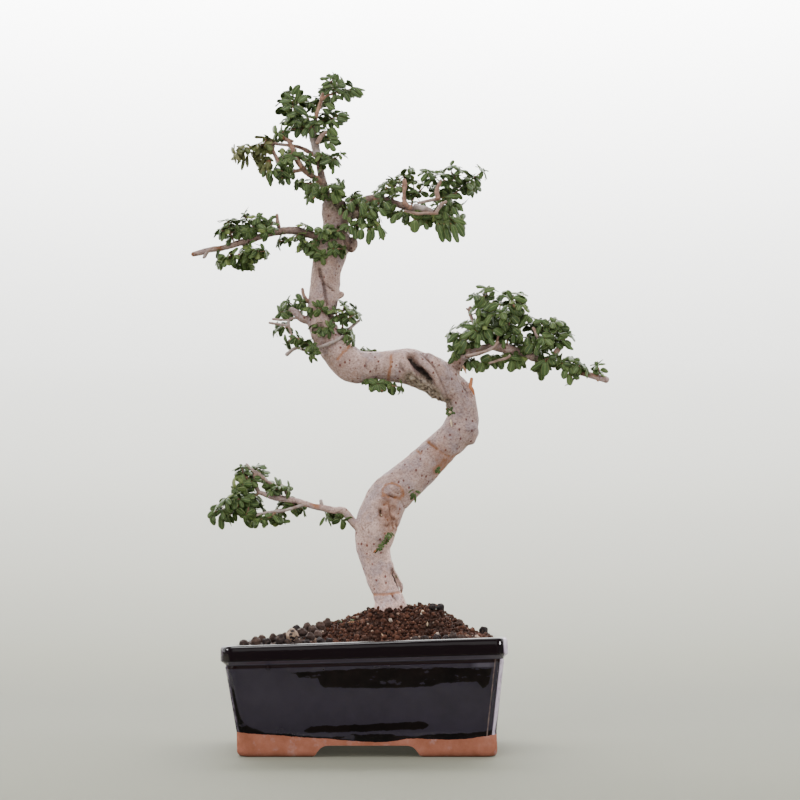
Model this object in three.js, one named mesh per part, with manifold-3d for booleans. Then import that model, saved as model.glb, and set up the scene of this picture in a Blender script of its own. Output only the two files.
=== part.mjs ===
// Chinese elm bonsai growing in a glazed rectangular pot. Millimetres, +Z up, front towards -Y.
// Every point below is measured from the middle of the pot's underside.
// At the end the whole object is moved, so that its origin is the bottom centre of its box.

import * as THREE from "three";
import { mergeVertices } from "three/addons/utils/BufferGeometryUtils.js";
import Module from "manifold-3d";

const wasm = await Module();
wasm.setup();

// Pot: outside size at the rim, wall and floor.
const POT_LENGTH = 202;
const POT_DEPTH = 150;
const POT_HEIGHT = 80;
const CORNER_RADIUS = 10;
const WALL = 7;
const WALL_SLOPE = 0.146;
const WALL_INSET = 2.9;
const FOOT_HEIGHT = 8;
// The bare clay below this height stands upright, and its lower edge is rounded by this much.
const SLOPE_FROM = 17;
const FOOT_ROUND = 4;
const FLOOR_TOP = 16;
const GROOVE_FROM = 64;
const RIM_FROM = 71;
// Rim outline above the wall, as [inset from the rim, height].
const RIM_PROFILE = [
  [3.6, 65], [3.5, 66.6], [2.4, 67.6], [0.4, 69.8], [0, 70.8], [0, 77.6], [0.5, 79.2], [1.8, 80],
];
// The hand-made pot leans: its rim rises to the right by this much per millimetre.
const LEAN = 0.031;
// Gaps between the feet, at the table and under the floor.
const LONG_ARCH = { table: 69, floor: 55 };
const SHORT_ARCH = { table: 62, floor: 50 };
// How far a cutting shape reaches past the clay that it cuts.
const CUT_MARGIN = 2;
// The rim's inner side, as insets at its lower edge and at its top.
const MOUTH = { lower: 9.4, top: 8 };
const DRAIN_RADIUS = 8;
const DRAIN_SIDES = 16;
const DRAIN_OFFSET = 45;

// Drain mesh: a square of plastic net over each drain hole.
const MESH_SIDE = 28;
const MESH_THICKNESS = 1;
const MESH_BARS = 3;
const MESH_BAR = 1.6;

// Touching pieces keep this gap.
const GAP = 0.3;

// Soil: its height at the walls and the mound round the trunk.
const SOIL_EDGE = 77;
const MOUND_RISE = 28;
const MOUND = { x: 29, y: 3, flat: 22, left: 70, right: 46, depth: 56 };
const GRAIN_RELIEF = 2.2;
const SOIL_STEP = 26;
const SOIL_RINGS = 6;
const SOIL_RINGS_FROM = 66;
const SOIL_RIM_SHARE = 0.01;

// Clay pellets: a bed of them on the soil in the front left corner, with its middle and base.
// The lift is for a valley between four of them, a dip between two, and a crown.
const PELLET_SIZE = 7.2;
const PELLET_LIFT = [0, 0.28, 0.62];
const PELLET_JITTER = { side: 0.7, height: 0.6 };
const PELLET_BED = { x: -70, y: -30, z: 80, columns: 4, rows: 8 };

// Leaves grow in pairs along each twig past its bare base, each from a short span of wood.
const LEAFLESS = 0.25;
const PAIR_SPACING = 12;
const LEAF_SPAN = 2.2;
const PAIR_SHIFT = 0.3;
// A leaf's half width, its arch and fold as shares of its length and half width.
const LEAF_WIDTH = 0.26;
const LEAF_ARCH = 0.22;
const LEAF_FOLD = 0.35;
const LEAF_THICKNESS = 0.95;
// Its outline from base to tip, as [share of length, share of half width], with a tooth.
const LEAF_EDGE = [[0.44, 1], [0.55, 0.76]];
const LEAF_RIB = 0.42;
// Radians from the twig, of roll about itself, and turned to clear its neighbours.
const LEAF_ANGLE = 0.95;
const LEAF_ANGLE_RANGE = 0.3;
const LEAF_ROLL = 0.8;
const LEAF_TURNS = [0, 0.5, -0.5, 1, -1];
const LEAF_ROOM = 0.25;
// Least and range of a leaf's droop and length, as shares of its spray's.
const LEAF_DROOP = { least: 0.3, range: 0.5 };
const LEAF_LENGTH = { least: 0.9, range: 0.3 };
// How far leaves turn their faces to the light.
const LEAF_FACING = 0.5;
// Light comes from above and from the outside of the crown.
const LIGHT_SIDE = 0.75;
const LIGHT_UP = 0.66;
// A twig that points at the light this closely spreads its leaves sideways.
const TOWARDS_LIGHT = 0.3;
// Twigs: radius, depth of the root in the parent, and length of the neck out of it.
const TWIG_RADIUS = { base: 1.1, tip: 0.85 };
const TWIG_SUNK = 0.5;
const TWIG_NECK = 1.6;

// Trunk axis from the root end up to the chopped top, as [x, y, z, radius].
const TRUNK = [
  [20, 5, 66, 6], [20, 5, 80, 10], [19, 5, 92, 13], [18, 5, 101, 13], [17, 5, 108, 11.2],
  [14, 4, 116, 10.6], [10, 3, 127, 11.1], [7, 1, 138, 11.7], [5, -1, 147, 12.8],
  [6, -2, 157, 15.1], [8, -3, 167, 16.2], [12, -3, 177, 15.9], [17, -2, 186, 15.9],
  [30, 1, 198, 14.4], [44, 4, 211, 13.6], [58, 7, 225, 12.6], [68, 9, 234, 13.1],
  [73, 10, 245, 12.7], [73, 9, 256, 11.2], [70, 8, 267, 11.6], [61, 6, 273, 13.5],
  [53, 4, 278, 14.6], [41, 2, 283, 14.2], [30, 0, 286, 13.8], [17, -2, 286, 12.0],
  [5, -4, 286, 10.7], [-9, -5, 285, 13.0], [-18, -6, 291, 12.8], [-26, -6, 300, 11.5],
  [-32, -5, 310, 11.1], [-36, -4, 324, 10.4], [-34, -2, 337, 11.5], [-33, 0, 349, 11.6],
  [-32, 2, 362, 11.6], [-29, 3, 374, 12.4], [-26, 4, 386, 12.1], [-25, 4, 398, 10.1],
  [-26, 4, 408, 10.1], [-27, 4, 416, 9.4],
];

// Lumps on the trunk, as centre, semi-axes, and the direction of the long one.
const LUMPS = [
  // healed cut on the upper right
  { at: [-12, 3, 382], axes: [6.5, 4.5, 4.5], along: [0.2, 0, 1] },
  // snag beside the long cleft
  { at: [-22, -1, 341], axes: [4.5, 3.5, 3], along: [1, 0, 0.4] },
  // swelling under the upper bend
  { at: [77, 8, 236], axes: [7, 6, 6], along: [0.3, 0, 1] },
  // knobbed scar where the trunk turns to the right
  { at: [16, -12, 178], axes: [7, 5, 5], along: [0.2, 0, 1] },
  { at: [24, -8, 189], axes: [6, 5, 4.5], along: [1, 0, 0.6] },
  { at: [10, -14, 170], axes: [5, 4.5, 4], along: [0, 0, 1] },
  // thick lips of the slit scar
  { at: [44, -9, 283], axes: [11, 4.5, 4], along: [1, 0, -0.8] },
  { at: [54, -8, 285], axes: [14, 4, 4.5], along: [1, 0, -1.1] },
];

// Hollows cut into the wood, given the same way.
const HOLLOWS = [
  // slit scar on the front of the big bend
  { at: [43, -12, 287], axes: [14, 5.5, 3.2], along: [1, -0.1, -0.95] },
  // long cleft of the upper trunk
  { at: [-33, -12, 340], axes: [19, 4, 1.3], along: [-0.12, 0, 1] },
  // hollow behind the bark flap near the soil
  { at: [20, -6, 123], axes: [8, 5, 2.6], along: [0.25, 0, 1] },
];

// Bare limbs of the trunk, as [x, y, z, radius].
const LIMBS = [
  // leader
  [
    [-30, 4, 411, 3.9], [-33, 4, 424, 3.5], [-36, 3, 434, 3.1], [-37, 2, 441, 2.8],
    [-39, 1, 451, 2.6], [-40, 0, 458, 2.4], [-41, 0, 466, 2.2], [-42, 1, 475, 1.8],
    [-41, 1, 485, 1.6], [-39, 0, 492, 1.3],
  ],
  // apex low
  [
    [-36, 3, 432, 2.7], [-44, -1, 436, 2.3], [-50, -4, 440, 2.2], [-54, -6, 447, 1.7],
    [-57, -8, 454, 1.6], [-60, -10, 459, 1.5], [-63, -11, 462, 1.2], [-67, -12, 464, 1.0],
  ],
  // apex left
  [
    [-50, -4, 440, 1.7], [-58, -7, 438, 1.5], [-65, -9, 441, 1.3], [-70, -10, 447, 1.2],
    [-74, -10, 456, 1.2], [-75, -10, 461, 1.0],
  ],
  // apex back
  [
    [-39, 1, 451, 1.9], [-47, 4, 457, 1.7], [-54, 6, 461, 1.5], [-62, 8, 463, 1.3],
    [-69, 9, 464, 1.1],
  ],
  // right top
  [
    [-22, 4, 400, 4.7], [-14, 5, 407, 4.5], [-7, 6, 414, 3.9], [-2, 7, 418, 3.5], [5, 8, 420, 3.0],
    [12, 8, 419, 2.5], [21, 7, 416, 2.3], [29, 6, 413, 2.5], [37, 5, 410, 2.8], [45, 4, 409, 2.4],
    [54, 3, 407, 1.8],
  ],
  // right top stub
  [
    [32, 5, 412, 1.7], [29, 2, 416, 1.6], [28, 0, 422, 1.4], [28, -1, 428, 1.4],
    [28, -1, 432, 1.2],
  ],
  // left top
  [
    [-25, 3, 382, 3.9], [-32, 2, 384, 3.4], [-40, -1, 387, 3.0], [-46, -3, 389, 2.9],
    [-52, -4, 391, 2.8], [-60, -6, 391, 2.8], [-67, -8, 390, 2.9], [-75, -9, 388, 2.6],
    [-83, -10, 385, 2.5], [-90, -11, 382, 2.5], [-98, -11, 380, 2.5], [-105, -11, 378, 2.3],
    [-113, -10, 376, 2.1], [-121, -9, 375, 2.0], [-129, -8, 373, 2.0], [-134, -7, 372, 2.1],
  ],
  // left top stub
  [[-67, -8, 390, 1.7], [-69, -8, 396, 1.5], [-70, -7, 403, 1.2]],
  // left top nub
  [[-123, -9, 374, 1.5], [-125, -9, 370, 1.4], [-126, -9, 369, 1.1]],
  // tangle
  [
    [-33, -4, 320, 3.8], [-43, -6, 321, 3.2], [-49, -9, 321, 2.9], [-54, -11, 325, 2.6],
    [-58, -12, 328, 1.8],
  ],
  // loop
  [
    [-61, -13, 293, 1.5], [-56, -13, 297, 1.3], [-52, -14, 298, 1.2], [-47, -16, 296, 1.1],
    [-39, -18, 297, 1.1], [-32, -19, 299, 1.2], [-25, -18, 302, 1.3], [-18, -12, 307, 1.4],
  ],
  // tangle stub d
  [[-39, -4, 333, 1.8], [-46, -6, 336, 1.5], [-49, -7, 341, 1.2], [-50, -7, 345, 1.1]],
  // tangle low
  [[-33, -5, 302, 2.7], [-39, -7, 307, 2.3], [-41, -9, 313, 2.1], [-44, -8, 319, 2.1]],
  // right small
  [
    [-25, -6, 300, 1.8], [-19, -8, 307, 1.5], [-15, -9, 312, 1.3], [-11, -9, 316, 1.1],
    [-6, -9, 320, 1.0],
  ],
  // right low
  [
    [64, 7, 279, 5.4], [69, 6, 289, 4.6], [74, 5, 295, 3.9], [78, 4, 298, 3.1], [84, 3, 300, 2.5],
    [90, 3, 301, 2.5], [96, 3, 302, 2.8], [102, 3, 301, 3.5], [108, 3, 300, 3.8],
    [114, 3, 298, 3.5], [121, 3, 296, 3.2], [128, 3, 293, 2.9], [134, 3, 291, 2.5],
    [142, 2, 288, 2.2], [149, 1, 286, 2.1], [158, 0, 283, 1.9], [167, -1, 280, 2.0],
    [176, -2, 277, 2.1], [183, -3, 275, 2.2],
  ],
  // right low stub
  [
    [86, 4, 301, 1.5], [85, 9, 313, 1.3], [82, 11, 322, 1.2], [79, 11, 330, 1.2],
    [79, 11, 334, 0.9],
  ],
  // right low twig
  [
    [76, 3, 294, 1.4], [85, -2, 295, 1.1], [93, -4, 298, 1.1], [98, -5, 302, 1.1],
    [100, -5, 308, 0.9],
  ],
  // right low end
  [[142, 2, 288, 1.7], [145, 0, 296, 1.8], [149, -1, 302, 1.5]],
  // low left
  [
    [2, -4, 158, 3.5], [-8, -8, 164, 3.2], [-14, -11, 171, 2.9], [-18, -13, 175, 2.6],
    [-24, -14, 175, 2.5], [-29, -15, 176, 2.5], [-34, -16, 177, 2.6], [-40, -16, 178, 2.2],
    [-46, -16, 180, 2.1], [-52, -15, 182, 2.0], [-58, -15, 183, 2.1], [-64, -14, 184, 2.1],
    [-70, -13, 185, 1.9], [-76, -12, 187, 1.7], [-82, -12, 189, 1.5],
  ],
  // low left nub
  [[-33, -16, 177, 1.8], [-34, -16, 182, 1.2]],
  // low left cut
  [
    [-47, -16, 179, 1.3], [-56, -18, 176, 1.1], [-64, -19, 174, 1.1], [-73, -20, 173, 1.1],
    [-81, -20, 171, 1.1],
  ],
  // low left small
  [[-58, -15, 183, 1.4], [-60, -14, 189, 1.2], [-63, -14, 193, 1.0]],
  // knob
  [[-18, 3, 403, 3.9], [-10, -1, 405, 3.4], [-8, -2, 403, 2.3]],
];

// Leafy sprays: leaf length, droop, and the points of each twig from its limb to its tip.
const SPRAYS = [
  {
    name: "crown",
    leaf: 9,
    droop: 0.5,
    twigs: [
      [[-39, 1, 489], [-39, 0, 492], [-36, 0, 500], [-32, -1, 506], [-28, -2, 513]],
      [[-36, 0, 499], [-28, -4, 501], [-20, -5, 502], [-13, -4, 505]],
      [[-32, -1, 505], [-25, 4, 509], [-22, 6, 514]],
      [[-38, 0, 495], [-34, 6, 494], [-30, 8, 498]],
      [[-38, 0, 495], [-43, -4, 490], [-45, -5, 492]],
    ],
  },
  {
    name: "leader_right",
    leaf: 9,
    droop: 0.5,
    twigs: [
      [[-42, 1, 478], [-34, 2, 481], [-27, 0, 483], [-21, -1, 486]],
      [[-36, 2, 480], [-34, 8, 488], [-33, 10, 492]],
    ],
  },
  {
    name: "leader_right_low",
    leaf: 9,
    droop: 0.45,
    twigs: [
      [[-41, 0, 459], [-37, -3, 466], [-32, -6, 470]],
      [[-37, -3, 466], [-31, -1, 466], [-29, 1, 464]],
    ],
  },
  {
    name: "upper_left",
    leaf: 12,
    droop: 0.35,
    twigs: [
      [[-42, 1, 472], [-51, 3, 477], [-57, 4, 483], [-60, 3, 490], [-59, 2, 498], [-60, 1, 503]],
      [[-59, 3, 488], [-64, 0, 492], [-66, -1, 494]],
      [[-60, 3, 495], [-55, 5, 499], [-52, 6, 501]],
    ],
  },
  {
    name: "upper_left_low",
    leaf: 10,
    droop: 0.55,
    twigs: [
      [[-41, 0, 467], [-49, -4, 471], [-56, -7, 472], [-63, -9, 469], [-69, -10, 467]],
      [[-54, -6, 472], [-57, -10, 476], [-62, -11, 478]],
      [[-47, -3, 470], [-44, -8, 474], [-46, -9, 479]],
    ],
  },
  {
    name: "left_inner",
    leaf: 9,
    droop: 0.6,
    twigs: [
      [[-56, -7, 451], [-60, -11, 450], [-65, -13, 447]],
      [[-59, -10, 451], [-61, -14, 445], [-62, -15, 440]],
    ],
  },
  {
    name: "left_back",
    leaf: 9,
    droop: 0.6,
    twigs: [
      [[-62, 8, 463], [-63, 13, 458], [-67, 14, 453]],
      [[-62, 11, 461], [-56, 15, 456], [-49, 15, 451]],
    ],
  },
  {
    name: "left_low_a",
    leaf: 9,
    droop: 0.75,
    twigs: [
      [[-60, -8, 438], [-62, -11, 433], [-66, -12, 431]],
      [[-62, -10, 435], [-67, -14, 436], [-71, -15, 436]],
    ],
  },
  {
    name: "left_low_b",
    leaf: 9,
    droop: 0.75,
    twigs: [
      [[-41, 1, 435], [-43, -3, 429], [-49, -5, 429], [-53, -6, 429]],
      [[-43, -2, 430], [-43, -4, 424], [-44, -5, 419]],
      [[-43, -3, 429], [-37, -4, 424], [-35, -6, 420]],
    ],
  },
  {
    name: "far_left",
    leaf: 10,
    droop: 0.85,
    twigs: [
      [[-74, -10, 459], [-82, -12, 457], [-89, -13, 455], [-95, -13, 453], [-101, -12, 451]],
      [[-78, -11, 458], [-79, -7, 452], [-79, -6, 445], [-78, -6, 438]],
      [[-79, -7, 453], [-84, -5, 451], [-86, -4, 448]],
    ],
  },
  {
    name: "right_twig",
    leaf: 9,
    droop: 0.55,
    twigs: [
      [[-37, 2, 439], [-34, 0, 445], [-28, -2, 448], [-22, -3, 452]],
      [[-32, -1, 446], [-35, -5, 448], [-36, -6, 450]],
    ],
  },
  {
    name: "leader_right_base",
    leaf: 10,
    droop: 0.6,
    twigs: [
      [[-34, 3, 427], [-29, -1, 427], [-23, -2, 428]],
      [[-29, -1, 427], [-26, -5, 423], [-24, -7, 419]],
    ],
  },
  {
    name: "right_top_near",
    leaf: 9,
    droop: 0.7,
    twigs: [
      [[-2, 7, 417], [-8, 2, 418], [-13, -1, 416], [-17, -2, 411]],
      [[-7, 2, 417], [-1, -1, 410], [-4, -3, 402]],
      [[-1, -1, 409], [3, -2, 405], [7, -2, 403]],
    ],
  },
  {
    name: "front_twig",
    leaf: 9.5,
    droop: 1.0,
    twigs: [
      [
        [-25, 3, 382], [-27, -7, 383], [-25, -9, 388], [-20, -10, 391], [-12, -9, 394],
        [-3, -7, 395], [4, -6, 395], [10, -6, 392],
      ],
    ],
  },
  {
    name: "right_top_inner",
    leaf: 8.5,
    droop: 0.7,
    twigs: [
      [[14, 8, 418], [10, 3, 413], [6, 1, 411]],
      [[12, 5, 415], [16, 0, 410], [18, -2, 406]],
    ],
  },
  {
    name: "right_top_mid_a",
    leaf: 9,
    droop: 0.5,
    twigs: [
      [[20, 7, 416], [19, 6, 424], [22, 6, 431], [27, 7, 437], [33, 8, 440]],
      [[19, 6, 423], [15, 2, 425], [13, 0, 426]],
      [[22, 6, 430], [19, 12, 435]],
    ],
  },
  {
    name: "right_top_mid_b",
    leaf: 9,
    droop: 0.6,
    twigs: [
      [[34, 5, 411], [35, 8, 420], [36, 9, 427], [35, 9, 433]],
      [[35, 8, 421], [40, 6, 425], [44, 5, 429]],
      [[35, 8, 421], [31, 13, 427], [25, 14, 429]],
    ],
  },
  {
    name: "right_top_below",
    leaf: 11,
    droop: 0.9,
    twigs: [
      [[41, 4, 410], [41, 0, 404], [38, -3, 400]],
      [[41, 1, 406], [46, 4, 404], [51, 5, 403]],
      [[41, 2, 407], [33, 6, 407], [26, 8, 409]],
    ],
  },
  {
    name: "right_end_top",
    leaf: 10.5,
    droop: 0.5,
    twigs: [
      [[53, 3, 407], [57, 1, 413], [62, 0, 418], [63, 0, 426], [65, -1, 434], [65, -2, 442]],
      [[58, 1, 413], [54, 4, 419], [55, 4, 427], [51, 2, 433], [47, 0, 438]],
      [[64, 0, 430], [68, -5, 434], [72, -7, 437]],
      [[63, 0, 427], [59, -5, 431], [57, -7, 434]],
      [[62, 0, 418], [69, 4, 424], [76, 6, 431], [84, 6, 437], [89, 6, 441]],
      [[75, 6, 430], [80, 3, 429], [81, 1, 425]],
    ],
  },
  {
    name: "right_end_hang",
    leaf: 11,
    droop: 1.0,
    twigs: [
      [[51, 3, 407], [58, -3, 404], [65, -5, 401], [71, -5, 398]],
      [[58, -3, 404], [60, -7, 397], [62, -8, 392]],
      [[55, 0, 405], [61, 7, 412], [67, 9, 417], [71, 10, 416]],
      [[61, 7, 412], [60, 12, 407], [58, 13, 404]],
    ],
  },
  {
    name: "left_end_top",
    leaf: 10,
    droop: 0.5,
    twigs: [
      [[-101, -11, 378], [-104, -12, 385], [-106, -12, 391], [-107, -11, 396]],
      [[-105, -12, 386], [-109, -16, 388], [-111, -17, 388]],
      [[-105, -12, 387], [-101, -8, 392], [-101, -7, 394]],
    ],
  },
  {
    name: "left_mid_top",
    leaf: 9.5,
    droop: 0.5,
    twigs: [
      [[-86, -10, 383], [-89, -9, 391], [-92, -9, 397], [-94, -9, 401]],
      [[-90, -9, 391], [-85, -14, 395], [-84, -15, 398]],
      [[-89, -9, 390], [-94, -15, 388], [-96, -17, 387]],
    ],
  },
  {
    name: "left_stub_top",
    leaf: 9,
    droop: 0.6,
    twigs: [
      [[-69, -8, 395], [-74, -10, 396], [-80, -11, 397]],
      [[-73, -10, 396], [-75, -15, 390], [-77, -19, 387]],
    ],
  },
  {
    name: "left_hang",
    leaf: 10,
    droop: 1.0,
    twigs: [
      [[-89, -11, 382], [-92, -12, 374], [-99, -14, 370], [-106, -15, 368]],
      [[-92, -12, 374], [-83, -16, 372], [-79, -17, 372]],
      [[-94, -12, 373], [-96, -8, 368], [-97, -6, 364]],
      [[-91, -12, 375], [-89, -8, 369], [-90, -7, 365]],
      [[-103, -15, 369], [-110, -11, 367], [-114, -9, 367]],
    ],
  },
  {
    name: "left_near_a",
    leaf: 9.5,
    droop: 0.8,
    twigs: [
      [[-52, -4, 390], [-56, -7, 385], [-62, -8, 383], [-67, -8, 382]],
      [[-54, -6, 386], [-52, -1, 383], [-50, 1, 380]],
    ],
  },
  {
    name: "left_near_b",
    leaf: 9,
    droop: 0.8,
    twigs: [
      [[-37, 0, 386], [-42, -6, 380], [-41, -9, 374], [-36, -11, 370]],
      [[-42, -6, 380], [-47, -10, 379], [-51, -12, 379]],
    ],
  },
  {
    name: "tuft_top_left",
    leaf: 9,
    droop: 0.7,
    twigs: [
      [[-26, 4, 387], [-30, -9, 388], [-34, -13, 389]],
    ],
  },
  {
    name: "tuft_front",
    leaf: 8.5,
    droop: 0.9,
    twigs: [
      [[-24, 4, 378], [-23, -9, 377], [-26, -12, 375]],
    ],
  },
  {
    name: "tangle_top",
    leaf: 9,
    droop: 0.5,
    twigs: [
      [[-50, -9, 321], [-52, -6, 327], [-56, -5, 332], [-61, -5, 335]],
      [[-52, -6, 327], [-45, -10, 329], [-41, -12, 328], [-35, -16, 328]],
      [[-54, -5, 330], [-51, -9, 334]],
      [[-55, -5, 330], [-60, -9, 327], [-65, -11, 326]],
    ],
  },
  {
    name: "loop_leaves",
    leaf: 8.5,
    droop: 0.8,
    twigs: [
      [[-42, -17, 297], [-43, -23, 298], [-46, -22, 300]],
      [[-43, -23, 298], [-40, -24, 294], [-41, -23, 292]],
    ],
  },
  {
    name: "trunk_left_low",
    leaf: 9,
    droop: 0.6,
    twigs: [
      [[-38, -7, 307], [-36, -15, 311], [-30, -19, 312]],
    ],
  },
  {
    name: "right_small_top",
    leaf: 9,
    droop: 0.5,
    twigs: [
      [[-18, -8, 308], [-19, -8, 317], [-19, -8, 324], [-18, -8, 331]],
      [[-19, -8, 318], [-13, -11, 322], [-9, -12, 324]],
      [[-19, -8, 321], [-23, -13, 323], [-24, -14, 326]],
      [[-19, -8, 320], [-14, -3, 328], [-11, -1, 330]],
      [[-19, -8, 312], [-15, -13, 307], [-12, -14, 304]],
    ],
  },
  {
    name: "tangle_low",
    leaf: 9.5,
    droop: 0.8,
    twigs: [
      [[-59, -14, 314], [-63, -10, 314], [-69, -8, 313]],
      [[-57, -13, 309], [-53, -16, 305], [-49, -17, 303]],
      [[-57, -13, 307], [-59, -10, 304], [-60, -9, 303]],
    ],
    bare: [
      [[-52, -10, 322], [-59, -13, 320], [-59, -14, 314], [-57, -13, 307]],
      [[-59, -14, 315], [-67, -15, 316], [-74, -16, 317]],
      [[-59, -13, 320], [-66, -11, 320], [-72, -10, 321]],
    ],
  },
  {
    name: "right_base",
    leaf: 10.5,
    droop: 0.75,
    twigs: [
      [[80, 4, 299], [76, 0, 305], [70, -2, 310], [64, -3, 311]],
      [[76, 0, 306], [70, -5, 301], [67, -7, 297]],
      [[79, 3, 301], [83, 5, 309], [81, 4, 316], [77, 3, 319]],
      [[82, 5, 310], [87, 1, 311], [91, 0, 311]],
    ],
  },
  {
    name: "right_base_low",
    leaf: 8.5,
    droop: 0.7,
    twigs: [
      [[74, 5, 296], [78, 8, 291], [81, 9, 289]],
    ],
  },
  {
    name: "right_tall_a",
    leaf: 10,
    droop: 0.5,
    twigs: [
      [[91, 3, 301], [93, -1, 314], [92, -2, 328], [91, -2, 339], [92, -2, 345]],
      [[93, -2, 321], [87, -7, 327], [85, -9, 329]],
      [[92, -2, 333], [86, -6, 337], [83, -7, 339]],
      [[93, -1, 313], [88, -8, 316], [84, -10, 316]],
    ],
  },
  {
    name: "right_tall_b",
    leaf: 10,
    droop: 0.5,
    twigs: [
      [[99, 3, 301], [102, 6, 314], [102, 7, 326], [103, 6, 336], [105, 5, 341]],
      [[102, 7, 324], [98, 11, 330], [95, 12, 333]],
      [[102, 6, 314], [97, 11, 319], [94, 13, 320]],
      [[102, 7, 322], [108, 11, 326], [112, 12, 327]],
    ],
  },
  {
    name: "right_tall_c",
    leaf: 10,
    droop: 0.55,
    twigs: [
      [[107, 3, 301], [108, -4, 310], [109, -6, 322], [112, -6, 333], [116, -5, 340]],
      [[110, -6, 328], [115, -10, 330], [117, -11, 331]],
      [[108, -4, 310], [111, -8, 310], [115, -9, 309]],
      [[109, -6, 319], [104, -11, 323], [103, -12, 325]],
    ],
  },
  {
    name: "right_mid",
    leaf: 9.5,
    droop: 0.6,
    twigs: [
      [[119, 3, 297], [120, -1, 302], [122, -2, 307]],
      [[120, 0, 301], [125, -5, 301], [128, -6, 299]],
      [[120, 1, 300], [116, 7, 305], [113, 9, 306]],
    ],
  },
  {
    name: "right_upright",
    leaf: 10,
    droop: 0.5,
    twigs: [
      [[133, 3, 291], [132, 6, 301], [130, 6, 310], [126, 5, 318], [122, 4, 324]],
      [[130, 6, 309], [134, 3, 315], [133, 1, 319]],
      [[132, 6, 304], [137, 10, 307], [140, 12, 309]],
    ],
  },
  {
    name: "right_high",
    leaf: 10,
    droop: 0.6,
    twigs: [
      [[147, 0, 299], [144, -4, 305], [141, -5, 312], [138, -5, 318]],
      [[146, -2, 301], [150, -6, 305], [152, -7, 309]],
      [[141, -5, 310], [145, -9, 314], [143, -10, 318]],
      [[144, -4, 307], [138, -10, 305], [135, -12, 305]],
    ],
  },
  {
    name: "right_mid_hang",
    leaf: 10,
    droop: 0.9,
    twigs: [
      [[136, 3, 291], [134, -2, 286], [133, -3, 283]],
      [[135, 1, 289], [139, -4, 292], [144, -6, 292]],
    ],
  },
  {
    name: "right_outer",
    leaf: 9.5,
    droop: 0.7,
    twigs: [
      [[153, 1, 284], [155, -3, 288], [157, -4, 290]],
      [[154, -2, 287], [160, -7, 285], [165, -8, 283]],
    ],
  },
  {
    name: "right_ball",
    leaf: 7.5,
    droop: 0.5,
    twigs: [
      [[176, -2, 277], [177, -3, 282], [176, -4, 285]],
    ],
  },
  {
    name: "right_under",
    leaf: 10,
    droop: 0.8,
    twigs: [
      [[111, 3, 299], [107, 0, 292], [99, -2, 291], [92, -2, 290], [87, -2, 289]],
      [[108, 1, 293], [114, -3, 291], [117, -5, 289]],
    ],
  },
  {
    name: "low_left_tip",
    leaf: 10,
    droop: 0.8,
    twigs: [
      [[-80, -12, 188], [-87, -15, 184], [-94, -17, 180], [-103, -18, 176], [-112, -18, 174]],
      [[-92, -17, 181], [-96, -22, 183], [-103, -24, 182]],
      [[-96, -17, 180], [-98, -12, 175], [-102, -10, 172]],
      [[-88, -15, 183], [-88, -19, 176], [-89, -20, 172]],
      [[-86, -15, 185], [-83, -11, 181], [-84, -9, 178]],
    ],
  },
  {
    name: "low_left_up",
    leaf: 9.5,
    droop: 0.6,
    twigs: [
      [[-84, -12, 196], [-88, -14, 197], [-92, -15, 202], [-93, -15, 206]],
      [[-88, -14, 197], [-92, -18, 194], [-96, -20, 191]],
      [[-90, -14, 199], [-89, -8, 204], [-87, -6, 206]],
      [[-87, -14, 197], [-90, -11, 190], [-92, -10, 185]],
      [[-84, -11, 201], [-77, -9, 198], [-72, -8, 194], [-68, -8, 192]],
      [[-79, -9, 199], [-81, -6, 204], [-83, -5, 207]],
    ],
    bare: [
      [[-81, -12, 189], [-83, -12, 195], [-84, -11, 202], [-88, -11, 206], [-91, -11, 209]],
    ],
  },
  {
    name: "low_left_mid",
    leaf: 9,
    droop: 0.6,
    twigs: [
      [[-68, -13, 185], [-70, -17, 189], [-65, -19, 191]],
    ],
  },
  {
    name: "low_left_inner",
    leaf: 9.5,
    droop: 0.8,
    twigs: [
      [[-55, -15, 182], [-54, -12, 178], [-49, -10, 176]],
      [[-54, -13, 180], [-60, -8, 179], [-65, -7, 179]],
    ],
  },
  {
    name: "low_left_under",
    leaf: 9.5,
    droop: 0.8,
    twigs: [
      [[-68, -20, 173], [-70, -24, 170], [-76, -24, 168], [-82, -21, 167]],
    ],
  },
  {
    name: "low_left_near",
    leaf: 9.5,
    droop: 0.8,
    twigs: [
      [[-18, -12, 174], [-22, -9, 172], [-28, -8, 171]],
    ],
  },
  {
    name: "under_twig",
    leaf: 9,
    droop: 0.9,
    twigs: [
      [[-4, -6, 282], [0, -9, 274], [7, -10, 272], [16, -10, 270], [25, -8, 269]],
      [[10, -10, 272], [8, -15, 270]],
    ],
  },
  {
    name: "back_tuft",
    leaf: 8,
    droop: 0.5,
    twigs: [
      [[1, -2, 286], [-1, 11, 296], [2, 13, 299]],
    ],
  },
  {
    name: "tuft_low",
    leaf: 7,
    droop: 0.6,
    twigs: [
      [[15, -12, 152], [15, -18, 153], [16, -24, 155]],
    ],
  },
];

// Repeatable random numbers from 0 to 1.
function seededRandom(seed) {
  let state = seed;
  const next = () => {
    state = (state * 1664525 + 1013904223) % 4294967296;
    return state / 4294967296;
  };
  next();
  next();
  return next;
}

// A closed three.js geometry as a solid that can be joined and cut.
function solid(geometry) {
  geometry.deleteAttribute("normal");
  geometry.deleteAttribute("uv");
  const merged = mergeVertices(geometry, 1e-4);
  const vertProperties = merged.attributes.position.array;
  const triVerts = new Uint32Array(merged.index.array);
  return new wasm.Manifold(new wasm.Mesh({ numProp: 3, vertProperties, triVerts }));
}

// A solid's surface as a three.js geometry.
function surface(body) {
  const { vertProperties, triVerts } = body.getMesh();
  const geometry = new THREE.BufferGeometry();
  geometry.setAttribute("position", new THREE.BufferAttribute(vertProperties, 3));
  geometry.setIndex(new THREE.BufferAttribute(triVerts, 1));
  geometry.computeVertexNormals();
  return geometry;
}

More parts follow.
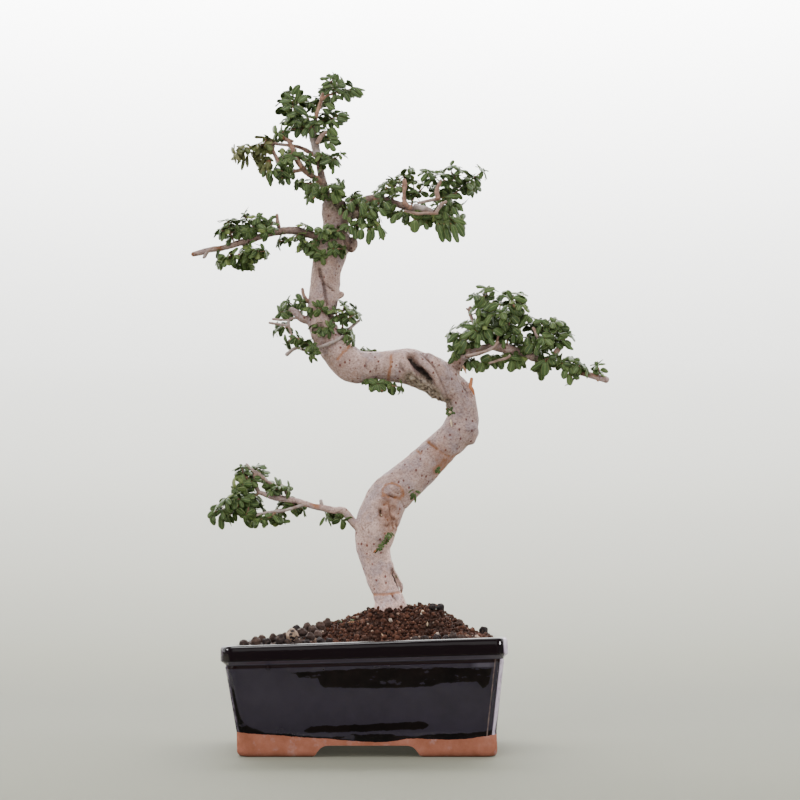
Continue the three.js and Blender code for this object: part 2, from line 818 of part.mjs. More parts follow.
function namedMesh(name, body, material) {
  const mesh = new THREE.Mesh(surface(body), material);
  mesh.name = name;
  return mesh;
}

// Closed geometry from points and triangles.
function indexed(points, triangles) {
  const geometry = new THREE.BufferGeometry().setFromPoints(points);
  geometry.setIndex(triangles.flat());
  return geometry;
}

// One closed skin over a stack of rings, lowest first, each counter-clockwise from above.
function loft(rings, top) {
  const size = rings[0].length;
  const points = rings.flat();
  const triangles = [];
  for (let level = 0; level + 1 < rings.length; level++) {
    for (let k = 0; k < size; k++) {
      const a = level * size + k;
      const b = level * size + ((k + 1) % size);
      triangles.push([a, b, b + size], [a, b + size, a + size]);
    }
  }
  const middle = (ring) =>
    ring.reduce((sum, p) => sum.add(p), new THREE.Vector3()).divideScalar(ring.length);
  const bottomCentre = points.push(middle(rings[0])) - 1;
  const topCentre = points.push(top ?? middle(rings.at(-1))) - 1;
  const last = (rings.length - 1) * size;
  for (let k = 0; k < size; k++) {
    const next = (k + 1) % size;
    triangles.push([bottomCentre, next, k], [topCentre, last + k, last + next]);
  }
  return indexed(points, triangles);
}

// A rectangle with round corners at height z.
function roundedRing(halfX, halfY, radius, z) {
  const cornerSteps = 3;
  const ring = [];
  for (let corner = 0; corner < 4; corner++) {
    const signX = corner === 0 || corner === 3 ? 1 : -1;
    const signY = corner < 2 ? 1 : -1;
    for (let step = 0; step <= cornerSteps; step++) {
      const angle = ((corner + step / cornerSteps) * Math.PI) / 2;
      ring.push(
        new THREE.Vector3(
          signX * (halfX - radius) + radius * Math.cos(angle),
          signY * (halfY - radius) + radius * Math.sin(angle),
          z,
        ),
      );
    }
  }
  return ring;
}

// The pot's lean, from nothing at the table to its full size at the rim.
function leaned(geometry) {
  const position = geometry.attributes.position;
  for (let i = 0; i < position.count; i++) {
    const x = position.getX(i);
    const z = position.getZ(i);
    position.setX(i, x + LEAN * (POT_HEIGHT - z));
    position.setZ(i, z * (1 + (LEAN * x) / POT_HEIGHT));
  }
  return geometry;
}

// A pot section: how far the outside stands in from the rim at height z.
function potRing(inset, z) {
  return roundedRing(POT_LENGTH / 2 - inset, POT_DEPTH / 2 - inset, CORNER_RADIUS - inset / 4, z);
}

function wallInset(z) {
  return WALL_INSET + WALL_SLOPE * (GROOVE_FROM - Math.max(z, SLOPE_FROM));
}

function box(sizeX, sizeY, sizeZ, x, y, z) {
  return new THREE.BoxGeometry(sizeX, sizeY, sizeZ).translate(x, y, z);
}

// The space between two feet, as a bar with sloping sides that runs along Y.
function archBar(arch, length) {
  const shape = new THREE.Shape();
  shape.moveTo(-arch.table / 2 - CUT_MARGIN, -CUT_MARGIN);
  shape.lineTo(arch.table / 2 + CUT_MARGIN, -CUT_MARGIN);
  shape.lineTo(arch.floor / 2, FOOT_HEIGHT);
  shape.lineTo(-arch.floor / 2, FOOT_HEIGHT);
  const bar = new THREE.ExtrudeGeometry(shape, { depth: length, bevelEnabled: false });
  return bar.rotateX(Math.PI / 2).translate(0, length / 2, 0);
}

// The room for soil, from the floor up to the rim.
function cavity() {
  const ring = (z) => potRing(wallInset(z) + WALL, z);
  return loft([ring(FLOOR_TOP), ring(RIM_FROM)]);
}

// The pot: sloping walls, a groove under the rounded rim, four corner feet and two drain holes.
function makePot() {
  const outside = loft([
    potRing(wallInset(0) + FOOT_ROUND, 0),
    potRing(wallInset(0) + FOOT_ROUND / 4, FOOT_ROUND / 3),
    potRing(wallInset(0), FOOT_ROUND),
    potRing(wallInset(SLOPE_FROM), SLOPE_FROM),
    potRing(wallInset(GROOVE_FROM), GROOVE_FROM),
    ...RIM_PROFILE.map(([inset, z]) => potRing(inset, z)),
  ]);
  const mouth = loft([
    potRing(MOUTH.lower, RIM_FROM - CUT_MARGIN / 2),
    potRing(MOUTH.top, POT_HEIGHT + CUT_MARGIN / 2),
  ]);
  let pot = solid(leaned(outside))
    .subtract(solid(leaned(cavity())))
    .subtract(solid(leaned(mouth)));
  pot = pot.subtract(solid(archBar(LONG_ARCH, POT_DEPTH + CUT_MARGIN)));
  pot = pot.subtract(solid(archBar(SHORT_ARCH, POT_LENGTH + CUT_MARGIN).rotateZ(Math.PI / 2)));
  for (const x of [-DRAIN_OFFSET, DRAIN_OFFSET]) {
    const hole = new THREE.CylinderGeometry(DRAIN_RADIUS, DRAIN_RADIUS, 2 * FLOOR_TOP, DRAIN_SIDES);
    pot = pot.subtract(solid(hole.rotateX(Math.PI / 2).translate(x, 0, FLOOR_TOP / 2)));
  }
  return pot;
}

// Height of the floor inside the leaning pot at x.
function floorAt(x) {
  return FLOOR_TOP * (1 + (LEAN * x) / POT_HEIGHT);
}

// Plastic net: crossing bars joined into one square.
function makeDrainNet(x) {
  const seat = floorAt(x + MESH_SIDE / 2) + GAP + MESH_THICKNESS / 2;
  const last = Math.floor(MESH_BARS / 2);
  const pitch = (MESH_SIDE - MESH_BAR) / (MESH_BARS - 1);
  let net = null;
  for (let k = -last; k <= last; k++) {
    const lengthwise = solid(box(MESH_SIDE, MESH_BAR, MESH_THICKNESS, x, k * pitch, seat));
    const crosswise = solid(box(MESH_BAR, MESH_SIDE, MESH_THICKNESS, x + k * pitch, 0, seat));
    net = net ? net.add(lengthwise).add(crosswise) : lengthwise.add(crosswise);
  }
  return net;
}

function smoothStep(t) {
  const s = Math.min(Math.max(t, 0), 1);
  return s * s * (3 - 2 * s);
}

function soilHeight(x, y) {
  const reach = x < MOUND.x ? MOUND.left : MOUND.right;
  const across = Math.max(0, Math.abs(x - MOUND.x) - MOUND.flat) / reach;
  const deep = (y - MOUND.y) / MOUND.depth;
  return SOIL_EDGE + MOUND_RISE * (1 - smoothStep(Math.hypot(across, deep)));
}

// A ring with its long straight runs split, so that no step along it is over the given length.
function splitRing(ring, most) {
  return ring.flatMap((point, k) => {
    const next = ring[(k + 1) % ring.length];
    const parts = Math.ceil(point.distanceTo(next) / most);
    return Array.from({ length: parts }, (unused, part) => point.clone().lerp(next, part / parts));
  });
}

// Soil: a block that fills the pot, with grainy relief on its mound.
function makeSoil(trunkRoom) {
  const random = seededRandom(11);
  const bottom = FLOOR_TOP + MESH_THICKNESS + 3 * GAP + 1;
  const ring = (z) => splitRing(potRing(wallInset(z) + WALL + GAP, z), SOIL_STEP);
  const edge = ring(SOIL_RINGS_FROM);
  const rings = [ring(bottom), edge];
  const centre = new THREE.Vector2(MOUND.x, MOUND.y);
  for (let step = 0; step < SOIL_RINGS; step++) {
    rings.push(
      edge.map((p) => {
        const share = step === 0 ? SOIL_RIM_SHARE : step / SOIL_RINGS;
        const flat = new THREE.Vector2(p.x, p.y).lerp(centre, share);
        const relief = step === 0 ? 0 : GRAIN_RELIEF * (random() - 0.5);
        return new THREE.Vector3(flat.x, flat.y, soilHeight(flat.x, flat.y) + relief);
      }),
    );
  }
  const top = new THREE.Vector3(MOUND.x, MOUND.y, soilHeight(MOUND.x, MOUND.y));
  return solid(leaned(loft(rings, top))).subtract(trunkRoom);
}

// Pellets packed in staggered rows: a bed whose top rises over each pellet and dips between them.
function makePellets(soil) {
  const { x, y, z, columns, rows } = PELLET_BED;
  const half = PELLET_SIZE / 2;
  const [width, length] = [columns * PELLET_SIZE, rows * PELLET_SIZE];
  const slab = new THREE.BoxGeometry(width, length, 2 * PELLET_SIZE, 2 * columns, 2 * rows, 1);
  const position = slab.attributes.position;
  for (let i = 0; i < position.count; i++) {
    if (position.getZ(i) < 0) continue;
    const column = Math.round(position.getX(i) / half + columns);
    const row = Math.round(position.getY(i) / half + rows);
    const crowns = (column % 2) + (row % 2);
    const lift = PELLET_SIZE * PELLET_LIFT[crowns];
    const stagger = row % 4 < 2 ? half / 2 : -half / 2;
    const sideways = PELLET_JITTER.side * Math.sin(5 * column + 3 * row);
    const deeper = PELLET_JITTER.side * Math.sin(2 * column + 7 * row);
    const higher = PELLET_JITTER.height * Math.sin(column + 4 * row);
    position.setX(i, position.getX(i) + stagger + sideways);
    position.setY(i, position.getY(i) + deeper);
    position.setZ(i, lift + LEAN * (x + position.getX(i)) + higher);
  }
  const bed = solid(slab.translate(x, y, z));
  const raised = solid(surface(soil).translate(0, 0, GAP + 0.2));
  return largest(bed.subtract(raised).subtract(soil));
}

// The biggest of the bodies that a cut leaves.
function largest(body) {
  const pieces = body.decompose();
  return pieces.reduce((best, piece) => (piece.volume() > best.volume() ? piece : best));
}

function curveThrough(points) {
  const places = points.map(([x, y, z]) => new THREE.Vector3(x, y, z));
  return new THREE.CatmullRomCurve3(places, false, "catmullrom", 0.5);
}

// A closed round limb along a curve. Radii are given per point of the curve.
function limb(points, radii, sides, steps, swell = 0) {
  const curve = curveThrough(points);
  const tube = new THREE.CylinderGeometry(1, 1, 1, sides, steps);
  const spans = points.length - 1;
  const frames = [];
  const normal = new THREE.Vector3(0, 1, 0);
  for (let step = 0; step <= steps; step++) {
    const t = step / steps;
    const tangent = curve.getTangent(t);
    normal.addScaledVector(tangent, -normal.dot(tangent)).normalize();
    const across = new THREE.Vector3().crossVectors(tangent, normal);
    const span = Math.min(Math.floor(t * spans), spans - 1);
    const part = t * spans - span;
    const radius = radii[span] * (1 - part) + radii[span + 1] * part + swell;
    frames.push({ centre: curve.getPoint(t), normal: normal.clone(), across, radius });
  }
  if (swell > 0) {
    frames[0].centre.addScaledVector(curve.getTangent(0), -swell);
    frames[steps].centre.addScaledVector(curve.getTangent(1), swell);
  }
  const position = tube.attributes.position;
  for (let i = 0; i < position.count; i++) {
    const frame = frames[Math.round((position.getY(i) + 0.5) * steps)];
    const place = frame.centre
      .clone()
      .addScaledVector(frame.across, position.getX(i) * frame.radius)
      .addScaledVector(frame.normal, position.getZ(i) * frame.radius);
    position.setXYZ(i, place.x, place.y, place.z);
  }
  return solid(tube);
}

function lump({ at, axes, along }, swell = 0) {
  const ball = new THREE.SphereGeometry(1, 6, 4);
  ball.scale(axes[0] + swell, axes[1] + swell, axes[2] + swell);
  const turn = new THREE.Quaternion().setFromUnitVectors(
    new THREE.Vector3(1, 0, 0),
    new THREE.Vector3(...along).normalize(),
  );
  return solid(ball.applyQuaternion(turn).translate(...at));
}

// The trunk with all its bare limbs as one piece of wood, or the room it needs if swollen.
function makeWood(swell = 0) {
  const trunkRadii = TRUNK.map((point) => point[3]);
  let wood = limb(TRUNK, trunkRadii, 12, TRUNK.length - 1, swell);
  for (const form of LUMPS) wood = wood.add(lump(form, swell));
  for (const points of LIMBS) {
    const radii = points.map((point) => point[3]);
    const sides = radii[0] > 4 ? 6 : 4;
    wood = wood.add(limb(points, radii, sides, points.length - 1, swell));
  }
  if (swell === 0) {
    for (const form of HOLLOWS) wood = wood.subtract(lump(form));
  }
  return wood;
}

// A place on a leaf: t along it, w across it, in half widths, and a lift off its face.
function onLeaf(leaf, t, w, lift, spare = 0) {
  const half = leaf.length * LEAF_WIDTH + spare;
  const rise = lift + LEAF_FOLD * half * Math.abs(w) - LEAF_ARCH * leaf.length * t * t;
  return leaf.base
    .clone()
    .addScaledVector(leaf.along, t * (leaf.length + spare))
    .addScaledVector(leaf.side, w * half)
    .addScaledVector(leaf.up, rise);
}

// The rim of a leaf from one side of its base round its tip to the other.
function leafRim(leaf, spare = 0) {
  const rim = LEAF_EDGE.map(([t, w]) => onLeaf(leaf, t, -w, 0, spare));
  rim.push(onLeaf(leaf, 1, 0, 0, spare));
  for (const [t, w] of LEAF_EDGE.toReversed()) rim.push(onLeaf(leaf, t, w, 0, spare));
  return rim;
}

// A leaf by itself, thickened all round by what it has to keep clear of its neighbours.
function looseLeaf(leaf, spare) {
  const points = [onLeaf(leaf, 0.08, 0, 0), ...leafRim(leaf, spare)];
  const size = points.length;
  points.push(onLeaf(leaf, LEAF_RIB, 0, LEAF_THICKNESS / 2 + spare));
  points.push(onLeaf(leaf, LEAF_RIB, 0, -LEAF_THICKNESS / 2 - spare));
  const triangles = [];
  for (let k = 0; k < size; k++) {
    const next = (k + 1) % size;
    triangles.push([size, k, next], [size + 1, next, k]);
  }
  return solid(indexed(points, triangles));
}

// The direction square to a twig in which its leaves spread. They face the light that reaches
// them, which comes from above and from the outside of the crown.
function spreadOf(tangent, light) {
  const across = new THREE.Vector3().crossVectors(tangent, light);
  if (across.length() < TOWARDS_LIGHT) across.set(1, 0, 0).addScaledVector(tangent, -tangent.x);
  return across.normalize();
}

// The light that a spray gets: from the front for one in front of the trunk, or from behind.
function lightOn(spray) {
  const depth = spray.twigs[0].at(-1)[1];
  return new THREE.Vector3(0, depth < 0 ? -LIGHT_SIDE : LIGHT_SIDE, LIGHT_UP);
}

// A leaf on one side of a twig, or at its end when side is 0.
function leafFrom(curve, share, side, spray, random) {
  const light = lightOn(spray);
  const tangent = curve.getTangentAt(share);
  const spread = spreadOf(tangent, light);
  const open = side === 0 ? 0 : LEAF_ANGLE + LEAF_ANGLE_RANGE * (random() - 0.5);
  const along = tangent.clone().multiplyScalar(Math.cos(open));
  along.addScaledVector(spread, side * Math.sin(open));
  along.z -= spray.droop * (LEAF_DROOP.least + LEAF_DROOP.range * random());
  along.normalize();
  const up = new THREE.Vector3().crossVectors(spread, tangent);
  up.addScaledVector(light, LEAF_FACING);
  up.addScaledVector(along, -along.dot(up)).normalize();
  up.applyAxisAngle(along, LEAF_ROLL * (random() - 0.5));
  const across = new THREE.Vector3().crossVectors(up, along);
  if (side < 0) across.negate();
  const length = spray.leaf * (LEAF_LENGTH.least + LEAF_LENGTH.range * random());
  return { base: curve.getPointAt(share), along, up, side: across, length };
}

// Everything already placed, so that new leaves and shoots can be tested against it.
const placed = [];

function place(owner, body) {
  placed.push({ owner, body, box: body.boundingBox() });
}

function apart(a, b) {
  return [0, 1, 2].some((k) => a.max[k] < b.min[k] || b.max[k] < a.min[k]);
}

// Whether a body crosses anything placed under another name.
function crossesOthers(owner, body) {
  const box = body.boundingBox();
  return placed.some(
    (other) =>
      other.owner !== owner && !apart(box, other.box) && !other.body.intersect(body).isEmpty(),
  );
}

// The leaf turned until it clears its neighbours, or nothing if it can't.
function clearLeaf(owner, leaf) {
  for (const turn of LEAF_TURNS) {
    const turned = { ...leaf };
    for (const key of ["along", "side", "up"]) {
      turned[key] = leaf[key].clone().applyAxisAngle(new THREE.Vector3(0, 0, 1), turn);
    }
    const body = looseLeaf(turned, LEAF_ROOM);
    if (!crossesOthers(owner, body)) {
      place("leaf", body);
      return turned;
    }
  }
  return null;
}

// The corners of a twig's section: its top, its right and its left, seen along it.
function sectionAt(curve, share, radius, light) {
  const tangent = curve.getTangentAt(share);
  const right = spreadOf(tangent, light);
  const up = new THREE.Vector3().crossVectors(right, tangent);
  const centre = curve.getPointAt(share);
  const corner = (a, b) =>
    centre.clone().addScaledVector(right, a * radius).addScaledVector(up, b * radius);
  return [corner(0, 1), corner(0.9, -0.4), corner(-0.9, -0.4)];
}

// One closed skin over a twig and its leaves, from a point inside what it grows from.
// It has a ring at each mark. A mark with a leaf to its right or left grows it out of the span
// up to the next mark, and last is the leaf at the end, if there is one.
function twigSkin(curve, marks, last, light) {
  const { base, tip } = TWIG_RADIUS;
  const points = marks.flatMap(({ at }) => sectionAt(curve, at, base + (tip - base) * at, light));
  const triangles = [];
  const fan = (rim, centre) => {
    const middle = points.push(centre) - 1;
    rim.forEach((corner, k) => triangles.push([middle, corner, rim[(k + 1) % rim.length]]));
  };
  const strip = (a, b) => triangles.push([a, b, b + 3], [a, b + 3, a + 3]);
  const addRim = (leaf) => leafRim(leaf).map((point) => points.push(point) - 1);
  const face = (leaf, sign) => onLeaf(leaf, LEAF_RIB, 0, (sign * LEAF_THICKNESS) / 2);
  fan([0, 2, 1], curve.getPointAt(0).addScaledVector(curve.getTangentAt(0), -TWIG_SUNK));
  marks.slice(0, -1).forEach((mark, k) => {
    const [top, right, left] = [3 * k, 3 * k + 1, 3 * k + 2];
    strip(right, left);
    if (mark.right) {
      const rim = addRim(mark.right);
      fan([top, right, ...rim, right + 3, top + 3], face(mark.right, 1));
      fan([right, right + 3, ...rim.toReversed()], face(mark.right, -1));
    } else {
      strip(top, right);
    }
    if (mark.left) {
      const rim = addRim(mark.left);
      fan([left, top, top + 3, left + 3, ...rim.toReversed()], face(mark.left, 1));
      fan([left, ...rim, left + 3], face(mark.left, -1));
    } else {
      strip(left, top);
    }
  });
  const [top, right, left] = [3, 2, 1].map((k) => 3 * marks.length - k);
  if (last) {
    const rim = addRim(last);
    fan([top, right, ...rim, left], face(last, 1));
    fan([left, ...rim.toReversed(), right], face(last, -1));
  } else {
    triangles.push([top, right, left]);
  }
  return solid(indexed(points, triangles));
}

// Where a twig has its rings. A leafy one has a short span for each pair of leaves.
function marksAlong(curve, points, leafy) {
  const length = curve.getLength();
  const marks = [{ at: TWIG_NECK / length }];
  if (leafy) {
    const pairs = Math.max(1, Math.round((length * (1 - LEAFLESS)) / PAIR_SPACING));
    for (let k = 0; k < pairs; k++) {
      const at = LEAFLESS + ((1 - LEAFLESS) * (k + PAIR_SHIFT)) / pairs;
      marks.push({ at, leafy }, { at: at + LEAF_SPAN / length });
    }
  } else {
    for (let k = 1; k < points.length - 1; k++) marks.push({ at: k / (points.length - 1) });
  }
  marks.push({ at: 1 });
  return marks;
}

// The place on the twigs before it that a twig starts from: the nearest one to its first point.
function forkNear(first, earlier) {
  if (earlier.length === 0) return first;
  const start = new THREE.Vector3(...first);
  const near = new THREE.Line3();
  let best = null;
  for (const { curve, marks } of earlier) {
    for (let k = 0; k + 1 < marks.length; k++) {
      near.set(curve.getPointAt(marks[k].at), curve.getPointAt(marks[k + 1].at));
      const place = near.closestPointToPoint(start, true, new THREE.Vector3());
      if (!best || place.distanceTo(start) < best.distanceTo(start)) best = place;
    }
  }
  return best.toArray();
}

// The bare and leafy twigs of a spray, each with the name it is placed under.
function stemsOf(spray) {
  const stems = [];
  const addStem = (points, leafy) => {
    const curve = curveThrough([forkNear(points[0], stems), ...points.slice(1)]);
    const owner = `${spray.name} ${stems.length}`;
    stems.push({ owner, curve, marks: marksAlong(curve, points, leafy), leafy });
  };
  for (const points of spray.bare ?? []) addStem(points, false);
  for (const points of spray.twigs) addStem(points, true);
  return stems;
}

// A twig with its pairs of leaves and the leaf at its end.
function growTwig(spray, { owner, curve, marks, leafy }, random) {
  const leaf = (at, side) => clearLeaf(owner, leafFrom(curve, at, side, spray, random));
  const half = LEAF_SPAN / 2 / curve.getLength();
  const grown = marks.map((mark) =>
    mark.leafy ? { ...mark, right: leaf(mark.at + half, 1), left: leaf(mark.at + half, -1) } : mark,
  );
  return twigSkin(curve, grown, leafy ? leaf(1, 0) : null, lightOn(spray));
}

function growSpray(spray, index, woodRoom) {
  const random = seededRandom(1000 + 37 * index);
  const twigs = stemsOf(spray).map((stem) => growTwig(spray, stem, random));
  return largest(twigs.reduce((whole, twig) => whole.add(twig)).subtract(woodRoom));
}

const bark = new THREE.MeshStandardMaterial({ color: 0xa8998f, roughness: 0.85 });
const foliage = new THREE.MeshStandardMaterial({ color: 0x3f6b36, roughness: 0.45 });
const glaze = new THREE.MeshStandardMaterial({ color: 0x1b1416, roughness: 0.18 });
const akadama = new THREE.MeshStandardMaterial({ color: 0x7d5340, roughness: 0.95 });
const clay = new THREE.MeshStandardMaterial({ color: 0x8a5f47, roughness: 0.9 });
const plastic = new THREE.MeshStandardMaterial({ color: 0x1d1f1e, roughness: 0.6 });
for (const material of [bark, foliage, glaze, akadama, clay, plastic]) material.metalness = 0;

const wood = makeWood();
const woodRoom = makeWood(GAP);
const pot = makePot();
const soil = makeSoil(woodRoom);
const pellets = makePellets(soil);

const bonsai = new THREE.Group();
bonsai.add(
  namedMesh("pot", pot, glaze),
  namedMesh("drain_mesh_left", makeDrainNet(-DRAIN_OFFSET), plastic),
  namedMesh("drain_mesh_right", makeDrainNet(DRAIN_OFFSET), plastic),
  namedMesh("soil", soil, akadama),
  namedMesh("clay_pellets", pellets, clay),
  namedMesh("trunk", wood, bark),
);

place("soil", soil);
place("trunk", wood);
for (const spray of SPRAYS) {
  for (const { owner, curve, marks } of stemsOf(spray)) {
    place(owner, twigSkin(curve, marks, null, lightOn(spray)));
  }
}
SPRAYS.forEach((spray, index) => {
  bonsai.add(namedMesh(spray.name, growSpray(spray, index, woodRoom), foliage));
});

const extent = new THREE.Box3().setFromObject(bonsai);
const middle = extent.getCenter(new THREE.Vector3());
bonsai.position.set(-middle.x, -middle.y, -extent.min.z);

export default bonsai;
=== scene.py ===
"""Looks of the chinese elm bonsai in its glazed pot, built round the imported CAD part."""

import math

import bmesh
import bpy
import numpy as np
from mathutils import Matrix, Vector


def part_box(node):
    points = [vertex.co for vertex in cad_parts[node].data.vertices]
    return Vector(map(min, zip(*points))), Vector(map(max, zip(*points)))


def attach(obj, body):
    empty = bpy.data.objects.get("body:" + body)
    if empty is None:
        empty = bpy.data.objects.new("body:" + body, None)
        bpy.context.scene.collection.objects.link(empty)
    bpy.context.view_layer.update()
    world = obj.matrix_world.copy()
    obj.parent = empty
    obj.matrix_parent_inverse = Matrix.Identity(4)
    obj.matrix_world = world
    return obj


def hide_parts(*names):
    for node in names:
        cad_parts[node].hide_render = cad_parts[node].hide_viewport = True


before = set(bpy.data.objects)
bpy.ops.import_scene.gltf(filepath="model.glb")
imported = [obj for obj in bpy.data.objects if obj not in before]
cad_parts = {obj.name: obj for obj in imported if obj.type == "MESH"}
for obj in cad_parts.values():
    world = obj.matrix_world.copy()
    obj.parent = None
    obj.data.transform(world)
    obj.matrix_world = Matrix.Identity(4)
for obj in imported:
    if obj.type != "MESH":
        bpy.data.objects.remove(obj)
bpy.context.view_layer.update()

# Millimetres from the middle of the pot's underside, as in the CAD source, if not said otherwise.
POT_MIDDLE = (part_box("pot")[0].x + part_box("pot")[1].x) * 500 - 0.17
POT_LENGTH, POT_DEPTH, POT_HEIGHT = 202.7, 150, 80
POT_SHIFT = -0.4
CORNER_RADIUS = 10
WALL, WALL_SLOPE, WALL_INSET = 7, 0.146, 2.9
GROOVE_FROM, SLOPE_FROM = 64, 17
FOOT_HEIGHT, FOOT_ROUND, FLOOR_TOP = 8, 4, 16
LEAN = 0.031
SOIL_EDGE, MOUND_RISE, SHOULDER = 77, 25.5, 9.5
MOUND = dict(x=29, y=3, flat=16, left=66, right=44, depth=56)
EYE = np.array((25, -1122, 116.2))

# Trunk axis from the root end up to the chopped top, as x, y, z, radius.
TRUNK = [
    (20, 5, 66, 6), (20, 5, 80, 10), (19, 5, 92, 13), (18, 5, 101, 13), (17, 5, 108, 11.2),
    (14, 4, 116, 10.6), (10, 3, 127, 11.1), (7, 1, 138, 11.7), (5, -1, 147, 12.8), (6, -2, 157, 15.1),
    (8, -3, 167, 16.2), (12, -3, 177, 15.9), (17, -2, 186, 15.9), (30, 1, 198, 14.4), (44, 4, 211, 13.6),
    (58, 7, 225, 12.6), (68, 9, 234, 13.1), (73, 10, 245, 12.7), (73, 9, 256, 11.2), (70, 8, 267, 11.6),
    (61, 6, 273, 13.5), (53, 4, 278, 14.6), (41, 2, 283, 14.2), (30, 0, 286, 13.8), (17, -2, 286, 12),
    (5, -4, 286, 10.7), (-9, -5, 285, 13), (-18, -6, 291, 12.8), (-26, -6, 300, 11.5), (-32, -5, 310, 11.1),
    (-36, -4, 324, 10.4), (-34, -2, 337, 11.5), (-33, 0, 349, 11.6), (-32, 2, 362, 11.6), (-29, 3, 374, 12.4),
    (-26, 4, 386, 12.1), (-25, 4, 398, 10.1), (-26, 4, 408, 10.1), (-27, 4, 416, 9.4),
]
# Bare limbs, as x, y, z, radius.
LIMBS = {
    "leader": [(-30, 4, 411, 3.9), (-33, 4, 424, 3.5), (-36, 3, 434, 3.1), (-37, 2, 441, 2.8),
     (-39, 1, 451, 2.6), (-40, 0, 458, 2.4), (-41, 0, 466, 2.2), (-42, 1, 475, 1.8), (-41, 1, 485, 1.6),
     (-39, 0, 492, 1.3)],
    "apex_low": [(-36, 3, 432, 2.7), (-44, -1, 436, 2.3), (-50, -4, 440, 2.2), (-54, -6, 447, 1.7),
     (-57, -8, 454, 1.6), (-60, -10, 459, 1.5), (-63, -11, 462, 1.2), (-67, -12, 464, 1)],
    "apex_left": [(-50, -4, 440, 1.7), (-58, -7, 438, 1.5), (-65, -9, 441, 1.3), (-70, -10, 447, 1.2),
     (-74, -10, 456, 1.2), (-75, -10, 461, 1)],
    "apex_back": [(-39, 1, 451, 1.9), (-47, 4, 457, 1.7), (-54, 6, 461, 1.5), (-62, 8, 463, 1.3),
     (-69, 9, 464, 1.1)],
    "right_top": [(-22, 4, 400, 4.7), (-14, 5, 407, 4.5), (-7, 6, 414, 3.9), (-2, 7, 418, 3.5),
     (5, 8, 420, 3), (12, 8, 419, 2.5), (21, 7, 416, 2.3), (29, 6, 413, 2.5), (37, 5, 410, 2.8),
     (45, 4, 409, 2.4), (54, 3, 407, 1.8)],
    "right_top_stub": [(32, 5, 412, 1.7), (29, 2, 416, 1.6), (28, 0, 422, 1.4), (28, -1, 428, 1.4),
     (28, -1, 432, 1.2)],
    "left_top": [(-25, 3, 382, 3.9), (-32, 2, 384, 3.4), (-40, -1, 387, 3), (-46, -3, 389, 2.9),
     (-52, -4, 391, 2.8), (-60, -6, 391, 2.8), (-67, -8, 390, 2.9), (-75, -9, 388, 2.6), (-83, -10, 385, 2.5),
     (-90, -11, 382, 2.5), (-98, -11, 380, 2.5), (-105, -11, 378, 2.3), (-113, -10, 376, 2.1),
     (-121, -9, 375, 2), (-129, -8, 373, 2), (-134, -7, 372, 2.1)],
    "left_top_stub": [(-67, -8, 390, 1.7), (-69, -8, 396, 1.5), (-70, -7, 403, 1.2)],
    "left_top_nub": [(-123, -9, 374, 1.5), (-125, -9, 370, 1.4), (-126, -9, 369, 1.1)],
    "tangle": [(-33, -4, 320, 3.8), (-43, -6, 321, 3.2), (-49, -9, 321, 2.9), (-54, -11, 325, 2.6),
     (-58, -12, 328, 1.8)],
    "loop": [(-61, -13, 293, 1.5), (-56, -13, 297, 1.3), (-52, -14, 298, 1.2), (-47, -16, 296, 1.1),
     (-39, -18, 297, 1.1), (-32, -19, 299, 1.2), (-25, -18, 302, 1.3), (-18, -12, 307, 1.4)],
    "tangle_stub_d": [(-39, -4, 333, 1.8), (-46, -6, 336, 1.5), (-49, -7, 341, 1.2), (-50, -7, 345, 1.1)],
    "tangle_low": [(-33, -5, 302, 2.7), (-39, -7, 307, 2.3), (-41, -9, 313, 2.1), (-44, -8, 319, 2.1)],
    "right_small": [(-25, -6, 300, 1.8), (-19, -8, 307, 1.5), (-15, -9, 312, 1.3), (-11, -9, 316, 1.1),
     (-6, -9, 320, 1)],
    "right_low": [(64, 7, 279, 5.4), (69, 6, 289, 4.6), (74, 5, 295, 3.9), (78, 4, 298, 3.1),
     (84, 3, 300, 2.5), (90, 3, 301, 2.5), (96, 3, 302, 2.8), (102, 3, 301, 3.5), (108, 3, 300, 3.8),
     (114, 3, 298, 3.5), (121, 3, 296, 3.2), (128, 3, 293, 2.9), (134, 3, 291, 2.5), (142, 2, 288, 2.2),
     (149, 1, 286, 2.1), (158, 0, 283, 1.9), (167, -1, 280, 2), (176, -2, 277, 2.1), (183, -3, 275, 2.2)],
    "right_low_stub": [(86, 4, 301, 1.5), (85, 9, 313, 1.3), (82, 11, 322, 1.2), (79, 11, 330, 1.2),
     (79, 11, 334, 0.9)],
    "right_low_twig": [(76, 3, 294, 1.4), (85, -2, 295, 1.1), (93, -4, 298, 1.1), (98, -5, 302, 1.1),
     (100, -5, 308, 0.9)],
    "right_low_end": [(142, 2, 288, 1.7), (145, 0, 296, 1.8), (149, -1, 302, 1.5)],
    "low_left": [(2, -4, 158, 3.5), (-8, -8, 164, 3.2), (-14, -11, 171, 2.9), (-18, -13, 175, 2.6),
     (-24, -14, 175, 2.5), (-29, -15, 176, 2.5), (-34, -16, 177, 2.6), (-40, -16, 178, 2.2),
     (-46, -16, 180, 2.1), (-52, -15, 182, 2), (-58, -15, 183, 2.1), (-64, -14, 184, 2.1),
     (-70, -13, 185, 1.9), (-76, -12, 187, 1.7), (-82, -12, 189, 1.5)],
    "low_left_nub": [(-33, -16, 177, 1.8), (-34, -16, 182, 1.2)],
    "low_left_cut": [(-47, -16, 179, 1.3), (-56, -18, 176, 1.1), (-64, -19, 174, 1.1), (-73, -20, 173, 1.1),
     (-81, -20, 171, 1.1)],
    "low_left_small": [(-58, -15, 183, 1.4), (-60, -14, 189, 1.2), (-63, -14, 193, 1)],
    "knob": [(-18, 3, 403, 3.9), (-10, -1, 405, 3.4), (-8, -2, 403, 2.3)],
}
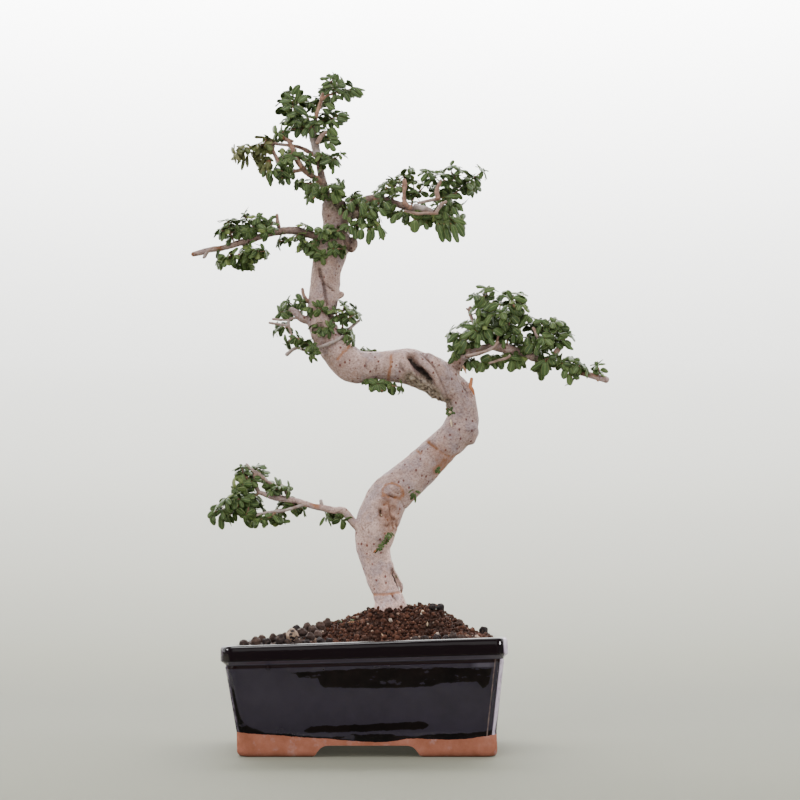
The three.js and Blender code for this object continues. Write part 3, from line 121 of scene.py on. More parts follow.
# Sprays: leaf length, droop, bare twigs, twigs that the CAD part has too, twigs added here.
SPRAYS = {
    "crown": (9, 0.5, [], [[(-39, 1, 489), (-39, 0, 492), (-36, 0, 500), (-32, -1, 506), (-28, -2, 513)],
     [(-36, 0, 499), (-28, -4, 501), (-20, -5, 502), (-13, -4, 505)],
     [(-32, -1, 505), (-25, 4, 509), (-22, 6, 514)], [(-38, 0, 495), (-34, 6, 494), (-30, 8, 498)],
     [(-38, 0, 495), (-43, -4, 490), (-45, -5, 492)]], []),
    "leader_right": (9, 0.5, [], [[(-42, 1, 478), (-34, 2, 481), (-27, 0, 483), (-21, -1, 486)],
     [(-36, 2, 480), (-34, 8, 488), (-33, 10, 492)]], []),
    "leader_right_low": (9, 0.45, [], [[(-41, 0, 459), (-37, -3, 466), (-32, -6, 470)],
     [(-37, -3, 466), (-31, -1, 466), (-29, 1, 464)]], []),
    "upper_left": (12, 0.35, [], [[(-42, 1, 472), (-51, 3, 477), (-57, 4, 483), (-60, 3, 490), (-59, 2, 498),
     (-60, 1, 503)], [(-59, 3, 488), (-64, 0, 492), (-66, -1, 494)],
     [(-60, 3, 495), (-55, 5, 499), (-52, 6, 501)]], []),
    "upper_left_low": (10, 0.55, [],
     [[(-41, 0, 467), (-49, -4, 471), (-56, -7, 472), (-63, -9, 469), (-69, -10, 467)],
     [(-54, -6, 472), (-57, -10, 476), (-62, -11, 478)], [(-47, -3, 470), (-44, -8, 474), (-46, -9, 479)]],
     []),
    "left_inner": (9, 0.6, [], [[(-56, -7, 451), (-60, -11, 450), (-65, -13, 447)],
     [(-59, -10, 451), (-61, -14, 445), (-62, -15, 440)]],
     [[(-56, -7, 451), (-50, -6, 449), (-46, -7, 447), (-45, -8, 440)]]),
    "left_back": (9, 0.6, [], [[(-62, 8, 463), (-63, 13, 458), (-67, 14, 453)],
     [(-62, 11, 461), (-56, 15, 456), (-49, 15, 451)]], []),
    "left_low_a": (9, 0.75, [], [[(-60, -8, 438), (-62, -11, 433), (-66, -12, 431)],
     [(-62, -10, 435), (-67, -14, 436), (-71, -15, 436)]], []),
    "left_low_b": (9, 0.75, [], [[(-41, 1, 435), (-43, -3, 429), (-49, -5, 429), (-53, -6, 429)],
     [(-43, -2, 430), (-43, -4, 424), (-44, -5, 419)], [(-43, -3, 429), (-37, -4, 424), (-35, -6, 420)]], []),
    "far_left": (10, 0.85, [],
     [[(-74, -10, 459), (-82, -12, 457), (-89, -13, 455), (-95, -13, 453), (-101, -12, 451)],
     [(-78, -11, 458), (-79, -7, 452), (-79, -6, 445), (-78, -6, 438)],
     [(-79, -7, 453), (-84, -5, 451), (-86, -4, 448)]], [[(-80, -11, 457), (-79, -9, 462)]]),
    "right_twig": (9, 0.55, [], [[(-37, 2, 439), (-34, 0, 445), (-28, -2, 448), (-22, -3, 452)],
     [(-32, -1, 446), (-35, -5, 448), (-36, -6, 450)]], []),
    "leader_right_base": (10, 0.6, [], [[(-34, 3, 427), (-29, -1, 427), (-23, -2, 428)],
     [(-29, -1, 427), (-26, -5, 423), (-24, -7, 419)]], []),
    "right_top_near": (9, 0.7, [], [[(-2, 7, 417), (-8, 2, 418), (-13, -1, 416), (-17, -2, 411)],
     [(-7, 2, 417), (-1, -1, 410), (-4, -3, 402)], [(-1, -1, 409), (3, -2, 405), (7, -2, 403)]],
     [[(-6, 3, 418), (-11, 6, 422)]]),
    "front_twig": (9.5, 1, [], [[(-25, 3, 382), (-27, -7, 383), (-25, -9, 388), (-20, -10, 391),
     (-12, -9, 394), (-3, -7, 395), (4, -6, 395), (10, -6, 392)]], []),
    "right_top_inner": (8.5, 0.7, [], [[(14, 8, 418), (10, 3, 413), (6, 1, 411)],
     [(12, 5, 415), (16, 0, 410), (18, -2, 406)]], [[(14, 9, 419), (11, 11, 425), (7, 12, 425)]]),
    "right_top_mid_a": (9, 0.5, [], [[(20, 7, 416), (19, 6, 424), (22, 6, 431), (27, 7, 437), (33, 8, 440)],
     [(19, 6, 423), (15, 2, 425), (13, 0, 426)], [(22, 6, 430), (19, 12, 435)]], []),
    "right_top_mid_b": (9, 0.6, [], [[(34, 5, 411), (35, 8, 420), (36, 9, 427), (35, 9, 433)],
     [(35, 8, 421), (40, 6, 425), (44, 5, 429)], [(35, 8, 421), (31, 13, 427), (25, 14, 429)]], []),
    "right_top_below": (11, 0.9, [], [[(41, 4, 410), (41, 0, 404), (38, -3, 400)],
     [(41, 1, 406), (46, 4, 404), (51, 5, 403)], [(41, 2, 407), (33, 6, 407), (26, 8, 409)]], []),
    "right_end_top": (10.5, 0.5, [],
     [[(53, 3, 407), (57, 1, 413), (62, 0, 418), (63, 0, 426), (65, -1, 434), (65, -2, 442)],
     [(58, 1, 413), (54, 4, 419), (55, 4, 427), (51, 2, 433), (47, 0, 438)],
     [(64, 0, 430), (68, -5, 434), (72, -7, 437)], [(63, 0, 427), (59, -5, 431), (57, -7, 434)],
     [(62, 0, 418), (69, 4, 424), (76, 6, 431), (84, 6, 437), (89, 6, 441)],
     [(75, 6, 430), (80, 3, 429), (81, 1, 425)]], []),
    "right_end_hang": (11, 1, [], [[(51, 3, 407), (58, -3, 404), (65, -5, 401), (71, -5, 398)],
     [(58, -3, 404), (60, -7, 397), (62, -8, 392)], [(55, 0, 405), (61, 7, 412), (67, 9, 417), (71, 10, 416)],
     [(61, 7, 412), (60, 12, 407), (58, 13, 404)]], []),
    "left_end_top": (10, 0.5, [], [[(-101, -11, 378), (-104, -12, 385), (-106, -12, 391), (-107, -11, 396)],
     [(-105, -12, 386), (-109, -16, 388), (-111, -17, 388)],
     [(-105, -12, 387), (-101, -8, 392), (-101, -7, 394)]], []),
    "left_mid_top": (9.5, 0.5, [], [[(-86, -10, 383), (-89, -9, 391), (-92, -9, 397), (-94, -9, 401)],
     [(-90, -9, 391), (-85, -14, 395), (-84, -15, 398)], [(-89, -9, 390), (-94, -15, 388), (-96, -17, 387)]],
     []),
    "left_stub_top": (9, 0.6, [], [[(-69, -8, 395), (-74, -10, 396), (-80, -11, 397)],
     [(-73, -10, 396), (-75, -15, 390), (-77, -19, 387)]], []),
    "left_hang": (10, 1, [], [[(-89, -11, 382), (-92, -12, 374), (-99, -14, 370), (-106, -15, 368)],
     [(-92, -12, 374), (-83, -16, 372), (-79, -17, 372)], [(-94, -12, 373), (-96, -8, 368), (-97, -6, 364)],
     [(-91, -12, 375), (-89, -8, 369), (-90, -7, 365)],
     [(-103, -15, 369), (-110, -11, 367), (-114, -9, 367)]], []),
    "left_near_a": (9.5, 0.8, [], [[(-52, -4, 390), (-56, -7, 385), (-62, -8, 383), (-67, -8, 382)],
     [(-54, -6, 386), (-52, -1, 383), (-50, 1, 380)]], [[(-51, -4, 390), (-48, -6, 394)]]),
    "left_near_b": (9, 0.8, [], [[(-37, 0, 386), (-42, -6, 380), (-41, -9, 374), (-36, -11, 370)],
     [(-42, -6, 380), (-47, -10, 379), (-51, -12, 379)]], []),
    "tuft_top_left": (9, 0.7, [], [[(-26, 4, 387), (-30, -9, 388), (-34, -13, 389)]],
     [[(-30, -9, 388), (-31, -13, 390)]]),
    "tuft_front": (8.5, 0.9, [], [[(-24, 4, 378), (-23, -9, 377), (-26, -12, 375)]],
     [[(-25, -11, 376), (-20, -12, 375)]]),
    "tangle_top": (9, 0.5, [], [[(-50, -9, 321), (-52, -6, 327), (-56, -5, 332), (-61, -5, 335)],
     [(-52, -6, 327), (-45, -10, 329), (-41, -12, 328), (-35, -16, 328)], [(-54, -5, 330), (-51, -9, 334)],
     [(-55, -5, 330), (-60, -9, 327), (-65, -11, 326)]], []),
    "loop_leaves": (8.5, 0.8, [], [[(-42, -17, 297), (-43, -23, 298), (-46, -22, 300)],
     [(-43, -23, 298), (-40, -24, 294), (-41, -23, 292)]], []),
    "trunk_left_low": (9, 0.6, [], [[(-38, -7, 307), (-36, -15, 311), (-30, -19, 312)]],
     [[(-36, -15, 310), (-38, -13, 315)]]),
    "right_small_top": (9, 0.5, [], [[(-18, -8, 308), (-19, -8, 317), (-19, -8, 324), (-18, -8, 331)],
     [(-19, -8, 318), (-13, -11, 322), (-9, -12, 324)], [(-19, -8, 321), (-23, -13, 323), (-24, -14, 326)],
     [(-19, -8, 320), (-14, -3, 328), (-11, -1, 330)], [(-19, -8, 312), (-15, -13, 307), (-12, -14, 304)]],
     []),
    "tangle_low": (9.5, 0.8, [[(-52, -10, 322), (-59, -13, 320), (-59, -14, 314), (-57, -13, 307)],
     [(-59, -14, 315), (-67, -15, 316), (-74, -16, 317)],
     [(-59, -13, 320), (-66, -11, 320), (-72, -10, 321)]],
     [[(-59, -14, 314), (-63, -10, 314), (-69, -8, 313)], [(-57, -13, 309), (-53, -16, 305), (-49, -17, 303)],
     [(-57, -13, 307), (-59, -10, 304), (-60, -9, 303)]], []),
    "right_base": (10.5, 0.75, [], [[(80, 4, 299), (76, 0, 305), (70, -2, 310), (64, -3, 311)],
     [(76, 0, 306), (70, -5, 301), (67, -7, 297)], [(79, 3, 301), (83, 5, 309), (81, 4, 316), (77, 3, 319)],
     [(82, 5, 310), (87, 1, 311), (91, 0, 311)]], []),
    "right_base_low": (8.5, 0.7, [], [[(74, 5, 296), (78, 8, 291), (81, 9, 289)]],
     [[(76, 7, 293), (72, 12, 291)]]),
    "right_tall_a": (10, 0.5, [], [[(91, 3, 301), (93, -1, 314), (92, -2, 328), (91, -2, 339), (92, -2, 345)],
     [(93, -2, 321), (87, -7, 327), (85, -9, 329)], [(92, -2, 333), (86, -6, 337), (83, -7, 339)],
     [(93, -1, 313), (88, -8, 316), (84, -10, 316)]], []),
    "right_tall_b": (10, 0.5, [], [[(99, 3, 301), (102, 6, 314), (102, 7, 326), (103, 6, 336), (105, 5, 341)],
     [(102, 7, 324), (98, 11, 330), (95, 12, 333)], [(102, 6, 314), (97, 11, 319), (94, 13, 320)],
     [(102, 7, 322), (108, 11, 326), (112, 12, 327)]], []),
    "right_tall_c": (10, 0.55, [],
     [[(107, 3, 301), (108, -4, 310), (109, -6, 322), (112, -6, 333), (116, -5, 340)],
     [(110, -6, 328), (115, -10, 330), (117, -11, 331)], [(108, -4, 310), (111, -8, 310), (115, -9, 309)],
     [(109, -6, 319), (104, -11, 323), (103, -12, 325)]], []),
    "right_mid": (9.5, 0.6, [], [[(119, 3, 297), (120, -1, 302), (122, -2, 307)],
     [(120, 0, 301), (125, -5, 301), (128, -6, 299)], [(120, 1, 300), (116, 7, 305), (113, 9, 306)]], []),
    "right_upright": (10, 0.5, [],
     [[(133, 3, 291), (132, 6, 301), (130, 6, 310), (126, 5, 318), (122, 4, 324)],
     [(130, 6, 309), (134, 3, 315), (133, 1, 319)], [(132, 6, 304), (137, 10, 307), (140, 12, 309)]], []),
    "right_high": (10, 0.6, [], [[(147, 0, 299), (144, -4, 305), (141, -5, 312), (138, -5, 318)],
     [(146, -2, 301), (150, -6, 305), (152, -7, 309)], [(141, -5, 310), (145, -9, 314), (143, -10, 318)],
     [(144, -4, 307), (138, -10, 305), (135, -12, 305)]], []),
    "right_mid_hang": (10, 0.9, [], [[(136, 3, 291), (134, -2, 286), (133, -3, 283)],
     [(135, 1, 289), (139, -4, 292), (144, -6, 292)]], []),
    "right_outer": (9.5, 0.7, [], [[(153, 1, 284), (155, -3, 288), (157, -4, 290)],
     [(154, -2, 287), (160, -7, 285), (165, -8, 283)]], [[(154, -1, 286), (149, -6, 287)],
     [(154, 0, 285), (156, 4, 280), (157, 5, 278)]]),
    "right_ball": (7.5, 0.5, [], [[(176, -2, 277), (177, -3, 282), (176, -4, 285)]], []),
    "right_under": (10, 0.8, [], [[(111, 3, 299), (107, 0, 292), (99, -2, 291), (92, -2, 290), (87, -2, 289)],
     [(108, 1, 293), (114, -3, 291), (117, -5, 289)]], []),
    "low_left_tip": (10, 0.8, [],
     [[(-80, -12, 188), (-87, -15, 184), (-94, -17, 180), (-103, -18, 176), (-112, -18, 174)],
     [(-92, -17, 181), (-96, -22, 183), (-103, -24, 182)],
     [(-96, -17, 180), (-98, -12, 175), (-102, -10, 172)],
     [(-88, -15, 183), (-88, -19, 176), (-89, -20, 172)], [(-86, -15, 185), (-83, -11, 181), (-84, -9, 178)]],
     []),
    "low_left_up": (9.5, 0.6,
     [[(-81, -12, 189), (-83, -12, 195), (-84, -11, 202), (-88, -11, 206), (-91, -11, 209)]],
     [[(-84, -12, 196), (-88, -14, 197), (-92, -15, 202), (-93, -15, 206)],
     [(-88, -14, 197), (-92, -18, 194), (-96, -20, 191)], [(-90, -14, 199), (-89, -8, 204), (-87, -6, 206)],
     [(-87, -14, 197), (-90, -11, 190), (-92, -10, 185)],
     [(-84, -11, 201), (-77, -9, 198), (-72, -8, 194), (-68, -8, 192)],
     [(-79, -9, 199), (-81, -6, 204), (-83, -5, 207)]], []),
    "low_left_mid": (9, 0.6, [], [[(-68, -13, 185), (-70, -17, 189), (-65, -19, 191)]],
     [[(-60, -14, 188), (-59, -17, 191)]]),
    "low_left_inner": (9.5, 0.8, [], [[(-55, -15, 182), (-54, -12, 178), (-49, -10, 176)],
     [(-54, -13, 180), (-60, -8, 179), (-65, -7, 179)]], []),
    "low_left_under": (9.5, 0.8, [], [[(-68, -20, 173), (-70, -24, 170), (-76, -24, 168), (-82, -21, 167)]],
     [[(-69, -22, 171), (-65, -17, 168)]]),
    "low_left_near": (9.5, 0.8, [], [[(-18, -12, 174), (-22, -9, 172), (-28, -8, 171)]],
     [[(-20, -10, 172), (-19, -13, 169)]]),
    "under_twig": (9, 0.9, [], [[(-4, -6, 282), (0, -9, 274), (7, -10, 272), (16, -10, 270), (25, -8, 269)],
     [(10, -10, 272), (8, -15, 270)]], []),
    "back_tuft": (8, 0.5, [], [[(1, -2, 286), (-1, 11, 296), (2, 13, 299)]],
     [[(-1, 11, 296), (-5, 13, 299)]]),
    "tuft_low": (3.4, 0.5, [], [[(15, -12, 152), (15, -18, 153), (16, -24, 155)]],
     [[(15, -15, 153), (11, -18, 148)]]),
}
# Marks on the front of the trunk: kind, half width, push along the surface normal, points as x, z.
STROKES = [
    # slit scar
    ("hole", 2.5, -6, [(33.3, 291.3), (37.1, 284.4), (42.4, 277.5), (47.7, 272.9)]),
    # slit scar, left lip
    ("", 1.9, 1.3, [(29.6, 294.4), (31.8, 286.7), (36.4, 277.5), (41.7, 271.4)]),
    # slit scar, right lip
    ("", 2, 1.7, [(37.1, 293.6), (43.2, 287.5), (49.3, 280.6), (53.8, 272.9), (58.3, 264.5), (62, 256.1)]),
    # groove beside the right lip
    ("dark", 0.7, -1, [(40.2, 294.4), (47.8, 286.7), (53.8, 277.5), (59.1, 266.8), (62.8, 256.9)]),
    # dead wood under the scar
    ("dead", 4.5, -0.8, [(32.6, 275.2), (40.1, 270.6), (47.7, 266.8), (53.7, 261.4), (59.8, 256.1)]),
    # cleft
    ("dark", 1, -2.6, [(-37, 360.2), (-35.4, 353.9), (-33, 346.2), (-31.5, 337.6), (-29.9, 331.4)]),
    # cleft, side arm
    ("dark", 0.7, -1.3, [(-33.8, 350.1), (-30, 346.2), (-26.1, 343.1)]),
    # cleft, lower part
    ("dark", 0.9, -1.3, [(-31.4, 329.1), (-28.3, 323.7), (-23.7, 319)]),
    # cleft, lip
    ("", 1.4, 0.7, [(-33.1, 358.6), (-30.8, 349.3), (-28.4, 339.9), (-26.9, 333)]),
    # wire mark
    ("wire", 1.1, -0.5, [(-11.5, 301.3), (-16, 295.9), (-22, 289)]),
    ("wire", 1, -0.3, [(18.2, 292.8), (17.8, 284.4), (15.9, 273.7)]),
    ("wire", 1.1, -0.6, [(46.1, 228), (52.9, 222), (59.6, 217), (64.1, 215.9), (69.4, 218.2)]),
    ("wire", 1, -0.4, [(37.8, 221.2), (40.8, 218.2)]),
    ("wire", 0.9, -0.4, [(3.4, 112.2), (13.8, 112.6), (23.5, 114.1), (26.5, 113.7)]),
    # stain under a wire mark
    ("stain", 5, 0, [(58.1, 212.1), (55.1, 205.4)]),
    # stain under a wire mark, strong
    ("wire", 3.2, 0, [(61.1, 215.2), (57.3, 210.6), (52.8, 205.4)]),
    # red scar
    ("dark", 1, -0.6, [(25, 286.7), (25.8, 282.9), (28, 280.2)]),
    # hollow behind the bark flap
    ("hole", 1.7, -2.4, [(19.8, 130.7), (21.6, 126.6), (23.9, 121.8), (26.5, 115.9)]),
    # ridge round the knobbed scar
    ("wire", 1, 0.7, [(13, 185.1), (12.2, 190.3), (14.5, 194.1), (19, 195.2), (25, 192.6)]),
    ("wire", 1.3, 0.3, [(25.8, 191.1), (26.9, 186.6), (25, 183.6), (21.3, 184.3)]),
    ("wire", 1.4, 0.3, [(13, 186.6), (16, 184.3)]),
    # knobbed scar, boss
    ("", 3.6, 1.3, [(18.2, 190.3), (22, 189.6)]),
    # knobbed scar, rings
    ("dark", 0.35, -0.5, [(16.7, 191.8), (19.7, 188.8), (23.5, 187.3)]),
    ("dark", 0.35, -0.5, [(19.7, 192.6), (22.7, 189.9), (25, 188.4)]),
    # knobbed scar, slit
    ("hole", 0.8, -1.8, [(16.4, 185.8), (18.6, 185.1), (21.3, 183.9)]),
    # knobbed scar, stain
    ("stain", 7, 0, [(16.8, 182.8), (18.3, 173.8), (17.5, 163.4)]),
    # knobbed scar, pit
    ("hole", 1.3, -2, [(10.4, 174.6), (10.8, 170.8)]),
    # knobbed scar, crack
    ("dark", 0.55, -1.2, [(17.1, 180.6), (17.1, 176.1), (17.9, 170.8), (19.4, 167.9)]),
    # knobbed scar, left ring
    ("dark", 0.5, -0.9, [(16, 167.9), (14.1, 167.1), (13.8, 164.1), (15.3, 162.6), (16.8, 164.1)]),
    # knobbed scar, right ring
    ("dark", 0.6, -0.9, [(20.5, 167.9), (22.4, 167.1), (22, 164.5), (23.1, 162.6)]),
    ("dark", 0.4, -0.6, [(19, 165.6), (19.8, 161.9), (21.3, 160.4)]),
    # knobbed scar, side pit
    ("dark", 0.7, -1, [(29.5, 176.8), (30.6, 176.5)]),
    # crack at the bend's edge
    ("dark", 0.5, -0.9, [(73.1, 273.7), (75.7, 269.1), (78, 265.3)]),
    # bend's edge
    ("", 3, -2.6, [(72.8, 279.8), (75.7, 272.9), (78, 264.5)]),
    # bend's lower knob
    ("", 3.4, 2.2, [(80.1, 237.9), (82.3, 234.1), (81.5, 229.5)]),
    # bend's lower hollow
    ("", 2.6, -1.4, [(72.4, 223.5), (75.5, 224.2)]),
    # dead wood, lower edge
    ("", 3.2, 2.4, [(48.5, 262.2), (53, 258.4), (58.3, 254.6)]),
    # dead wood, lines
    ("dark", 0.5, -0.8, [(29.5, 276), (33.3, 271.4), (37.9, 268.3)]),
    ("dark", 0.5, -0.8, [(43.2, 273.7), (49.2, 267.6), (56, 261.4)]),
    # dark start of a wire mark
    ("dark", 1, -0.9, [(46.9, 227.3), (49.9, 225), (52.9, 222)]),
    # stain at the bend's foot
    ("stain", 6, 0, [(53.6, 220.4), (59.6, 212.9), (55.1, 203.8)]),
    # peeled patch
    ("wire", 1.6, -0.4, [(-41, 180.6), (-36.4, 177.6)]),
    # peeled band
    ("wire", 1.8, 0, [(-116.8, 378.2), (-112.9, 375)]),
    # cut end
    ("wire", 1, 0, [(-135.1, 372.7), (-133.5, 369.6)]),
    # orange end
    ("wire", 1.2, 0, [(162.2, 281.7), (169, 279.8), (175.1, 278.3)]),
    # orange end, crack
    ("dark", 0.5, -0.3, [(161.4, 277.5), (170.4, 274.4)]),
    # blunt cut
    ("dead", 1.5, -0.4, [(128.2, 292.8), (129.3, 288.2)]),
    # old branch scar
    ("dark", 1.1, -0.8, [(-18.7, 385.2), (-15.6, 378.9), (-11.8, 372.7)]),
    # dark wood under the right limb
    ("dead", 4, -0.5, [(-13.4, 406.4), (-10.4, 402.5), (-8, 398.6)]),
    # top cut, rough edge
    ("dead", 3, -0.6, [(-28.1, 411.2), (-21.1, 408.8), (-14.2, 408.8)]),
    # dark line at the foot
    ("dark", 0.8, -0.6, [(18.7, 112.6), (20.2, 110.4), (22, 108.5)]),
    # short cracks
    ("dark", 0.6, -0.5, [(-0.8, 286.7), (0, 282.1)]), ("dark", 0.6, -0.5, [(7.6, 284.4), (6.8, 279.8)]),
]
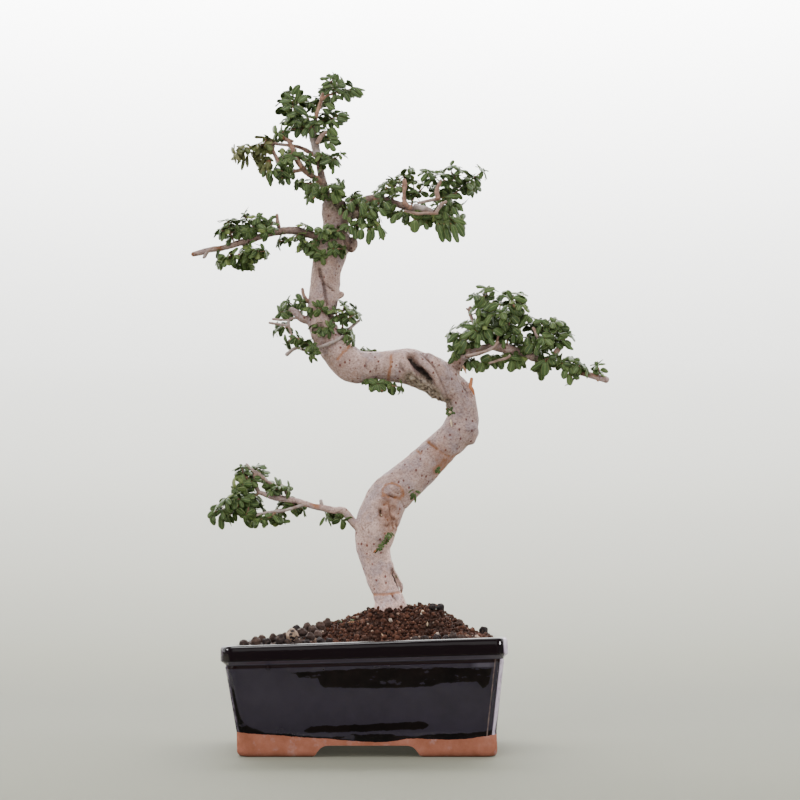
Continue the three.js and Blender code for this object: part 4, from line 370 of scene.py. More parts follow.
# Leaves that stand out from the front: foot x, z, tip x, z, half width, depth y (None: on the trunk), and how
# dark or pale each is, partly its own colour and partly painted light and shade.
SINGLE_LEAVES = [
    (-59.2, 495.7, -54.4, 504.9, 2.5, -16, 0.46), (-57.6, 491.2, -67.4, 493.2, 2.6, -16, 0.41),
    (-57.5, 488.7, -65.5, 485.9, 2.6, -16, 0.36), (-54.3, 489.6, -48.1, 496.1, 3.3, -17, 0.51),
    (-57.2, 492.3, -63.2, 499.3, 1.7, -15, 0.36), (-56, 491.5, -53.4, 500.9, 2, -15, 0.46),
    (-58.9, 487.2, -47.1, 482.3, 3.2, -18, 0.06), (-49.2, 483, -62.6, 481.4, 2.6, -16, 0.21),
    (-60.7, 477.1, -65, 473.9, 1.9, -14, 0.06), (-55.9, 477.6, -51.9, 471.9, 2.5, -15, 0.02),
    (-58.3, 483.3, -56.7, 477.2, 2.3, -15, 0.02), (-95, 453.7, -106.4, 448.9, 1.5, -8, 0.61),
    (-91.2, 457.3, -103, 456.9, 1.2, -7, 0.46), (-96.5, 452.9, -102, 444.4, 1.3, -8, 0.46),
    (-95.3, 451.7, -98, 440.3, 1.4, -8, 0.56), (-93.8, 452.9, -93.9, 441.9, 1.4, -8, 0.51),
    (-89.9, 455.4, -85.4, 445.4, 2, -8, 0.56), (-79.4, 450.2, -83.4, 440.8, 2, -9, 0.51),
    (-77.7, 442.9, -82.9, 434.1, 1.5, -9, 0.41), (-76.6, 441.8, -76.7, 426.4, 2, -10, 0.46),
    (-73.7, 440.1, -69.1, 430.8, 2.6, -10, 0.51), (-84.7, 455.4, -79.5, 452.5, 1.4, -8, 0.46),
    (-80, 459.5, -83.1, 457, 1.3, -8, 0.26), (-61.5, 468.5, -71.1, 462.4, 2.3, -13, 0.02),
    (-65.5, 468, -67.4, 460.7, 1.9, -12, 0.16), (-45.6, 471.9, -50.3, 464.2, 2.3, -15, 0.16),
    (-43.3, 471.9, -43, 463.4, 2, -15, 0.21), (-39, 476.8, -44.5, 474.4, 2.5, -15, 0.06),
    (-39.3, 475.2, -38.9, 467.9, 2.5, -15, 0.06), (-53.6, 472.3, -55.9, 464.1, 2.3, -14, 0.02),
    (-50.5, 478.8, -46.5, 475.5, 2.2, -14, 0.02), (-50.6, 454.3, -53.7, 448.6, 2.2, -9, 0.56),
    (-47.4, 450.2, -39.1, 444.5, 2.2, -9, 0.31), (-45.8, 445.3, -43.4, 437.2, 2.2, -9, 0.16),
    (-64.8, 453.4, -61.6, 447.7, 2.5, -9, 0.21), (-69.7, 455.4, -67.7, 452.9, 1.7, -8, 0.02),
    (-65.5, 445, -69, 443.4, 1.7, -10, 0.66), (-61.5, 443.4, -57.5, 437.7, 2, -10, 0.46),
    (-58.3, 437.7, -57.4, 431.2, 1.9, -10, 0.46), (-66.2, 437.7, -61, 429.6, 2, -10, 0.36),
    (-54.2, 432.6, -55.7, 423.3, 2, -11, 0.16), (-51.1, 430.1, -49, 422, 2, -11, 0.21),
    (-47.1, 428.5, -46.2, 419.6, 1.7, -11, 0.26), (-42.4, 426.1, -39.2, 417.2, 2.2, -11, 0.26),
    (-43.1, 420.4, -44.6, 413.8, 1.7, -11, 0.16), (-30.4, 423.9, -21.2, 427.1, 2.9, -13, 0.16),
    (-28, 420.4, -21.7, 413, 3.6, -14, 0.61), (-29.9, 507.9, -26, 513.9, 1.5, -16, 0.36),
    (-29.3, 510.3, -36.7, 510.3, 1.8, -16, 0.36), (-28.6, 507.6, -35.5, 505.1, 1.6, -17, 0.46),
    (-27.6, 503.6, -34.3, 503.6, 1.8, -17, 0.61), (-24.8, 507.6, -23.1, 512.3, 1.6, -16, 0.46),
    (-24.8, 509.6, -16.7, 505.3, 2.1, -16, 0.26), (-24.1, 505.6, -17.7, 502.8, 2.1, -17, 0.02),
    (-27, 502.6, -33.8, 499.2, 1.9, -16, 0.02), (-26.1, 502.3, -18.2, 499.1, 1.8, -15, 0.21),
    (-26.1, 498.3, -27.7, 492.2, 1.8, -13, 0.56), (-24.2, 498, -21.5, 494.1, 1.5, -14, 0.36),
    (-21, 502.7, -19, 494.3, 1.3, -14, 0.36), (-15.2, 502.3, -2.6, 502.7, 1.6, -14, 0.46),
    (-14.5, 502, -5, 495.9, 2.7, -14, 0.26), (-11, 503.6, -3.9, 497.5, 1.8, -15, 0.51),
    (-18.9, 499.6, -13.5, 492.5, 2.6, -15, 0.02), (-13.9, 500.3, -11.2, 495.5, 1.5, -13, 0.46),
    (-33.9, 491.3, -26.2, 486.2, 2.6, -14, 0.61), (-35.1, 487.7, -30.6, 482.4, 2, -13, 0.21),
    (-25, 481.4, -14.8, 482, 2, -14, 0.21), (-25, 480, -14.3, 478.9, 1.6, -14, 0.46),
    (-25.6, 477.7, -16, 476.4, 2.2, -15, 0.02), (-25, 476.1, -19.8, 473.7, 1.9, -14, 0.02),
    (-29.2, 478.1, -21.3, 472.4, 1.9, -14, 0.51), (-30.1, 471.1, -23.6, 465.6, 2.6, -15, 0.66),
    (-33.1, 473.4, -27, 478.4, 1.9, -13, 0.41), (-31, 462.8, -23, 463, 2.2, -14, 0.61),
    (-29.7, 461.5, -23.3, 458.9, 2.2, -14, 0.46), (-29.7, 458.9, -25.2, 453.4, 2.5, -15, 0.61),
    (-33.7, 460.9, -30.2, 454.5, 1.8, -14, 0.46), (-27.1, 446.3, -35.7, 443, 2.9, -13, 0.02),
    (-29.1, 448.3, -34.9, 447.9, 1.9, -12, 0.11), (-25.9, 446.3, -21.6, 440.2, 1.4, -12, 0.36),
    (-25.9, 441, -27.4, 435.6, 1.4, -12, 0.41), (-36.2, 453.5, -32.8, 449.5, 1.2, -12, 0.06),
    (88.8, 340.4, 96, 345.9, 2.5, -14, 0.59), (89.9, 339.1, 83.3, 330.7, 3.2, -14, 0.54),
    (87.4, 336.3, 89.9, 332, 2.2, -13, 0.64), (92.9, 339.4, 96.4, 341.1, 2.2, -13, 0.54),
    (109.9, 337.4, 122, 336.6, 3.5, -14, 0.54), (110.3, 335.5, 107.6, 342.6, 2.2, -13, 0.44),
    (108.6, 332.9, 117.7, 327.6, 2.4, -13, 0.14), (106.9, 331.1, 115.1, 324.4, 2.4, -13, 0.29),
    (106.6, 337.8, 101.5, 340.4, 1.7, -12, 0.24), (101.6, 332.3, 90.8, 327.7, 3.3, -16, 0.44),
    (97.9, 333.5, 87.7, 329.6, 2.4, -14, 0.24), (96, 324.1, 86, 314.8, 2.5, -16, 0.69),
    (99.6, 324.5, 89.4, 323.6, 2.4, -14, 0.34), (109.7, 323.6, 114.1, 317.4, 3.5, -14, 0.04),
    (102.9, 320.2, 106.2, 312.4, 2.7, -14, 0.29), (123.4, 326.2, 116.3, 314.1, 2.4, -13, 0.59),
    (118.3, 324.7, 126.1, 320.8, 2.8, -13, 0.54), (132.4, 320.5, 139.1, 315.8, 2.7, -12, 0.29),
    (139.6, 320.5, 146.5, 317.4, 1.5, -12, 0.44), (134.5, 319.2, 127.3, 320.1, 2.2, -12, 0.34),
    (133.2, 317.5, 129.1, 310.2, 1.7, -12, 0.34), (135.7, 317.5, 136.5, 311.5, 2.4, -12, 0.29),
    (143.9, 305.1, 133.7, 309.1, 3.3, -14, 0.39), (143.4, 305.1, 131.7, 298.5, 2.2, -14, 0.64),
    (144.3, 304.7, 152.1, 309.1, 2.5, -14, 0.59), (147.2, 306, 154, 295.9, 2, -14, 0.44),
    (142.7, 303.1, 147.3, 299.7, 2.4, -13, 0.34), (141.8, 303.6, 138.4, 298.8, 2.2, -13, 0.24),
    (83.7, 311.6, 70.7, 307.8, 2.7, -16, 0.59), (82.5, 313.1, 74.4, 315.8, 2.5, -15, 0.44),
    (83.2, 311.2, 79.2, 305.9, 2.2, -16, 0.29), (83.7, 309.9, 85, 302.9, 2.7, -16, 0.49),
    (84.6, 311.4, 90, 305.4, 2.4, -15, 0.14), (71, 310.5, 60.7, 304.1, 2.5, -14, 0.24),
    (76.1, 305.4, 67.8, 294.9, 4.3, -15, 0.19), (69, 307.4, 66.4, 299.7, 2.1, -13, 0.14),
    (89.2, 313.1, 95.1, 307.1, 4, -15, 0.34), (95.1, 312.2, 102.8, 310.1, 3.6, -15, 0.34),
    (92.6, 307.1, 95.6, 300, 2.1, -15, 0.44), (83.3, 303.8, 84.5, 298.7, 2.7, -14, 0.34),
    (109.7, 307.2, 117.1, 305.9, 1.9, -12, 0.49), (103.7, 305.7, 104.5, 298.8, 1.6, -13, 0.64),
    (111.4, 290.7, 108.4, 281.7, 3.3, -10, 0.64), (113.1, 291.2, 116.9, 283.3, 2.4, -10, 0.59),
    (116.5, 291.8, 121.3, 284.9, 1.4, -10, 0.54), (136.7, 290.4, 125.4, 281.4, 2.2, -12, 0.29),
    (135.9, 289, 134.5, 277.8, 3.3, -13, 0.44), (138.8, 291.3, 142.5, 287, 3.2, -12, 0.24),
    (125.7, 301.8, 122.2, 294.6, 3.3, -13, 0.14), (122.5, 307.6, 121.1, 299.9, 2.7, -12, 0.14),
    (129.1, 300.6, 130, 293.5, 2.4, -13, 0.19), (102.2, 291.1, 103.4, 284, 2.1, -8, 0.49),
    (88.2, 289.3, 86.7, 281.1, 3.5, -8, 0.64), (96.3, 291.1, 97.9, 284, 2.4, -8, 0.49),
    (75.8, 288.3, 79.6, 283.2, 2.4, -9, 0.24), (79.2, 288.8, 82.4, 284.9, 1.7, -9, 0.29),
    (68.2, 294.3, 62.6, 287.6, 2.1, -9, 0.09), (154.1, 285.9, 156.5, 279.3, 3, -11, 0.59),
    (152.7, 279.5, 154.7, 270.7, 2.5, -11, 0.74), (152.3, 282.9, 148, 276.9, 2.8, -11, 0.54),
    (156.1, 277.7, 160.7, 276, 2.1, -11, 0.44), (161.5, 283.2, 167.6, 281.9, 1.7, -9, 0.49),
    (-92.3, 207.3, -97.5, 200.3, 2.5, -12, 0.44), (-89.3, 206.4, -91.7, 201.7, 1.6, -11, 0.24),
    (-88.1, 202.3, -86.3, 193.4, 2.6, -13, 0.49), (-90.4, 200.4, -91.5, 194.8, 1.6, -12, 0.34),
    (-94.3, 193.7, -99.3, 187.5, 2.2, -12, 0.24), (-92.3, 194.3, -89.7, 189.8, 1.5, -11, 0.24),
    (-105.4, 184.2, -110.1, 181.6, 1.8, -12, 0.34), (-103.8, 184.2, -99.7, 179.1, 2, -12, 0.29),
    (-107.9, 177.9, -116.5, 175.7, 2.7, -14, 0.29), (-112.4, 178.6, -116.1, 176.8, 2.1, -12, 0.29),
    (-109.5, 173.5, -108.6, 161.4, 2.5, -15, 0.64), (-116, 174.2, -116.9, 165.1, 2.4, -13, 0.24),
    (-115.5, 173.1, -114.4, 165.9, 1.2, -12, 0.24), (-107.2, 173.6, -100.8, 167.3, 2.7, -14, 0.44),
    (-107.8, 171.7, -104.6, 166.6, 1.8, -14, 0.44), (-91.7, 173.6, -88.4, 161.5, 2.9, -14, 0.39),
    (-88.7, 174.9, -86.6, 169, 1.8, -13, 0.34), (-93.9, 187.3, -91.4, 183, 2.6, -12, 0.19),
    (-85.1, 184.2, -89.7, 180.4, 2.5, -13, 0.24), (-85.1, 185.4, -79.9, 177.7, 3.2, -13, 0.29),
    (-88.8, 176.8, -88.1, 173.1, 1.9, -12, 0.24), (-83.4, 172.1, -82.8, 162.3, 2.6, -13, 0.64),
    (-80, 170.6, -78.7, 165.9, 1.4, -12, 0.59), (-77.4, 170.6, -75.5, 164.9, 1.5, -12, 0.54),
    (-73.2, 170, -70.2, 165, 1.8, -12, 0.54), (-68.9, 171.2, -65.6, 165.9, 2.1, -12, 0.54),
    (-66.4, 172.4, -63.3, 168.1, 1.5, -12, 0.44), (-63.5, 173.8, -60.6, 171, 1.5, -10, 0.49),
    (-61.2, 193.6, -56.2, 191.1, 2, -10, 0.49), (-67.5, 191.3, -64.3, 186.9, 2, -9, 0.24),
    (-76.9, 195, -73.1, 191.3, 2.6, -9, 0.34), (-82.5, 198.8, -78.5, 196.6, 1.2, -9, 0.44),
    (-83.6, 207.5, -85.7, 205, 1.4, -9, 0.44), (-82, 206.9, -79.8, 203.5, 1.6, -9, 0.34),
    (-58.1, 185.7, -54.3, 184.1, 1.5, -9, 0.29), (-57.3, 183, -51.3, 179, 2.7, -11, 0.44),
    (-48.5, 179.9, -51.6, 172.7, 2.4, -11, 0.34), (-57.1, 176.8, -53.3, 172.9, 2, -12, 0.64),
    (-48.6, 181.2, -45.8, 176.9, 2.1, -10, 0.19), (-60.4, 181.9, -66.7, 180, 1.8, -10, 0.14),
    (-79.1, 177.5, -75.2, 173.7, 1.6, -10, 0.29), (-30.7, 170.5, -34.3, 164.2, 1.2, -20, 0.44),
    (23, 404.2, 19, 395.7, 2.4, -13, 0.54), (27.1, 405.2, 22.7, 398.8, 2.3, -12, 0.39),
    (36.2, 399, 35.8, 388.5, 3.7, -16, 0.74), (41, 398.9, 39.9, 393.6, 1.8, -13, 0.34),
    (43.6, 396.6, 45.9, 390.5, 1.9, -13, 0.44), (54.2, 396.1, 58.7, 381, 2.7, -15, 0.44),
    (58.5, 395.1, 64.1, 381.1, 2.8, -16, 0.44), (63.3, 395.6, 69.2, 380.1, 2.8, -17, 0.54),
    (66.6, 395.9, 75.8, 386.7, 3.1, -16, 0.34), (63.9, 398.4, 74.8, 395.2, 2.7, -15, 0.59),
    (54.2, 398.9, 53.8, 389.9, 2, -13, 0.34), (65.3, 409.5, 68.8, 403.5, 3, -12, 0.24),
    (67.6, 411.6, 73.9, 406.5, 1.4, -12, 0.34), (58, 416.8, 70.9, 416, 2, -11, 0.29),
    (-4.8, 391.4, -5.1, 382.8, 3.1, -16, 0.39), (-9.4, 390.9, -9.4, 383.2, 2.3, -15, 0.24),
    (1.1, 391.1, 0.9, 378.7, 2.3, -17, 0.44), (3.8, 392.9, 4.4, 382.8, 2, -16, 0.49),
    (7.5, 394.4, 11.2, 382.3, 2.2, -16, 0.64), (8, 394.6, 12.6, 387, 1.4, -15, 0.34),
    (-1.6, 401.4, 7.2, 400, 1.8, -12, 0.24), (-4.5, 400.7, -6.7, 395.4, 2.3, -12, 0.09),
    (-13.1, 412.1, -12.3, 404.5, 3, -17, 0.14), (-13, 416, -15.9, 412.9, 2, -14, 0.09),
    (-5.3, 416, -7.5, 413.3, 2, -14, 0.14), (-6.6, 411.8, -0.8, 405.4, 2.2, -17, 0.39),
    (-5.1, 408.9, -3.1, 402, 2.2, -18, 0.24), (-15.7, 405.9, -17.9, 397.5, 2, -18, 0.39),
    (-19.8, 407.6, -22, 401.6, 1.6, -17, 0.44), (1.4, 407.2, 5.8, 400.8, 2, -13, 0.64),
    (4.2, 418.5, 9.8, 417.4, 1.8, -10, 0.14), (15.3, 421.3, 10.9, 419.4, 1.8, -11, 0.04),
    (8, 407.2, 14.6, 403, 2.7, -13, 0.44), (12.4, 413.2, 17.5, 407.2, 3.1, -13, 0.24),
    (21.9, 424.3, 25.6, 421.6, 2.7, -14, 0.64), (-26.7, 423.8, -17.3, 419.1, 2.7, -13, 0.74),
    (-24.4, 420, -21.5, 413.8, 2.3, -13, 0.69), (-20.8, 429.4, -19, 423.3, 2.3, -12, 0.14),
    (-20.5, 377.6, -19.4, 368.3, 2.2, None, 0.39), (-24.2, 376.9, -27, 370, 1.8, None, 0.54),
    (-19, 379.1, -17.4, 371.3, 1.5, None, 0.44), (-27.9, 391.9, -27.1, 384.4, 1.8, None, 0.54),
    (34.6, 189.8, 27.1, 190.5, 2.6, None, 0.29), (35, 189.8, 31, 193.5, 1.6, None, 0.39),
    (35.5, 189, 33, 183.2, 1.8, None, 0.34), (36.1, 189, 37.5, 180.9, 0.9, None, 0.39),
    (36.1, 189.8, 40.5, 188.2, 1.1, None, 0.44), (34.6, 188, 30.7, 186.8, 1.5, None, 0.24),
    (16.7, 158.7, 13.2, 156.4, 1.4, None, 0.29), (16.7, 158.7, 16, 154, 1.5, None, 0.39),
    (17.2, 158.7, 18.6, 154.4, 1.2, None, 0.44), (17.4, 159, 21.4, 156.1, 0.6, None, 0.39),
    (9.6, 146.6, 7.6, 145.9, 0.9, None, 0.44), (9.6, 147, 12.9, 148, 0.5, None, 0.44),
    (9.3, 145.9, 5.7, 143.3, 0.7, None, 0.04), (9.6, 146.5, 10.1, 145, 0.9, None, 0.69),
]
# Bare twigs in front of the leaves, as points, radii and age.
FRONT_TWIGS = [
    ([(-40.4, -10, 480.1), (-37, -10, 490.7), (-35, -10, 498.5)], [1.6, 1.4, 1.4], 0.05),
    ([(-35.2, -10, 494.4), (-31.8, -10, 497.3), (-27.9, -10, 498.3)], [1, 0.8, 0.7], 0.05),
    ([(-43.2, -3, 471.7), (-41.9, -3, 462.6), (-39.4, -3, 452)], [3, 3.2, 2.9], 0.9),
    ([(-32.5, -9, 468.5), (-36, -9, 465.3), (-38.8, -9, 460)], [1.4, 1.7, 1.8], 0.3),
    ([(-61.5, -10, 462.1), (-58, -10, 454), (-56, -10, 447.4), (-51.6, -10, 440.9)], [1.5, 1.6, 1.6, 1.9],
     0.1),
    ([(-66.4, -10, 465), (-61.7, -10, 462.5), (-58.1, -10, 460.9)], [1, 1.1, 1.1], 0.3),
    ([(-60.6, -8, 458.2), (-69.7, -8, 459.1), (-75.3, -8, 460.7), (-82.4, -8, 458.2), (-87.5, -8, 456.6),
     (-96.5, -8, 452.1)], [1.1, 1.2, 1.5, 1.3, 1, 0.7], 0.45),
    ([(-75.2, -9, 458.3), (-71.5, -9, 448.6), (-68.3, -9, 442.1), (-58.4, -9, 438)], [1.2, 1.2, 1.1, 1.3], 1),
    ([(28.2, -15, 428.5), (29.3, -15, 424), (27.8, -15, 417.2), (28.5, -15, 410.4), (32.9, -15, 406.6)],
     [1.5, 1.3, 1.2, 1.3, 1.8], 0.1),
    ([(36.7, -11, 408.8), (44.8, -11, 406.9), (49.2, -11, 405.4)], [2.1, 2.1, 1.7], 0.95),
    ([(28.5, -13, 404.9), (37.4, -13, 402.7), (44.7, -13, 403), (53.5, -13, 402.7)], [0.9, 1.2, 1.3, 1.1],
     0.3),
    ([(52.9, -13, 403.8), (56.5, -13, 409.4), (60.5, -13, 412.1)], [1.3, 1.3, 1.1], 0.4),
    ([(56.6, -12, 429.4), (53.6, -12, 421), (54.3, -12, 415)], [0.9, 1.7, 1.9], 0.2),
    ([(38.9, -10, 411.7), (47.7, -10, 413.6), (55.1, -10, 415.1)], [1, 1.3, 1.4], 0.6),
    ([(75.6, -13, 292), (86.7, -13, 294.6), (95.2, -13, 298), (99.4, -13, 302.3)], [1.1, 1.2, 1.2, 1], 0.5),
    ([(92.8, -9, 287), (99.6, -9, 289.2), (106.4, -9, 290.9), (108.5, -9, 292.6)], [0.8, 0.9, 1, 1], 0.4),
    ([(126.7, -8, 314.3), (129.6, -8, 308.3), (132.5, -8, 302.7)], [1.1, 1.1, 1.2], 0.4),
    ([(143.1, -8, 295.8), (147.2, -8, 300.7)], [1.5, 1.5], 0.3),
    ([(-82.4, -13, 172.1), (-75, -13, 173), (-67.6, -13, 174.2), (-58.9, -13, 176.1)], [0.8, 1.1, 1.3, 1.3],
     0.35),
    ([(-84.2, -12, 202.3), (-84, -12, 196.1), (-82.5, -12, 190.4), (-79.6, -12, 187.6)], [1.2, 1.1, 1.1, 1.3],
     0.3),
    ([(-90.7, -10, 210), (-86.9, -10, 205.6), (-83.1, -10, 203.1), (-75.6, -10, 197.4), (-68, -10, 192.8)],
     [0.8, 1.2, 1.8, 1.3, 1.2], 0.45),
    ([(-97.6, -12, 183.6), (-95.7, -12, 179.9), (-93.8, -12, 175.5)], [1.1, 1.3, 1.2], 0.35),
    ([(-76.2, -9, 187.5), (-69.9, -9, 186), (-63.7, -9, 185), (-58, -9, 183.2)], [1.2, 1.7, 1.7, 1.5], 0.95),
    ([(-63.8, -9, 194.1), (-61.5, -9, 190), (-59.3, -9, 185)], [1, 1.1, 1.2], 0.6),
    ([(-100.1, -11, 176.8), (-95.1, -11, 175.3), (-90.1, -11, 174.3)], [1, 1.1, 1.1], 0.35),
]


# ---------------------------------------------------------------- numbers and meshes


def seeded_random(seed):
    """Repeatable numbers from 0 to 1, the same as in the CAD source."""
    state = seed
    while True:
        state = (state * 1664525 + 1013904223) % 2 ** 32
        yield state / 2 ** 32


def lattice(i, j, k, seed):
    """A repeatable number from -1 to 1 for each corner of a grid."""
    n = (i * 73856093) ^ (j * 19349663) ^ (k * 83492791) ^ (seed * 2654435)
    n = (n ^ (n >> 13)) & 0x7FFFFFFF
    n = (n * 1274126177) & 0x7FFFFFFF
    n = (n ^ (n >> 15)) & 0xFFFFFF
    return n / 0x7FFFFF - 1


def noise(points, size, seed):
    """Smooth noise from -1 to 1 with features of the given size."""
    scaled = np.asarray(points, float) / size
    cell = np.floor(scaled).astype(np.int64)
    part = scaled - cell
    part = part * part * (3 - 2 * part)
    total = 0
    for corner in range(8):
        step = np.array([corner & 1, corner >> 1 & 1, corner >> 2 & 1])
        weight = np.prod(np.where(step, part, 1 - part), axis=1)
        total = total + weight * lattice(*(cell + step).T, seed)
    return total


def unit(v):
    return v / np.maximum(np.linalg.norm(v, axis=-1, keepdims=True), 1e-12)


def square_to(up, along):
    """The part of a direction that is square to another."""
    return unit(up - along * along.dot(up))


def rolled(up, along, angle):
    return up * math.cos(angle) + np.cross(along, up) * math.sin(angle)


def smooth_step(t):
    s = np.clip(t, 0, 1)
    return s * s * (3 - 2 * s)


def lean(points):
    """Points of the level pot, moved to where its lean puts them."""
    points = np.array(points, float)
    x, z = points[:, 0].copy(), points[:, 2].copy()
    points[:, 0] = x + LEAN * (POT_HEIGHT - z)
    points[:, 2] = z * (1 + LEAN * x / POT_HEIGHT)
    return points


def new_object(name, points, faces, material=None, **attributes):
    """A mesh object from points in millimetres and arrays of triangles or quads."""
    places = (np.asarray(points, float) + (POT_MIDDLE, 0, 0)) / 1000
    groups = [np.asarray(f, np.int32) for f in (faces if isinstance(faces, list) else [faces])]
    mesh = bpy.data.meshes.new(name)
    mesh.vertices.add(len(places))
    mesh.vertices.foreach_set("co", places.astype(np.float32).ravel())
    sizes = np.concatenate([np.full(len(g), g.shape[1], np.int32) for g in groups])
    corners = np.concatenate([g.ravel() for g in groups])
    mesh.loops.add(len(corners))
    mesh.loops.foreach_set("vertex_index", corners)
    mesh.polygons.add(len(sizes))
    mesh.polygons.foreach_set("loop_start", (np.cumsum(sizes) - sizes).astype(np.int32))
    mesh.polygons.foreach_set("use_smooth", np.ones(len(sizes), bool))
    mesh.update(calc_edges=True)
    mesh.validate()
    for key, values in attributes.items():
        values = np.asarray(values, np.float32)
        single = values.ndim == 1
        layer = mesh.attributes.new(key, "FLOAT" if single else "FLOAT_VECTOR", "POINT")
        layer.data.foreach_set("value" if single else "vector", values.ravel())
    if material:
        mesh.materials.append(material)
    made = bpy.data.objects.new(name, mesh)
    bpy.context.scene.collection.objects.link(made)
    return made


def vectors_of(items, key):
    """A vector of each of a mesh's vertices, or of their normals."""
    values = np.zeros(len(items) * 3, np.float32)
    items.foreach_get(key, values)
    return values.reshape(-1, 3)


def joined(parts):
    """Several (points, faces) with the same face size as one."""
    points, faces, count = [], [], 0
    for p, f in parts:
        points.append(np.asarray(p, float))
        faces.append(np.asarray(f) + count)
        count += len(p)
    return np.concatenate(points), np.concatenate(faces)


def numbered(parts):
    """Several (points, faces, number) as one, with the number of each point."""
    numbers = [np.full(len(part[0]), part[2]) for part in parts]
    return *joined([part[:2] for part in parts]), np.concatenate(numbers)


def closed_skin(rings, below, above):
    """Quads between rings of one size, and triangles from the end rings to a middle point each."""
    size = len(rings[0])
    k = np.arange(size)
    after = (k + 1) % size
    quads = [np.stack([n * size + k, n * size + after, (n + 1) * size + after, (n + 1) * size + k], 1)
             for n in range(len(rings) - 1)]
    points = np.vstack([*rings, [below, above]])
    foot, head = len(points) - 2, len(points) - 1
    last = foot - size
    caps = [np.stack([np.full(size, foot), after, k], 1),
            np.stack([np.full(size, head), last + k, last + after], 1)]
    return points, [np.concatenate(quads), np.concatenate(caps)]


def curve_points(control, count=200):
    """Points of a Catmull-Rom curve with even steps of its parameter."""
    p = np.asarray(control, float)
    p = np.vstack([2 * p[0] - p[1], p, 2 * p[-1] - p[-2]])
    spans = len(p) - 3
    t = np.linspace(0, spans, count + 1)
    k = np.minimum(t.astype(int), spans - 1)
    u = (t - k)[:, None]
    a, b, c, d = p[k], p[k + 1], p[k + 2], p[k + 3]
    start, end = (c - a) / 2, (d - b) / 2
    return b + start * u + (3 * (c - b) - 2 * start - end) * u ** 2 + (2 * (b - c) + start + end) * u ** 3


class Curve:
    """A curve read by its share of length."""

    def __init__(self, control):
        self.points = curve_points(np.asarray(control, float)[:, :3])
        self.along = np.concatenate([[0], np.cumsum(np.linalg.norm(np.diff(self.points, axis=0), axis=1))])
        self.length = self.along[-1]

    def at(self, share):
        s = np.atleast_1d(share) * self.length
        return np.stack([np.interp(s, self.along, self.points[:, k]) for k in range(3)], 1)

    def tangent(self, share):
        s = np.atleast_1d(share)
        return unit(self.at(np.minimum(s + 0.01, 1)) - self.at(np.maximum(s - 0.01, 0)))


def tube(centres, radii, sides, round_ends=True):
    """A closed tube of triangles round a row of centres."""
    centres, radii = np.asarray(centres, float), np.asarray(radii, float)
    if round_ends:
        head, tail = unit(centres[0] - centres[1]), unit(centres[-1] - centres[-2])
        centres = np.vstack([centres[0] + head * radii[0] * 0.7, centres[0] + head * radii[0] * 0.4, centres,
                             centres[-1] + tail * radii[-1] * 0.4, centres[-1] + tail * radii[-1] * 0.7])
        radii = np.concatenate([radii[0] * np.array((0.55, 0.87)), radii, radii[-1] * np.array((0.87, 0.55))])
    tangents = unit(np.gradient(centres, axis=0))
    normal = np.array([0.0, 1.0, 0.0])
    angles = np.arange(sides) * 2 * math.pi / sides
    rings = []
    for centre, tangent, radius in zip(centres, tangents, radii):
        normal = square_to(normal, tangent)
        across = np.cross(tangent, normal)
        rings.append(centre + radius * (np.cos(angles)[:, None] * normal + np.sin(angles)[:, None] * across))
    points = np.vstack(rings + [centres[:1], centres[-1:]])
    k = np.arange(sides)
    after = (k + 1) % sides
    faces = []
    for level in range(len(rings) - 1):
        a, b = level * sides + k, level * sides + after
        faces += [np.stack([a, a + sides, b + sides], 1), np.stack([a, b + sides, b], 1)]
    last = (len(rings) - 1) * sides
    faces.append(np.stack([np.full(sides, len(points) - 2), k, after], 1))
    faces.append(np.stack([np.full(sides, len(points) - 1), last + after, last + k], 1))
    return points, np.concatenate(faces)[:, ::-1]


def ball(detail):
    """A round ball of triangles with a radius of 1."""
    mesh = bpy.data.meshes.new("ball")
    maker = bmesh.new()
    bmesh.ops.create_icosphere(maker, subdivisions=detail, radius=1)
    maker.to_mesh(mesh)
    maker.free()
    points = np.array([v.co for v in mesh.vertices])
    faces = np.array([p.vertices for p in mesh.polygons])
    bpy.data.meshes.remove(mesh)
    return points, faces


def turned(random):
    """A random turn as a matrix."""
    w, x, y, z = unit(random.normal(size=4))
    return np.array([
        [1 - 2 * (y * y + z * z), 2 * (x * y - z * w), 2 * (x * z + y * w)],
        [2 * (x * y + z * w), 1 - 2 * (x * x + z * z), 2 * (y * z - x * w)],
        [2 * (x * z - y * w), 2 * (y * z + x * w), 1 - 2 * (x * x + y * y)],
    ])


def lumps_of(places, sizes, detail, random, rough, flat):
    """Rough lumps at the given places, each turned its own way, with a number for each."""
    base, faces = ball(detail)
    points, triangles, own = [], [], []
    for k, (place, size) in enumerate(zip(places, sizes)):
        shape = base * (1 + rough * noise(base * 1.7 + 9.3 * k, 1, 5)[:, None])
        shape = shape * random.uniform(flat, 1, 3) @ turned(random).T
        points.append(np.asarray(place) + shape * size / 2)
        triangles.append(faces + k * len(base))
        own.append(np.full(len(base), random.random()))
    return np.concatenate(points), np.concatenate(triangles), np.concatenate(own)


# ---------------------------------------------------------------- materials


